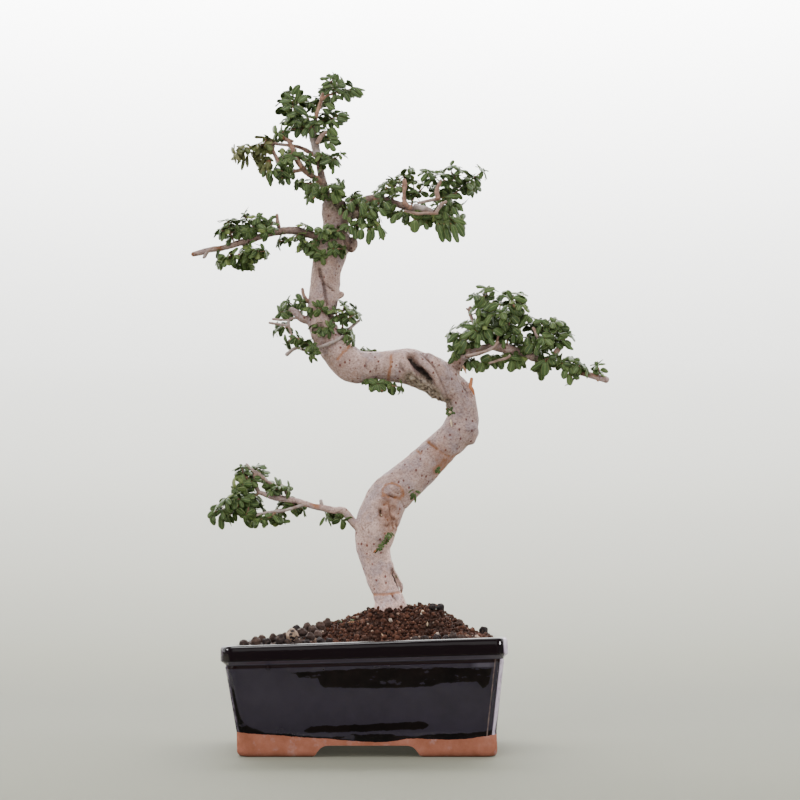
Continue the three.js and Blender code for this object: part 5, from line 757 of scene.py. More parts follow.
class Shader:
    """Builds one procedural material."""

    def __init__(self, name, roughness, **inputs):
        self.material = bpy.data.materials.new(name)
        self.material.use_nodes = True
        self.tree = self.material.node_tree
        self.principled = self.tree.nodes["Principled BSDF"]
        self.set("Roughness", roughness)
        for key, value in inputs.items():
            self.set(key.replace("_", " "), value)
        self.place = self.node("ShaderNodeTexCoord").outputs["Object"]

    def node(self, kind, **values):
        made = self.tree.nodes.new(kind)
        for key, value in values.items():
            setattr(made, key, value)
        return made

    def put(self, socket, value):
        if isinstance(value, bpy.types.NodeSocket):
            self.tree.links.new(value, socket)
        elif value is not None:
            socket.default_value = value

    def set(self, key, value):
        self.put(self.principled.inputs[key], value)

    def painted(self, colour, normal):
        """The material with its colour and its bumps."""
        self.set("Base Color", colour)
        self.set("Normal", normal)
        return self.material

    def math(self, operation, a, b=None, c=None, clamp=False):
        made = self.node("ShaderNodeMath", operation=operation, use_clamp=clamp)
        for socket, value in zip(made.inputs, (a, b, c)):
            self.put(socket, value)
        return made.outputs[0]

    def times(self, *factors):
        total = factors[0]
        for factor in factors[1:]:
            total = self.math("MULTIPLY", total, factor)
        return total

    def rest(self, share):
        return self.math("SUBTRACT", 1.0, share)

    def stretched(self, scale):
        made = self.node("ShaderNodeMapping")
        self.put(made.inputs["Vector"], self.place)
        self.put(made.inputs["Scale"], scale)
        return made.outputs["Vector"]

    def noise(self, size, detail=4, where=None, roughness=0.6):
        """Noise with features of so many millimetres."""
        made = self.node("ShaderNodeTexNoise")
        for key, value in (("Vector", where or self.place), ("Scale", 1000 / size), ("Detail", detail),
                           ("Roughness", roughness)):
            self.put(made.inputs[key], value)
        return made.outputs["Fac"]

    def cells(self, size, where=None, output="Distance"):
        """Cells of so many millimetres."""
        made = self.node("ShaderNodeTexVoronoi")
        self.put(made.inputs["Vector"], where or self.place)
        self.put(made.inputs["Scale"], 1000 / size)
        return made.outputs[output]

    def ramp(self, factor, *stops):
        """Colours or grey values at shares from 0 to 1."""
        made = self.node("ShaderNodeValToRGB")
        self.put(made.inputs["Fac"], factor)
        points = made.color_ramp.elements
        while len(points) < len(stops):
            points.new(0.5)
        for point, (at, value) in zip(points, stops):
            point.position = at
            point.color = (value,) * 3 + (1,) if isinstance(value, (int, float)) else tuple(value) + (1,)
        return made.outputs["Color"]

    def patches(self, size, detail, *stops, scale=None, roughness=0.6):
        """A ramp read by noise, stretched where a scale is given."""
        return self.ramp(self.noise(size, detail, scale and self.stretched(scale), roughness), *stops)

    def mix(self, factor, a, b, blend="MIX"):
        made = self.node("ShaderNodeMix", data_type="RGBA", blend_type=blend)
        self.put(made.inputs["Factor"], factor)
        for socket, value in ((made.inputs[6], a), (made.inputs[7], b)):
            self.put(socket, value if isinstance(value, bpy.types.NodeSocket) else tuple(value) + (1,))
        return made.outputs[2]

    def layers(self, base, *layers):
        """Colours laid over a base, each by its own mask."""
        for mask, colour in layers:
            base = self.mix(mask, base, colour)
        return base

    def attribute(self, name, output="Fac"):
        return self.node("ShaderNodeAttribute", attribute_name=name).outputs[output]

    def parts(self, vector):
        made = self.node("ShaderNodeSeparateXYZ")
        self.put(made.inputs[0], vector)
        return made.outputs

    def bump(self, height, strength, distance, under=None):
        made = self.node("ShaderNodeBump")
        for key, value in (("Height", height), ("Normal", under), ("Strength", strength),
                           ("Distance", distance / 1000)):
            self.put(made.inputs[key], value)
        return made.outputs["Normal"]

    def band(self, value, low, high, soft):
        """1 where the value is between low and high, with soft ends, all in millimetres."""
        above, below = (
            self.math("MULTIPLY_ADD", self.math("SUBTRACT", a, b), 1000 / soft, 0.5, clamp=True)
            for a, b in ((value, low / 1000), (high / 1000, value)))
        return self.times(above, below)


PORE_SIZE, PORES_KEPT, PORE_SHIFT = 4.4, 0.25, 0.0015


def bark_material():
    """Pale mottled bark with dark pores, and the marks' dark, orange and dead wood; painted shade makes its
    holes near black and adds to the dark of its cracks, and painted light and shade change its brightness
    with height.
    """
    s = Shader("bark", 0.75, Specular_IOR_Level=0.25)
    dark, orange, dead = s.parts(s.attribute("marks", "Vector"))
    mottle = s.noise(1.5, 5, s.stretched((0.9, 0.9, 1)), 0.7)
    shaken = s.node("ShaderNodeVectorMath", operation="MULTIPLY_ADD")
    s.put(shaken.inputs[0], s.node("ShaderNodeTexNoise").outputs["Color"])
    s.put(shaken.inputs[1], (PORE_SHIFT,) * 3)
    s.put(shaken.inputs[2], s.stretched((1, 1, 0.8)))
    kept = s.math("GREATER_THAN", s.parts(s.cells(PORE_SIZE, shaken.outputs[0], "Color"))[0], PORES_KEPT)
    pores = s.times(s.ramp(s.cells(PORE_SIZE, shaken.outputs[0]), (0.14, 0.9), (0.25, 0.0)), kept)
    base = s.layers(
        s.patches(14, 6, (0.3, (0.43, 0.29, 0.25)), (0.5, (0.61, 0.425, 0.375)), (0.68, (0.75, 0.54, 0.485))),
        (s.patches(11, 4, (0.47, 0.0), (0.6, 0.7), scale=(1, 1, 0.8)), (0.42, 0.335, 0.355)),
        (s.ramp(mottle, (0.36, 0.85), (0.52, 0.0)), (0.27, 0.175, 0.155)),
        (s.ramp(mottle, (0.56, 0.0), (0.7, 0.6)), (0.84, 0.66, 0.62)),
        (s.patches(6, 5, (0.56, 0.0), (0.7, 0.5)), (0.46, 0.25, 0.18)),
        (pores, (0.15, 0.045, 0.035)),
        (s.ramp(s.cells(2.4), (0.06, 0.55), (0.17, 0.0)), (0.2, 0.1, 0.08)),
        # Dark brown of the dark marks: partly the wood's own colour in scars and rings, partly painted shade
        # in cracks and grooves.
        (s.times(dark, s.patches(2.4, 5, (0.3, 0.45), (0.6, 1.0))), (0.085, 0.045, 0.028)),
        # Painted shade: the holes are made near black, as their hollows lie in shade.
        (s.ramp(dark, (0.78, 0.0), (0.95, 0.85)), (0.012, 0.009, 0.008)),
        (s.times(orange, s.patches(3, 4, (0.35, 0.55), (0.6, 1.0))), (0.36, 0.14, 0.05)),
        (dead, s.patches(2.6, 6, (0.36, (0.06, 0.045, 0.035)), (0.48, (0.3, 0.23, 0.17)),
                         (0.64, (0.62, 0.52, 0.42)))),
    )
    height = s.parts(s.place)[2]
    # Painted light and shade: the bark is made lighter near its foot and much darker toward the top, with a
    # lighter band between, for how the light falls on the trunk.
    painted_light_tone = s.ramp(height, (0.13, (1.1, 1.06, 1.05)), (0.17, (0.8, 0.78, 0.77)), (0.2, (0.62, 0.605, 0.6)),
                  (0.25, (0.56, 0.55, 0.555)), (0.29, (0.74, 0.72, 0.71)), (0.34, (0.62, 0.6, 0.575)),
                  (0.4, (0.34, 0.325, 0.295)))
    grain = s.math("ADD", s.noise(1.3, 6), s.times(mottle, 0.9))
    return s.painted(s.mix(1.0, base, painted_light_tone, "MULTIPLY"), s.bump(grain, 0.7, 0.5, s.bump(pores, 0.5, 0.5)))


def twig_material():
    """Reddish young twigs that turn grey with age."""
    s = Shader("twig_bark", 0.7)
    base = s.layers(
        s.patches(3.5, 5, (0.3, (0.065, 0.028, 0.017)), (0.5, (0.21, 0.098, 0.055)),
                  (0.72, (0.36, 0.19, 0.115))),
        (s.attribute("age"), s.patches(5, 5, (0.35, (0.2, 0.15, 0.13)), (0.65, (0.42, 0.36, 0.34)))),
        (s.ramp(s.cells(2.2), (0.08, 0.6), (0.2, 0.0)), (0.11, 0.045, 0.03)),
    )
    return s.painted(base, s.bump(s.noise(1.1, 4), 0.6, 0.35))


def leaf_material():
    """Leaves with ribs and veins, from the blade's own coordinates and the tint of each leaf; the paler
    margins are painted rim light, and the tint of the front leaves holds painted light and shade.
    """
    s = Shader("foliage", 0.4, Specular_IOR_Level=0.2)
    along, across, _ = s.parts(s.attribute("blade", "Vector"))
    shade, bronzed, browned = s.parts(s.attribute("tint", "Vector"))
    side = s.math("ABSOLUTE", across)
    slant = s.math("SUBTRACT", along, s.times(side, 0.22))
    waves = s.math("ABSOLUTE", s.math("SINE", s.times(slant, 30)))
    # How dark or pale a leaf is comes from its tint: random for most leaves, and for the front leaves given
    # one by one, partly their own colour and partly painted light and shade.
    base = s.layers(
        s.ramp(shade, (0.0, (0.0185, 0.0375, 0.0125)), (0.45, (0.037, 0.07, 0.0185)),
               (0.8, (0.07, 0.106, 0.028)), (1.0, (0.145, 0.18, 0.05))),
        (bronzed, s.patches(4, 3, (0.3, (0.12, 0.085, 0.035)), (0.7, (0.22, 0.18, 0.075)))),
        (s.patches(2.5, 4, (0.35, 0.0), (0.7, 0.5)), (0.08, 0.115, 0.034)),
        (s.ramp(waves, (0.0, 0.3), (0.25, 0.0)), (0.12, 0.155, 0.055)),
        (s.ramp(side, (0.03, 0.5), (0.13, 0.0)), (0.2, 0.25, 0.085)),
        # Painted rim light: the margins are made paler, where light from behind catches the edges.
        (s.ramp(side, (0.66, 0.0), (0.92, 0.45)), (0.21, 0.24, 0.09)),
        (s.ramp(side, (0.95, 0.0), (1.0, 0.6)), (0.1, 0.075, 0.03)),
        (s.ramp(along, (0.06, 0.9), (0.16, 0.0)), (0.25, 0.1, 0.04)),
        (s.times(s.ramp(along, (0.72, 0.0), (0.9, 1.0)), browned), (0.14, 0.05, 0.022)),
    )
    s.set("Roughness", s.patches(3, 3, (0.3, 0.36), (0.7, 0.55)))
    return s.painted(base, s.bump(s.math("SUBTRACT", waves, s.times(side, 0.4)), 0.3, 0.25))


# Dark reflections painted into the front of the glaze, as wavy bands: their lower and upper edges, as x and
# height.
DARK_REFLECTION_BANDS = [
    ([(-53.6, 58.4), (-47.9, 57.5), (-45.8, 54.7), (-32.5, 54.7), (-30.7, 50.6), (-28.2, 48.2), (-0.2, 47.5),
      (30.3, 47.9), (45.5, 48.6), (57.9, 51.7), (78.8, 52.4), (83, 47.5), (87.2, 50.3), (89.2, 61.6)],
     [(-53.6, 58.4), (-47.8, 58.9), (-29.6, 60), (-0.2, 61.5), (38.3, 62), (49.5, 62.7), (67, 62),
      (89.2, 61.8)]),
    ([(-42.8, 18), (-40.7, 16.7), (-23.9, 17), (-0.2, 17.6), (21.5, 18.5), (41.4, 19.5), (44.2, 20.5),
      (45.4, 22.2)],
     [(-42.8, 18), (-40.7, 19.5), (-37.5, 21.4), (-24, 21.9), (-0.2, 22.7), (21.5, 23.9), (38.6, 25),
      (43.2, 23.9), (45.4, 22.2)]),
    ([(-98, 5), (98, 5)],
     [(-96, 54), (-94, 50), (-91, 46), (-89.6, 39), (-88, 31.5), (-86, 26.4), (-83.6, 23), (-80.8, 21.1),
      (-76, 19.3), (-70, 17.6), (-57.5, 16.4), (-40.7, 15), (-23.9, 13.9), (-13.4, 14.7), (-8.6, 16.2),
      (-0.2, 16.1), (19.4, 16.1), (25, 15), (35.5, 14.3), (44.6, 15.7), (53, 16.5), (73.9, 17), (87.9, 18.8),
      (92.9, 20.2)]),
]
BAND_SPAN, BAND_TALL = 220, 100  # what a whole ramp of x and a whole grey value of height stand for
# Where the pot's front, its corners and the wall's upper end are, as y, y and height in metres.
FRONT_FACE, CORNER_FROM, WALL_TO = -0.05, 0.0615, 0.0662
# Heights on the level pot where the crease under the rim, the slope over it and the rim's face begin and end.
CREASE_FROM, BEVEL_FROM, FACE_FROM, FACE_TO = 64, 66.4, 69.2, 79.5


def painted_dark_reflections(s, x, y, z):
    """Where dark reflections are painted into the front's glaze, as wavy bands."""
    share = s.math("MULTIPLY_ADD", x, 1000 / BAND_SPAN, 0.5 - POT_MIDDLE / BAND_SPAN)
    level = s.math("ADD", z, s.times(s.math("SUBTRACT", s.noise(9, 4), 0.5), 0.0035))
    dark_reflections = None
    for outlines in DARK_REFLECTION_BANDS:
        low, high = (
            s.times(s.ramp(share, *[(px / BAND_SPAN + 0.5, pz / BAND_TALL) for px, pz in outline]), 0.1)
            for outline in outlines)
        above = s.math("MULTIPLY", s.math("SUBTRACT", level, low), 2200, clamp=True)
        below = s.math("MULTIPLY", s.math("SUBTRACT", high, level), 2200, clamp=True)
        dark_reflection = s.times(above, below)
        dark_reflections = dark_reflection if dark_reflections is None else s.math("MAXIMUM", dark_reflections, dark_reflection)
    front = s.math("MULTIPLY", s.math("SUBTRACT", FRONT_FACE, y), 200, clamp=True)
    return s.times(dark_reflections, front, s.patches(12, 3, (0.62, 1.0), (0.66, 0.25), scale=(1, 1, 2.2)))


def glaze_material():
    """Black glaze with scratches, and bare clay below its lower edge; painted reflections make dark bands on
    the front, a dark rim and lilac and pale strips under the rim and down the corners, and painted shade
    darkens the groove under the rim.
    """
    s = Shader("glazed_ceramic", 0.5, Specular_IOR_Level=0.0, Coat_Roughness=0.03, Coat_IOR=1.5)
    x, y, z = s.parts(s.place)
    wave = s.times(s.math("SUBTRACT", s.noise(7, 3), 0.5), 0.0016)
    over_line = s.math("SUBTRACT", s.math("ADD", z, wave), s.attribute("glaze_line"))
    bare = s.ramp(s.math("MULTIPLY_ADD", over_line, 900, 0.5), (0.35, 1.0), (0.6, 0.0))
    terracotta = s.layers(
        s.patches(14, 6, (0.3, (0.215, 0.076, 0.043)), (0.55, (0.293, 0.112, 0.073)),
                  (0.8, (0.36, 0.165, 0.125))),
        (s.ramp(s.cells(1.6), (0.05, 0.35), (0.2, 0.0)), (0.2, 0.075, 0.04)),
        (s.patches(9, 5, (0.55, 0.0), (0.72, 0.45)), (0.36, 0.24, 0.24)),
    )
    dark_reflections = painted_dark_reflections(s, x, y, z)
    # Heights on the level pot, and how far a place is in from the wall's end, seen from the front.
    tall = s.math("DIVIDE", z, s.math("MULTIPLY_ADD", x, 1000 * LEAN / POT_HEIGHT, 1.0))
    off_middle = s.math("ABSOLUTE", s.math("SUBTRACT", s.math("MULTIPLY_ADD", z, LEAN, x),
                                           (POT_MIDDLE + POT_SHIFT + LEAN * POT_HEIGHT) / 1000))
    on_wall = s.math("LESS_THAN", tall, WALL_TO)
    inset = s.times(on_wall, s.math("MULTIPLY_ADD", tall, -WALL_SLOPE,
                                    (WALL_INSET + WALL_SLOPE * GROOVE_FROM) / 1000))
    depth = s.math("SUBTRACT", s.math("SUBTRACT", POT_LENGTH / 2000, inset), off_middle)
    corner = s.math("MULTIPLY", s.math("SUBTRACT", s.math("ABSOLUTE", y), CORNER_FROM), 700, clamp=True)
    right = s.math("GREATER_THAN", x, POT_MIDDLE / 1000)
    lilac_reflection = s.times(s.band(x, 77 + POT_MIDDLE, 90 + POT_MIDDLE, 6), s.band(z, 62.6, 67.5, 1),
                   s.math("LESS_THAN", y, FRONT_FACE))
    crease_shade = s.band(tall, CREASE_FROM, BEVEL_FROM, 0.7)
    mottle = s.noise(3, 6, s.stretched((1, 1, 0.4)))
    pale = s.times(s.band(depth, -3, 3.3, 0.9), right, corner)
    corner_edge_reflection = s.times(s.band(depth, 6.6, 7.4, 0.6), right, s.times(corner, on_wall))
    left_corner_reflection = s.times(s.band(depth, -3, 2.2, 1.4), s.rest(right), corner)
    scratches = s.patches(5, 9, (0.68, 0.0), (0.73, 0.6), scale=(0.6, 1, 1.8), roughness=0.8)
    glaze = s.layers(
        s.patches(30, 4, (0.35, (0.013, 0.0095, 0.019)), (0.65, (0.017, 0.0125, 0.0245))),
        # Painted reflection: the dark bands on the front are near black, for the dark surroundings the glaze
        # reflects.
        (dark_reflections, s.patches(20, 4, (0.4, (0.0032, 0.0024, 0.0026)), (0.7, (0.007, 0.0042, 0.004)))),
        # Painted reflection: from the rim's face up, the glaze is a darker black, for the dark room it
        # reflects.
        (s.band(tall, FACE_FROM, 90, 0.6), (0.0075, 0.0045, 0.0055)),
        # Painted reflection: the slope under the rim's face is lilac grey, for the floor it reflects.
        (s.band(tall, BEVEL_FROM, FACE_FROM, 0.5), (0.045, 0.038, 0.056)),
        # Painted reflection: a paler lilac patch at the right of the front, just under the rim.
        (lilac_reflection, (0.055, 0.047, 0.066)),
        # Painted shade: the groove under the rim is made near black and less glossy, as it lies in shade.
        (crease_shade, (0.007, 0.0022, 0.0025)),
        # Painted reflection: a pale pinkish strip down the right corner, for the bright room seen there at a
        # grazing angle.
        (s.times(pale, s.ramp(mottle, (0.36, 0.5), (0.5, 1.0))), (0.5, 0.42, 0.52)),
        # Painted reflection: a brownish pale line down the right corner's edge.
        (s.times(corner_edge_reflection, s.ramp(mottle, (0.4, 0.3), (0.6, 0.9))), (0.16, 0.11, 0.1)),
        # Painted reflection: a thin lilac grey strip down the left corner.
        (s.times(left_corner_reflection, s.ramp(mottle, (0.42, 0.2), (0.6, 0.9))), (0.13, 0.105, 0.14)),
        (s.times(scratches, on_wall), (0.05, 0.045, 0.06)),
    )
    scuffs = s.patches(4, 8, (0.66, 1.0), (0.74, 0.72), scale=(0.5, 1, 1.6), roughness=0.75)
    # The rim's face away from the corners, where less coat makes a painted dark reflection.
    rim_face = s.times(s.band(tall, FACE_FROM, FACE_TO, 0.4), s.band(depth, 7, 300, 2))
    # Less coat on the dark bands, the rim's face and the groove under the rim darkens them further: painted
    # reflection and painted shade.
    gloss = s.times(s.rest(s.times(dark_reflections, 0.8)), scuffs, s.rest(s.times(rim_face, 0.75)),
                    s.rest(s.times(crease_shade, 0.85)))
    s.set("Roughness", s.ramp(bare, (0.0, 0.4), (1.0, 0.9)))
    s.set("Coat Weight", s.times(s.rest(bare), gloss))
    s.set("Coat Normal", s.bump(s.noise(26, 2), 0.12, 2.0, s.bump(s.noise(2.2, 3), 0.05, 0.2)))
    return s.painted(s.mix(bare, glaze, terracotta), s.bump(s.times(bare, s.noise(1.2, 5)), 0.5, 0.4))


def grain_material():
    """Red-brown akadama grains, a few of them pale, with darker damp patches."""
    s = Shader("akadama", 0.9, Specular_IOR_Level=0.2)
    base = s.layers(
        s.ramp(s.attribute("own"), (0.0, (0.019, 0.0078, 0.0055)), (0.2, (0.045, 0.0165, 0.0098)),
               (0.6, (0.082, 0.03, 0.017)), (0.93, (0.132, 0.053, 0.031)), (0.975, (0.15, 0.07, 0.046)),
               (0.985, (0.4, 0.28, 0.21)), (1.0, (0.55, 0.46, 0.38))),
        (s.patches(1.2, 5, (0.35, 0.55), (0.65, 0.0)), (0.02, 0.009, 0.0065)),
        (s.patches(11, 4, (0.5, 0.0), (0.64, 0.65)), (0.022, 0.0115, 0.008)),
    )
    return s.painted(base, s.bump(s.noise(0.7, 5), 0.8, 0.3))


def pellet_material():
    """Dark fired clay, and the one cracked pale pellet."""
    s = Shader("fired_clay", 0.85, Specular_IOR_Level=0.25)
    own = s.attribute("own")
    cracked = s.times(s.math("GREATER_THAN", own, 0.97), s.patches(3.6, 4, (0.46, 1.0), (0.52, 0.0)))
    base = s.layers(
        s.ramp(own, (0.0, (0.011, 0.008, 0.009)), (0.3, (0.021, 0.0145, 0.014)), (0.6, (0.045, 0.026, 0.02)),
               (0.85, (0.085, 0.05, 0.038)), (1.0, (0.42, 0.29, 0.21))),
        (s.patches(2.2, 6, (0.35, 0.6), (0.6, 0.0)), (0.025, 0.016, 0.015)),
        (s.patches(2.6, 6, (0.55, 0.0), (0.66, 0.4)), (0.16, 0.105, 0.08)),
        (cracked, (0.02, 0.014, 0.014)),
    )
    return s.painted(base, s.bump(s.noise(1.0, 6), 0.8, 0.6))


def scrap_material(name, dark, light):
    """Dry husks and flakes of bark."""
    s = Shader(name, 0.7, Specular_IOR_Level=0.2)
    base = s.ramp(s.attribute("own"), (0.2, dark), (0.9, light))
    return s.painted(s.mix(s.patches(1.5, 5, (0.35, 0.6), (0.6, 0.0)), base, dark),
                     s.bump(s.noise(0.9, 4), 0.6, 0.3))


def net_material():
    """Black plastic of the drain nets."""
    s = Shader("net_plastic", 0.5)
    base = s.patches(2, 4, (0.3, (0.0084, 0.0091, 0.0091)), (0.7, (0.0144, 0.0156, 0.0156)))
    return s.painted(base, s.bump(s.noise(1, 4), 0.4, 0.2))


# ---------------------------------------------------------------- pot

# A foot's end towards the gap, from the table up: how far out of the slope, and how high.
FOOT_SIDE = [(1.15, 0.03), (1.02, 0.1), (0.92, 0.22), (0.82, 0.4), (0.7, 0.6), (0.55, 0.78), (0.35, 0.92),
             (0.12, 0.985), (-0.15, 1)]
# The rounded edge under the wall, as inset and height.
FOOT_EDGE = [(FOOT_ROUND, 0), (2.7, 0.22), (1.6, 0.7), (0.8, 1.45), (0.22, 2.7)]
# The rim's outline, as inset and height, from the crease under it over the top and down its inner side.
RIM = [(3.1, 64.8), (3.3, 65.4), (3.2, 66), (2.4, 66.8), (1.4, 67.7), (0.5, 68.5), (0.1, 69), (0, 69.4),
       (0, 69.8), (0, 74.2), (0, 77), (0.15, 78), (0.5, 78.9), (1.1, 79.6), (2, 79.95), (3.4, 80.1),
       (4.8, 80), (6.2, 79.7), (7.2, 79), (7.9, 77.8), (8.4, 76.2), (8.8, 73.5)]
# Heights of the wall's rings, outside from the foot up and inside from the rim down.
WALL_RINGS = (FOOT_ROUND, 5.5, 8, 10, 12, 14, SLOPE_FROM, 19, 22, 27, 32, 38, 44, 50, 56, 60, 62.5,
              GROOVE_FROM)
INNER_RINGS = (71, 60, 45, 30, 20, FLOOR_TOP + 0.8)
# The arches in the foot: width at the table, width at their top, length, whether they go along x, and middle.
ARCHES = [(74, 55, 170, False, 2.2), (62, 50, 220, True, 0)]
DRAIN_AT, DRAIN_RADIUS = 45, 8
# Height of the glaze's lower edge along the front, as x and z, and its mean height at the ends.
GLAZE_LINE = [(-97, 18.5), (-89, 17.2), (-86.4, 16.8), (-74.3, 15.8), (-57.5, 14.8), (-40.7, 13.5),
              (-24.1, 12.5), (0, 10.5), (10.9, 10.3), (19.9, 10.7), (29.5, 13), (41.4, 12.7), (59.3, 12),
              (73.2, 12.7), (83.6, 14.4), (92, 15.6), (98, 17)]
END_GLAZE_LINE = 14
NO_GLAZE = 90  # a line above everything, for the inside


def rounded_ring(inset, z):
    """The pot's outline at height z, so far in from the rim, with even points along it."""
    half_x, half_y = POT_LENGTH / 2 - inset, POT_DEPTH / 2 - inset
    radius = CORNER_RADIUS - inset / 4
    corner_steps, side_steps, side_from = 10, 24, 20
    ring = []
    for corner in range(4):
        sign_x = 1 if corner in (0, 3) else -1
        sign_y = 1 if corner < 2 else -1
        for step in range(corner_steps + 1):
            angle = (corner + step / corner_steps) * math.pi / 2
            ring.append((POT_SHIFT + sign_x * (half_x - radius) + radius * math.cos(angle),
                         sign_y * (half_y - radius) + radius * math.sin(angle), z))
    even = []
    for k, point in enumerate(ring):
        after = ring[(k + 1) % len(ring)]
        parts = side_steps if math.dist(point, after) > side_from else 1
        even += [tuple(np.array(point) + (np.array(after) - point) * part / parts) for part in range(parts)]
    return np.array(even)


def wall_inset(z):
    return WALL_INSET + WALL_SLOPE * (GROOVE_FROM - max(z, SLOPE_FROM))


def baked(target, *helpers):
    """Applies the target's modifiers and removes the helpers."""
    graph = bpy.context.evaluated_depsgraph_get()
    mesh = bpy.data.meshes.new_from_object(target.evaluated_get(graph))
    target.modifiers.clear()
    target.data = mesh
    for helper in helpers:
        bpy.data.objects.remove(helper)


def arch_cutter(table, top, length, along_x, middle):
    """The room between two feet, with rounded shoulders."""
    reach = (table - top) / 2
    side = [(table / 2 + 5, -3), (table / 2 + 4, -0.4)]
    side += [(top / 2 + reach * out, FOOT_HEIGHT * up) for out, up in FOOT_SIDE]
    shape = [(middle + x, z) for x, z in side] + [(middle - x, z) for x, z in reversed(side)]
    points = np.array([(x, y, z) for y in (-length / 2, length / 2) for x, z in shape])
    if along_x:
        points = points[:, [1, 0, 2]] * (1, -1, 1)
    count = len(shape)
    k = np.arange(count)
    after = (k + 1) % count
    quads = np.stack([k, after, after + count, k + count], 1)[:, ::-1]
    fan = np.array([[0, n, n + 1] for n in range(1, count - 1)])
    return new_object("arch", points, [quads, np.roll(fan, -1, 1), (fan + count)[:, ::-1]])


def make_pot(material):
    """The pot as one closed skin, with the arches and the drain holes cut out of it."""
    rings = [rounded_ring(wall_inset(0) + inset, z) for inset, z in FOOT_EDGE]
    rings += [rounded_ring(wall_inset(z), z) for z in WALL_RINGS]
    rings += [rounded_ring(inset, z) for inset, z in RIM]
    rings += [rounded_ring(wall_inset(z) + WALL, z) for z in INNER_RINGS]
    rings += [rounded_ring(wall_inset(FLOOR_TOP) + WALL + 1.5, FLOOR_TOP)]
    points, faces = closed_skin(rings, (0, 0, 0), (0, 0, FLOOR_TOP))
    wobble = noise(points * (1, 1, 0.6), 38, 3) * 0.35
    points[:, :2] += unit(points[:, :2]) * wobble[:, None] * (points[:, 2:3] > 2)
    pot = new_object("pot_glazed", lean(points), faces, material)
    cutters = [arch_cutter(*arch) for arch in ARCHES]
    for x in (-DRAIN_AT, DRAIN_AT):
        cutters.append(new_object("hole", *tube([(x, 0, -3), (x, 0, 20)], [DRAIN_RADIUS] * 2, 32, False)))
    for cutter in cutters:
        step = pot.modifiers.new("cut", "BOOLEAN")
        step.operation, step.solver, step.object = "DIFFERENCE", "EXACT", cutter
    baked(pot, *cutters)
    places = vectors_of(pot.data.vertices, "co") * 1000 - (POT_MIDDLE, 0, 0)
    line = np.interp(places[:, 0], *zip(*GLAZE_LINE))
    at_end = np.abs(places[:, 1]) < POT_DEPTH / 2 - 14
    line = np.where(at_end, END_GLAZE_LINE + 2.5 * noise(places * (1, 1, 0), 30, 8), line)
    inside = (places[:, 2] > 9) & (np.abs(places[:, 0]) < 86) & (np.abs(places[:, 1]) < 61)
    line = np.where(inside & (places[:, 2] < 66), NO_GLAZE, line) / 1000
    layer = pot.data.attributes.new("glaze_line", "FLOAT", "POINT")
    layer.data.foreach_set("value", line.astype(np.float32))
    pot.data.polygons.foreach_set("use_smooth", np.ones(len(pot.data.polygons), bool))
    pot.data.set_sharp_from_angle(angle=math.radians(50))
    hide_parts("pot")
    return pot


# ---------------------------------------------------------------- soil

SOIL_TOP, SOIL_FOOT = 66, 20  # heights of the bed's edge in the pot
SOIL_GAP = 0.4
CRUST = 1.2                   # how far the body of the soil lies under its grains
# Loose grains: spacing, sizes with their shares, and two layers as name, detail, first and last row.
GRAIN_STEP = 2.45
GRAIN_SIZES, GRAIN_SHARES = [1.6, 2.3, 2.9, 3.6, 4.6], [0.2, 0.3, 0.28, 0.17, 0.05]
GRAIN_LAYERS = (("soil_grains_front", 2, -66, -14), ("soil_grains_back", 1, -14, 66))
GRAINS_LEFT, GRAINS_RIGHT, GRAINS_REACH = -90, 91, 64.5
SKIPPED, SKIPPED_UNDER_PELLETS = 0.12, 0.6  # shares of the grains that are left out
# Pellets on top of the bed and along the front, as centre and size.
PELLETS = [
    (-85.7, -58, 78.2, 7), (-77.9, -55, 79.5, 7.4), (-69.5, -57, 79.3, 6.6), (-60.5, -54, 80.9, 7.6),
    (-52.3, -50, 83.6, 10), (-45.4, -46, 86, 8), (-39, -56, 82.4, 8), (-33.5, -54, 84.1, 7.4),
    (-31.3, -61, 79.7, 6.4), (-47.1, -62, 78.7, 6), (-38, -38, 87.2, 7.6), (-33.3, -32, 89.9, 7),
    (-28.6, -24, 92.2, 6.8), (-54.9, -62, 78.7, 5.6), (-40.1, -62, 78.7, 5.4), (-25.2, -62, 80.1, 5.6),
    (-58.1, -40, 82.2, 7), (-50.1, -30, 87.3, 7), (-66.7, -40, 81.5, 7), (-75, -36, 81, 7),
    (-43.3, -22, 88.9, 7), (35.6, -62, 80.5, 6), (42.7, -60, 81.5, 6.6), (51.2, -60, 82.2, 6.4),
    (57.6, -61, 81.5, 5.8), (62.6, -60, 82.9, 6.8), (68.9, -61, 82.2, 5.6), (85.1, -45, 87, 6.6),
    (49.5, 0, 103.6, 6), (55.3, 2, 103.2, 6.8), (70, 0, 92, 5),
]
PALE_PELLET = 4        # which of them is the cracked pale one
BED_STEPS = 6.9, 6.4   # spacing of the bed's pellets along x and y
BED_DEPTH = 3


def soil_height(x, y):
    """Height of the soil's top: a mound round the trunk, a rise at the right and a shoulder on the left."""
    reach = np.where(x < MOUND["x"], MOUND["left"], MOUND["right"])
    across = np.maximum(0, np.abs(x - MOUND["x"]) - MOUND["flat"]) / reach
    deep = (y - MOUND["y"]) / MOUND["depth"]
    rise = SOIL_EDGE + MOUND_RISE * (1 - smooth_step(np.hypot(across, deep)))
    rise = rise + 2.2 * smooth_step((x - 52) / 26)
    rise = rise + SHOULDER * np.exp(-((x + 38) / 18) ** 2 - ((y + 8) / 34) ** 2)
    return rise * (1 + LEAN * x / POT_HEIGHT)


def on_soil(place, lift):
    """Where the camera's line of sight to a place first meets the soil, so that things there rest on it."""
    place = np.array(place, float)
    ray = (place - EYE) / (place[1] - EYE[1])
    for y in np.arange(-63, 40, 0.5):
        point = place + ray * (y - place[1])
        if soil_height(point[0], point[1]) + lift >= point[2]:
            return point
    return np.array((place[0], MOUND["y"], soil_height(place[0], MOUND["y"]) + lift))


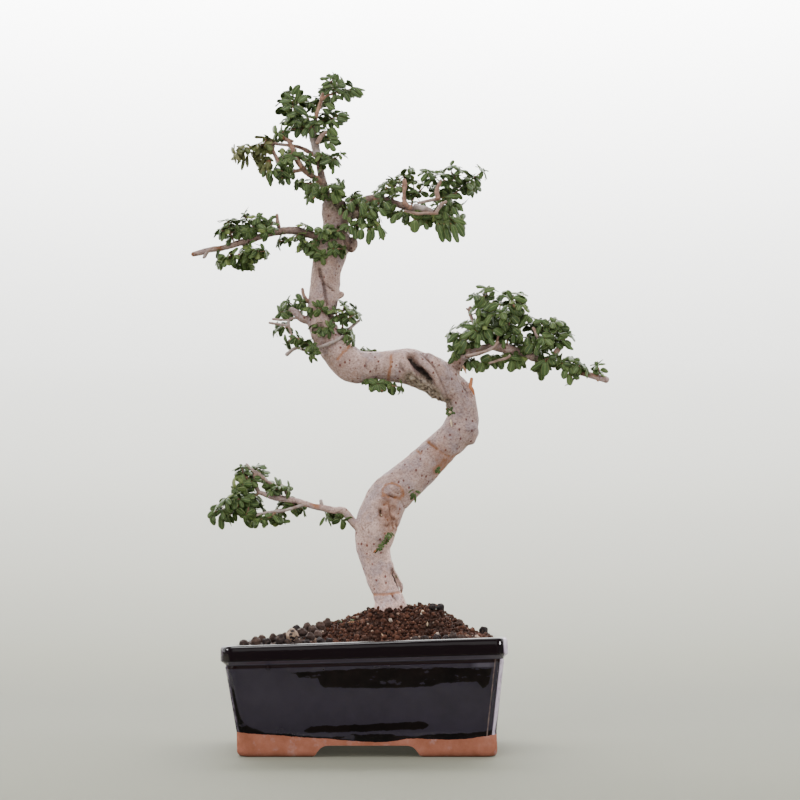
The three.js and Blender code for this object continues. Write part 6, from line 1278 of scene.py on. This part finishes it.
def make_soil(material):
    """The body of the soil, and the loose grains that cover it."""
    edge = rounded_ring(wall_inset(SOIL_TOP) + WALL + SOIL_GAP, SOIL_TOP)
    rings = [rounded_ring(wall_inset(SOIL_FOOT) + WALL + SOIL_GAP, SOIL_FOOT), edge]
    for share in np.linspace(0, 0.97, 34):
        ring = edge * (1 - share) + np.array([MOUND["x"], MOUND["y"], 0]) * share
        ring[:, 2] = soil_height(ring[:, 0], ring[:, 1]) / (1 + LEAN * ring[:, 0] / POT_HEIGHT) - CRUST
        ring[:, 2] += 0.8 * noise(ring, 4, 2)
        rings.append(ring)
    points, faces = closed_skin(rings, (0, 0, SOIL_FOOT), (MOUND["x"], MOUND["y"], rings[-1][:, 2].mean()))
    body = new_object("soil_body", lean(points), faces, material, own=np.full(len(points), 0.3))
    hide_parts("soil")
    made = [body]
    random = np.random.default_rng(7)
    for name, detail, low, high in GRAIN_LAYERS:
        places, sizes = [], []
        for row, y in enumerate(np.arange(low, high, GRAIN_STEP * 0.87)):
            for x in np.arange(-92, 93, GRAIN_STEP):
                px = x + (row % 2) * GRAIN_STEP / 2 + random.normal(0, 0.6)
                py = y + random.normal(0, 0.6)
                outside = abs(py) > GRAINS_REACH or px < GRAINS_LEFT or px > GRAINS_RIGHT
                if outside or random.random() < SKIPPED:
                    continue
                under_pellets = px < -44 and abs(py + 30) < 32
                if under_pellets and random.random() < SKIPPED_UNDER_PELLETS:
                    continue
                size = random.choice(GRAIN_SIZES, p=GRAIN_SHARES)
                places.append((px, py, soil_height(px, py) + size * random.uniform(-0.3, 0.4)))
                sizes.append(size)
        points, triangles, own = lumps_of(places, sizes, detail, random, 0.3, 0.7)
        made.append(new_object(name, points, triangles, material, own=own))
    return made


def make_pellets(material):
    """A bed of pellets in the front left corner, and the ones that lie on it and elsewhere."""
    random = np.random.default_rng(21)
    step_x, step_y = BED_STEPS
    places, sizes = [], []
    for row in range(9):
        for column in range(9):
            x = -86 + column * step_x + (row % 2) * 3.4 + random.normal(0, 0.7)
            y = -57 + row * step_y + random.normal(0, 0.7)
            if x > -38 + 0.2 * (y + 58):
                continue
            places.append((x, y, soil_height(x, y) + random.uniform(-0.6, 0.8)))
            sizes.append(random.uniform(5.6, 7.4))
    low = lumps_of(places, sizes, 3, random, 0.22, 0.78)
    lying = [on_soil(p[:3], p[3] * 0.5 + (BED_DEPTH if p[0] < -40 else 0.4)) for p in PELLETS]
    points, faces, own = lumps_of(lying, [p[3] for p in PELLETS], 4, random, 0.24, 0.8)
    which = np.arange(len(own)) // (len(own) // len(PELLETS))
    own = np.concatenate([low[2], np.where(which == PALE_PELLET, 1, own * 0.8)])
    pellets = new_object("clay_pellets_loose", *joined([low[:2], (points, faces)]), material, own=own)
    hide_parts("clay_pellets")
    return pellets


# ---------------------------------------------------------------- wood

# Knobs on the trunk, as centre, semi-axes and direction of the long one.
LUMPS = [
    ((-12, 3, 382), (6.5, 4.5, 4.5), (0.2, 0, 1)),
    ((-22, -1, 341), (4.5, 3.5, 3), (1, 0, 0.4)),
    ((77, 8, 236), (7, 6, 6), (0.3, 0, 1)),
    ((16, -12, 178), (7, 5, 5), (0.2, 0, 1)),
    ((24, -8, 189), (6, 5, 4.5), (1, 0, 0.6)),
    ((10, -14, 170), (5, 4.5, 4), (0, 0, 1)),
    ((44, -9, 283), (11, 4.5, 4), (1, 0, -0.8)),
    ((54, -8, 285), (14, 4, 4.5), (1, 0, -1.1)),
    ((20, 3, 121), (9, 4, 4.5), (0.25, 0, -1)),
]
# The bark that has lifted off the trunk's foot, as x, y, z, radius.
FLAP = [(17.5, -3, 136, 2.5), (19.8, -5, 130.8, 1.9), (22.6, -5.5, 125.6, 1.7), (25, -5.5, 120.6, 1.8),
        (26.1, -5, 116.6, 1.5), (26.2, -4, 113.8, 0.9)]
# Limbs in the trunk's own skin, and how much thicker they are there.
THICK = ("leader", "right_top", "left_top", "tangle", "tangle_low", "right_low", "low_left", "knob")
THICKER = 0.25
VOXEL = 0.00085  # in metres
# How strongly each kind of mark colours the bark: dark, orange, dead wood. A hole's near black is painted
# shade in its hollow, and the dark of the dark marks is partly painted shade in cracks and grooves.
MARK_COLOURS = {"dark": (0.75, 0, 0), "hole": (1, 0, 0), "wire": (0, 0.85, 0), "stain": (0, 0.42, 0),
                "dead": (0.4, 0, 1), "": (0, 0, 0)}
# The knobbed scar's centre and semi-axes.
KNOBBED_SCAR, SCAR_AXES = (15, -14, 180), (15, 12, 20)
# Small bare twigs, as points, radii and age.
BARE_TWIGS = [
    ([(79.1, -4, 331.4), (79.2, -4, 326.7), (81, -4, 320.5), (81.8, -3, 313.7)], [1, 0.9, 1.2], 0.4),
    ([(76.1, -5, 330), (77.9, -5, 328.1), (79.3, -4, 325.9)], [0.8, 0.7, 0.8], 0.4),
]


def length_of(rows):
    return np.linalg.norm(np.diff(rows, axis=0), axis=1).sum()


def limb_points(rows):
    """Centres and radii close together along a limb."""
    rows = np.asarray(rows, float)
    fine = curve_points(rows, max(8, int(length_of(rows[:, :3]) / 1.2)))
    return fine[:, :3], fine[:, 3]


def make_wood(material):
    """Trunk and thick limbs as one closed skin, with the marks on it."""
    parts = [tube(*limb_points(TRUNK), 40, False)]
    base, triangles = ball(3)
    for at, axes, along in LUMPS:
        turn = Vector((1, 0, 0)).rotation_difference(Vector(along)).to_matrix()
        parts.append((base * axes @ np.array(turn).T + at, triangles))
    parts.append(tube(*limb_points(FLAP), 12))
    for name in THICK:
        centres, radii = limb_points(LIMBS[name])
        bumps = 0.12 * np.sin(np.arange(len(radii)) * 1.9) * noise(centres, 6, 4)
        parts.append(tube(centres, (radii + THICKER) * (1 + bumps), 14))
    rough = new_object("rough_wood", *joined(parts))
    remesh = rough.modifiers.new("remesh", "REMESH")
    remesh.mode, remesh.voxel_size = "VOXEL", VOXEL
    smooth = rough.modifiers.new("smooth", "SMOOTH")
    smooth.factor, smooth.iterations = 0.5, 3
    baked(rough)
    mesh = rough.data
    points = vectors_of(mesh.vertices, "co").astype(float) * 1000 - (POT_MIDDLE, 0, 0)
    normals = vectors_of(mesh.vertex_normals, "vector").astype(float)
    faces = np.array([p.vertices[:] for p in mesh.polygons if len(p.vertices) == 4])
    bpy.data.objects.remove(rough)
    push, marks = stroke_marks(points, normals)
    push += 0.35 * noise(points, 7, 1) + 0.2 * noise(points, 2.8, 2)
    wood = new_object("trunk_wood", points + normals * push[:, None], faces, material, marks=marks)
    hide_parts("trunk")
    return wood


def stroke_marks(points, normals):
    """How far each place of the wood is pushed by the marks on it, and how strongly it is coloured."""
    push = np.zeros(len(points))
    marks = np.zeros((len(points), 3))
    front = smooth_step((0.35 - normals[:, 1]) / 0.4)
    seen = points[:, [0, 2]]
    for kind, width, depth, line in STROKES:
        near = np.full(len(points), 1e9)
        for (ax, az), (bx, bz) in zip(line, line[1:]):
            ab = np.array([bx - ax, bz - az])
            t = np.clip(((seen - (ax, az)) @ ab) / (ab @ ab), 0, 1)
            near = np.minimum(near, np.linalg.norm(seen - ((ax, az) + t[:, None] * ab), axis=1))
        if kind:
            near = near + 0.5 * noise(points, 2.5, 6)
        weight = smooth_step(1.35 - near / width * 0.8) * front
        push += depth * weight
        marks = np.maximum(marks, weight[:, None] * MARK_COLOURS[kind])
        if kind == "dead":
            push += 0.9 * weight * noise(points, 2.2, 7)
    knob = smooth_step(1.4 - np.linalg.norm((points - KNOBBED_SCAR) / SCAR_AXES, axis=1)) * front
    push += knob * (1.3 * noise(points, 5, 9) + 0.5 * noise(points, 2.2, 10))
    marks[:, 0] = np.maximum(marks[:, 0], knob * 0.5 * smooth_step(noise(points, 4, 11) + 0.2))
    return push, marks


def twig_tube(control, radii, sides):
    """A thin twig with small swellings where its leaves sit."""
    rows = np.asarray(control, float)[:, :3]
    length = length_of(rows)
    count = max(6, int(length / 1.1))
    centres = curve_points(rows, count)
    share = np.linspace(0, 1, count + 1)
    size = np.interp(share, np.linspace(0, 1, len(radii)), radii)
    shake = np.stack([noise(centres, 4, k) for k in range(3)], 1)
    centres = centres + 0.22 * shake * smooth_step(share * 6)[:, None]
    size = size * (1 + 0.16 * np.sin(share * length * 1.6) ** 4 + 0.12 * noise(centres, 3, 5))
    return tube(centres, size, sides)


def make_limbs(material):
    """Limbs too thin for the trunk's own skin, and the bare twigs."""
    parts = []
    for name, rows in LIMBS.items():
        if name not in THICK:
            young = any(word in name for word in ("apex", "stub", "twig", "end"))
            parts.append((*twig_tube(rows, [row[3] for row in rows], 12), 0.2 if young else 0.8))
    parts += [(*twig_tube(line, radii, 8), age) for line, radii, age in BARE_TWIGS + FRONT_TWIGS]
    points, faces, ages = numbered(parts)
    return new_object("limbs_thin", points, faces, material, age=ages)


# ---------------------------------------------------------------- twigs and leaves

PAIR_STEP, ROSETTE_STEP = 12, 5.6      # along a twig, for the CAD part's pairs of leaves and for the rosettes
LEAFY_RADII, BARE_RADII = [0.85, 0.65, 0.45], [1.2, 1, 0.9]
SUNNY_SIDE = np.array((0, -0.65, 0.76))
LEAF_HALF, LEAF_THICK = 0.26, 0.32     # half width as a share of the length, and thickness
# Rows across a leaf, as share along it and of its half width.
BLADE_ROWS = np.array([(0, 0.07), (0.1, 0.1), (0.27, 0.66), (0.5, 1), (0.74, 1), (0.92, 0.6)])
BLADE_COLUMNS = np.array([-1, -0.5, 0, 0.5, 1])
# Sprays with bronze leaves, and how much paler or darker than the others some are.
BRONZE = {"far_left": 0.75}
PALE = {"left_near_b": 0.1, "left_hang": 0.12, "right_end_hang": 0.12, "right_under": 0.15,
        "right_top_below": 0.15, "crown": -0.2, "leader_right": -0.15, "leader_right_base": -0.15,
        "leader_right_low": -0.12, "upper_left": -0.15, "tangle_top": -0.1, "tangle_low": -0.1,
        "right_tall_a": -0.05, "right_tall_b": -0.05}
# Small tufts: x and z on the trunk's front, or a place on the soil, then direction, leaf length and count.
TUFTS = [
    ((64.2, 251.6), (-0.3, -1, 0.1), 5.4, 9), ((52.6, 206.3), (0.1, -1, 0), 4.2, 6),
    ((22.6, 126.6), (0.6, -1, 0.4), 2, 3), ((-22.9, -22, 92.8), (0, -0.4, 1), 2.6, 4),
    ((-9, -30, 94.6), (0.2, -0.4, 1), 2.6, 3), ((-18.5, -22, 93), (0.4, -0.2, 1), 2.2, 3),
]
# Loose bits: points of a middle line (x and z on the trunk's front, or x, y, z), radius and colour number.
SCRAPS = [
    ([(63.6, 244.6), (64, 242), (64.4, 239.4)], 1, 0.9),
    ([(62.9, -2, 250.9), (63.4, -2.6, 249.6)], 1.2, 0.95),
    ([(179, -0.5, 277.8), (182, -0.6, 276.5), (184.4, -0.5, 275.3)], 2.3, 0.55),
    ([(180.6, -1, 274.6), (182.8, -1, 273)], 0.9, 0.6), ([(175.8, -2, 276), (176.4, -2.2, 273.8)], 1.1, 0),
    ([(73.2, -5, 285.4), (74.4, -5.6, 282.6), (75.4, -5, 279.8)], 1.2, 0.4),
    ([(10.9, 171.6), (11.5, 170.7)], 0.6, 0.95), ([(5.4, 143.6), (7.4, 145.8)], 0.9, 0),
    ([(44.7, -40, 90.1), (44.9, -40.5, 93)], 0.7, 0.9), ([(24.3, -52, 86.9), (25.6, -52.5, 86.4)], 0.9, 0.9),
    ([(12.2, -60, 84.9), (13.6, -60.5, 83), (15.4, -60, 82)], 0.9, 0.6),
    ([(84.6, -58, 84.6), (86.6, -58.3, 83.2)], 0.6, 0.9),
    ([(48.5, -25, 98.7), (49.4, -25.6, 98.2)], 0.7, 0.9),
    ([(33, -16, 108.6), (35.2, -17, 106.2), (37, -17, 104.8)], 0.5, 0.45),
    ([(-14, -45, 92.4), (-10, -46, 93), (-6, -45, 93.2), (-2, -44, 94.6)], 0.55, 0.3),
    ([(41.2, -26, 101), (42, -27, 99.4)], 1.3, 0.7),
]
SCRAPS_ON_SOIL_UNDER = 115
FLAKE = [(79.7, -3, 276), (79.2, -3.4, 273), (78.8, -3.4, 269.9), (80.6, -2.8, 267), (81.6, -2, 264)]


def leaf_round(axis, angle, tilt, droop):
    """The direction and the upper side of a leaf that stands round an axis."""
    first = unit(np.cross(axis, (0.31, 0.2, 0.9)))
    out = first * math.cos(angle) + np.cross(axis, first) * math.sin(angle)
    along = unit(axis * math.cos(tilt) + out * math.sin(tilt) - (0, 0, droop))
    return along, square_to(axis * math.sin(tilt) - out * math.cos(tilt), along)


class Spray:
    """The twigs of one spray and the leaves on them."""

    def __init__(self, name, index):
        self.leaf, self.droop, bare, shared, added = SPRAYS[name]
        self.random = seeded_random(1000 + 37 * index)
        next(self.random), next(self.random)
        self.extra = np.random.default_rng(500 + index)
        self.light = np.array([0, -0.75 if shared[0][-1][1] < 0 else 0.75, 0.66])
        self.stems, self.leaves = [], []
        for stems, leafy, in_cad in ((bare, False, True), (shared, True, True), (added, True, False)):
            for points in stems:
                curve = self.add_stem(points, leafy)
                if leafy:
                    self.grow(curve, in_cad)

    def add_stem(self, points, leafy):
        """A twig that starts on the nearest place of the ones before it."""
        points = [list(p) for p in points]
        if self.stems:
            there = np.concatenate([stem[0].points for stem in self.stems])
            nearest = np.argmin(np.linalg.norm(there - np.array(points[0], float), axis=1))
            points[0] = list(there[nearest])
        curve = Curve(points)
        self.stems.append((curve, points, leafy))
        return curve

    def spread(self, tangent):
        across = np.cross(tangent, self.light)
        if np.linalg.norm(across) < 0.3:
            across = np.array([1.0, 0, 0]) - tangent * tangent[0]
        return unit(across)

    def leaf_at(self, curve, share, side, scale, arch=None):
        """A leaf on one side of a twig, or in line with it at its tip, as in the CAD part."""
        tangent = curve.tangent(share)[0]
        spread = self.spread(tangent)
        angle = 0 if side == 0 else 0.95 + 0.3 * (next(self.random) - 0.5)
        along = tangent * math.cos(angle) + spread * side * math.sin(angle)
        along[2] -= self.droop * (0.3 + 0.5 * next(self.random))
        along = unit(along)
        up = square_to(np.cross(spread, tangent) + self.light * 0.5, along)
        up = rolled(up, along, 0.8 * (next(self.random) - 0.5))
        length = self.leaf * (0.9 + 0.3 * next(self.random)) * scale
        self.leaves.append((curve.at(share)[0], along, up, length, arch or self.extra.uniform(0.2, 0.36)))

    def rosette(self, curve, share, count, size):
        """Leaves round one node of a twig, arched outward and down."""
        random = self.extra
        at_tip = share > 0.95
        tangent = curve.tangent(share)[0]
        axis = unit(tangent * (0.8 if at_tip else 0.3) + SUNNY_SIDE * (0.55 if at_tip else 0.9)
                    + random.normal(0, 0.3, 3))
        start = random.uniform(0, 2 * math.pi)
        for k in range(count):
            angle = start + 2 * math.pi * k / count + random.normal(0, 0.3)
            along, up = leaf_round(axis, angle, random.uniform(0.75, 1.5), 0.2 * self.droop)
            up = rolled(up, along, random.normal(0, 0.3))
            length = size * random.uniform(0.7, 1.08)
            self.leaves.append((curve.at(share)[0], along, up, length, random.uniform(0.3, 0.55)))

    def grow(self, curve, in_cad):
        """The CAD part's own leaves where it has the twig too, and rosettes along the twig."""
        if in_cad:
            pairs = max(1, round(curve.length * 0.75 / PAIR_STEP))
            for k in range(pairs):
                share = 0.25 + 0.75 * (k + 0.3) / pairs + 1.1 / curve.length
                self.leaf_at(curve, share, 1, 0.88)
                self.leaf_at(curve, share, -1, 0.88)
            self.leaf_at(curve, 1, 0, 0.6, 0.4)
        size = min(self.leaf, 10.5) * 0.96
        self.rosette(curve, 1, 7, size)
        count = int(curve.length * 0.86 / ROSETTE_STEP)
        for k in range(count):
            share = 0.1 + 0.8 * (k + self.extra.uniform(0.25, 0.75)) / count
            self.rosette(curve, share, 6, size * 0.95)


def blade():
    """One leaf's mesh: share along it, place across it, column, lift in thicknesses, and triangles."""
    places, faces, index = [], [], {}
    last = len(BLADE_ROWS) - 1
    for face in (1, -1):
        for row, (t, w) in enumerate(BLADE_ROWS):
            for column, c in enumerate(BLADE_COLUMNS):
                if abs(c) == 1 and face == -1:
                    index[face, row, column] = index[1, row, column]
                    continue
                index[face, row, column] = len(places)
                places.append((t, c * w, c, face * (0.5 if abs(c) < 1 else 0)))
    for face in (1, -1):
        for row in range(last):
            for column in range(4):
                a, b = index[face, row, column], index[face, row, column + 1]
                c, d = index[face, row + 1, column + 1], index[face, row + 1, column]
                quad = [[a, b, c], [a, c, d]] if column < 2 else [[a, b, d], [b, c, d]]
                faces += quad if face == 1 else [q[::-1] for q in quad]
    tip, foot = len(places), len(places) + 1
    places += [(1, 0, 0, 0), (-0.01, 0, 0, 0)]
    for face in (1, -1):
        for column in range(4):
            faces.append([index[face, last, column], index[face, last, column + 1], tip][::face])
            faces.append([index[face, 0, column + 1], index[face, 0, column], foot][::face])
    return np.array(places), np.array(faces)


def make_leaves(name, leaves, random, material, bronze=0, pale=0, halves=None, tones_with_painted_light=None):
    """Leaves as one object with what their colour needs; halves fix their widths, and given values fix how
    dark or pale each one is, which for the front leaves is partly painted light and shade.
    """
    shape, faces = blade()
    count = len(leaves)
    each = (count, 1, 1)
    base, along, up = (np.array([leaf[k] for leaf in leaves])[:, None] for k in range(3))
    length, arch = (np.array([leaf[k] for leaf in leaves])[:, None, None] for k in (3, 4))
    side = np.cross(up, along)
    t, w, lift = (shape[:, k][None, :, None] for k in (0, 1, 3))
    half = length * LEAF_HALF * random.uniform(0.88, 1.14, each)
    if halves is not None:
        half = np.array(halves)[:, None, None]
    fold = random.uniform(-0.35, 0.12, each)
    wave = 0.04 * length * np.sin(t * 9 + random.uniform(0, 6, each)) * w * np.abs(w)
    rise = 0.12 * length * np.sin(math.pi * np.minimum(t * 1.6, 1)) + fold * half * w * w
    rise = rise - arch * length * np.maximum(t, 0) ** 2.2 + wave + lift * LEAF_THICK
    forward = length * t * (1 - 0.35 * arch * t)
    points = base + along * forward + side * w * half + up * rise
    points = points + side * random.normal(0, 0.08, each) * length * t * t
    triangles = faces[None] + np.arange(count)[:, None, None] * len(shape)
    tint = np.stack([np.clip(random.normal(0.45 + pale, 0.24, count), 0, 1),
                     bronze * random.uniform(0.3, 1, count),
                     (random.random(count) < 0.015) * 1.0], 1)
    if tones_with_painted_light is not None:
        tint[:, 0] = tones_with_painted_light
    return new_object(name, points.reshape(-1, 3), triangles.reshape(-1, 3), material,
                      blade=np.tile(shape[:, [0, 2, 3]], (count, 1)), tint=np.repeat(tint, len(shape), 0))


def make_sprays(leaf, bark):
    """The leaves of each spray, and all their twigs as one piece."""
    made, parts = [], []
    for index, name in enumerate(SPRAYS):
        spray = Spray(name, index)
        random = np.random.default_rng(900 + index)
        piece = make_leaves("leaves_" + name, spray.leaves, random, leaf, BRONZE.get(name, 0),
                            PALE.get(name, 0))
        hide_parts(name)
        made.append(piece)
        for _, control, leafy in spray.stems:
            radii, age = (LEAFY_RADII, 0.1) if leafy else (BARE_RADII, 0.6)
            parts.append((*twig_tube(control, radii, 7), age))
    points, faces, ages = numbered(parts)
    return made, new_object("twigs", points, faces, bark, age=ages)


def front_of(wood, x, z):
    """The place on the front of the wood seen at x, z."""
    graph = bpy.context.evaluated_depsgraph_get()
    start = Vector(((x + POT_MIDDLE) / 1000, -0.2, z / 1000))
    hit, where = wood.ray_cast(start, Vector((0, 1, 0)), depsgraph=graph)[:2]
    return np.array([x, where.y * 1000 if hit else 0.0, z])


def make_tufts(material, wood):
    """Small tufts of young leaves on the trunk and on the soil."""
    random = np.random.default_rng(77)
    leaves = []
    for base, axis, size, count in TUFTS:
        base = front_of(wood, *base) if len(base) == 2 else on_soil(base, 0.8)
        axis = unit(np.array(axis, float))
        for k in range(count):
            angle = 2 * math.pi * (k + random.uniform(-0.3, 0.3)) / count
            along, up = leaf_round(axis, angle, random.uniform(0.6, 1.25), 0.25)
            length = size * random.uniform(0.75, 1.1)
            leaves.append((base - axis * 0.5, along, up, length, random.uniform(0.25, 0.5)))
    return make_leaves("leaves_tufts", leaves, random, material, pale=-0.15)


def make_single_leaves(material, wood):
    """The leaves that stand out from the front, each at its own place."""
    random = np.random.default_rng(41)
    leaves = []
    for x0, z0, x1, z1, _, depth, _ in SINGLE_LEAVES:
        if depth is None:
            foot, reach = front_of(wood, x0, z0), -1.5
        else:
            foot, reach = np.array((x0, depth + 5, z0)), -5
        tip = np.array((x1, foot[1] + reach, z1))
        along = unit(tip - foot)
        up = square_to(np.array((random.uniform(-0.3, 0.3), -1, random.uniform(0.1, 0.6))), along)
        leaves.append((foot, along, up, float(np.linalg.norm(tip - foot)) * 1.06, random.uniform(0.15, 0.4)))
    halves, tones_with_painted_light = ([leaf[k] for leaf in SINGLE_LEAVES] for k in (4, 6))
    bronze = np.array([0.7 if leaf[0] < -74 and leaf[1] > 450 else 0.0 for leaf in SINGLE_LEAVES])
    return make_leaves("leaves_front", leaves, random, material, bronze, halves=halves, tones_with_painted_light=tones_with_painted_light)


def make_scraps(material, wood):
    """Pale bracts, husks and dry bits of twig, laid on the trunk or on the soil."""
    parts = []
    for line, radius, own in SCRAPS:
        if len(line[0]) == 2:
            line = [front_of(wood, *p) - (0, radius * 0.4, 0) for p in line]
        elif line[0][2] < SCRAPS_ON_SOIL_UNDER:
            shift = on_soil(line[0], radius + 0.6) - line[0]
            line = [np.array(p) + shift for p in line]
        radii = np.interp(np.linspace(0, 1, 9), [0, 0.5, 1], [0.5 * radius, radius, 0.35 * radius])
        parts.append((*tube(curve_points(line, 8), radii, 6), own))
    points, faces, own = numbered(parts)
    return new_object("loose_scraps", points, faces, material, own=own)


def make_flake(material):
    """A curled flake of orange bark that stands off the trunk."""
    centres = curve_points(FLAKE, 16)
    radii = np.interp(np.linspace(0, 1, 17), [0, 0.3, 0.6, 1], [1.2, 1.45, 1.35, 0.7])
    points, faces = tube(centres, radii, 8)
    middle = centres[:, 1].mean()
    points[:, 1] = middle + (points[:, 1] - middle) * 0.5
    return new_object("bark_flake", points, faces, material, own=np.full(len(points), 0.1))


# ---------------------------------------------------------------- stage

# The floor's front end, where it turns up, the turn's radius, the wall's top and half its width.
FLOOR_FRONT, TURN_FROM, TURN_RADIUS, WALL_TOP, FLOOR_HALF = -900, 500, 400, 1800, 2600
# Lights as name, place, target, size and power, in metres and watts.
LIGHTS = [
    ("key", (-0.45, -0.95, 1.45), (0, 0, 0.25), (0.8, 0.8), 19.5),
    ("top", (0.15, -0.1, 1.6), (0, 0, 0.1), (0.9, 0.9), 9),
    ("side_left", (-1.2, 0.15, 0.6), (0, 0, 0.25), (1, 1.1), 9),
    ("side_right", (1.2, 0.15, 0.6), (0, 0, 0.25), (1, 1.1), 12),
    ("front", (0.1, -1.5, 0.4), (0, 0, 0.2), (1.2, 0.5), 5),
    ("spark_left", (-0.93, -0.6, 0.33), (-0.1, -0.07, 0.07), (0.2, 0.2), 4.5),
    ("spark_right", (0.85, -0.72, 0.24), (0.1, -0.07, 0.07), (0.2, 0.2), 4.5),
    ("back", (0, 0.45, 1.3), (0, 0.9, 1.3), (2.4, 0.5), 120),
]
# The room's colour and light, and how much brighter the camera sees it.
ROOM_COLOUR, ROOM_LIGHT, ROOM_SEEN = (0.93, 0.95, 1, 1), 0.18, 0.55
LENS, PITCH = 66.6, 97.3


def floor_material():
    """Pale paper with painted light: its colour brightens upward and backward, and it glows a little in that
    colour so that shadows on it stay light; it can't be seen from its back.
    """
    s = Shader("floor", 0.7, Specular_IOR_Level=0.2, Emission_Strength=0.25)
    _, y, z = s.parts(s.place)
    # Painted light: darker low down and lighter upward and backward, as the light on the floor and wall falls
    # off.
    painted_light_tone = s.ramp(z, (0, (0.235, 0.235, 0.198)), (0.033, (0.27, 0.27, 0.226)), (0.1, (0.34, 0.34, 0.293)),
                  (0.21, (0.465, 0.465, 0.415)), (0.32, (0.64, 0.642, 0.59)), (0.43, (0.81, 0.812, 0.78)),
                  (0.7, (0.94, 0.942, 0.93)), (0.95, (0.98, 0.98, 0.978)))
    front = s.ramp(s.math("ADD", y, 0.5), (0.2, (0.66, 0.66, 0.585)), (0.55, (0.8, 0.8, 0.755)),
                   (0.97, (1, 1, 1)))
    painted_light_tone = s.mix(1.0, painted_light_tone, front, "MULTIPLY")
    s.set("Base Color", painted_light_tone)
    # Painted light: the floor glows a little in this colour, which keeps the shadows on it light.
    s.set("Emission Color", painted_light_tone)
    s.set("Alpha", s.rest(s.node("ShaderNodeNewGeometry").outputs["Backfacing"]))
    return s.material


def make_floor():
    """A pale floor that turns up into a wall far behind the object."""
    turn = np.linspace(0.1, math.pi / 2, 16)
    profile = [(FLOOR_FRONT, 0), (TURN_FROM, 0)]
    profile += [(TURN_FROM + TURN_RADIUS * math.sin(a), TURN_RADIUS * (1 - math.cos(a))) for a in turn]
    profile += [(TURN_FROM + TURN_RADIUS, WALL_TOP)]
    points = [(x / 1000, y / 1000, z / 1000) for y, z in profile for x in (-FLOOR_HALF, FLOOR_HALF)]
    mesh = bpy.data.meshes.new("floor")
    faces = [(2 * k, 2 * k + 1, 2 * k + 3, 2 * k + 2) for k in range(len(profile) - 1)]
    mesh.from_pydata(points, [], faces)
    mesh.polygons.foreach_set("use_smooth", [True] * len(faces))
    mesh.materials.append(floor_material())
    floor = bpy.data.objects.new("floor", mesh)
    bpy.context.scene.collection.objects.link(floor)


def make_lights():
    """The lamps, and a room that is brighter where the camera sees it."""
    for name, place, target, size, power in LIGHTS:
        data = bpy.data.lights.new(name, "AREA")
        data.shape = "RECTANGLE"
        data.size, data.size_y = size
        data.energy = power
        lamp = bpy.data.objects.new(name, data)
        lamp.location = place
        lamp.visible_camera = False
        lamp.rotation_euler = (Vector(target) - Vector(place)).to_track_quat("-Z", "Y").to_euler()
        bpy.context.scene.collection.objects.link(lamp)
    world = bpy.data.worlds.new("room")
    world.use_nodes = True
    tree = world.node_tree
    background = tree.nodes["Background"].inputs
    background["Color"].default_value = ROOM_COLOUR
    strength = tree.nodes.new("ShaderNodeMath")
    strength.operation = "MULTIPLY_ADD"
    tree.links.new(tree.nodes.new("ShaderNodeLightPath").outputs["Is Camera Ray"], strength.inputs[0])
    strength.inputs[1].default_value, strength.inputs[2].default_value = ROOM_SEEN, ROOM_LIGHT
    tree.links.new(strength.outputs[0], background["Strength"])
    bpy.context.scene.world = world


def make_camera():
    """The camera where the photo was taken from."""
    data = bpy.data.cameras.new("camera")
    data.lens, data.sensor_width = LENS, 36
    camera = bpy.data.objects.new("camera", data)
    camera.location = (EYE + (POT_MIDDLE, 0, 0)) / 1000
    camera.rotation_euler = (math.radians(PITCH), 0, 0)
    bpy.context.scene.collection.objects.link(camera)
    bpy.context.scene.camera = camera


# ---------------------------------------------------------------- scene

bark, leaf, twig = bark_material(), leaf_material(), twig_material()

pot = make_pot(glaze_material())
soil = make_soil(grain_material())
pellets = make_pellets(pellet_material())
base, triangles = ball(4)
drip = new_object("glaze_drip", base * (1.7, 0.9, 1.5) + (-67.2, -72.8, 62), triangles, pot.data.materials[0])
wood = make_wood(bark)
limbs = make_limbs(twig)
sprays, twigs = make_sprays(leaf, twig)
tufts = make_tufts(leaf, wood)
single_leaves = make_single_leaves(leaf, wood)
scraps = make_scraps(scrap_material("loose_scraps", (0.3, 0.13, 0.06), (0.62, 0.5, 0.34)), wood)
flake = make_flake(scrap_material("bark_flake", (0.4, 0.15, 0.07), (0.5, 0.2, 0.08)))

for slot, pieces in (("glazed_ceramic", [pot, drip]), ("fired_clay", [pellets]),
                     ("bark", [wood, limbs, twigs]), ("foliage", [tufts, single_leaves]),
                     ("bark", [scraps, flake]), ("akadama", soil), ("foliage", sprays)):
    for piece in pieces:
        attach(piece, "root")
net = net_material()
for name in ("drain_mesh_left", "drain_mesh_right"):
    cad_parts[name].data.materials.clear()
    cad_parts[name].data.materials.append(net)

make_floor()
make_lights()
make_camera()
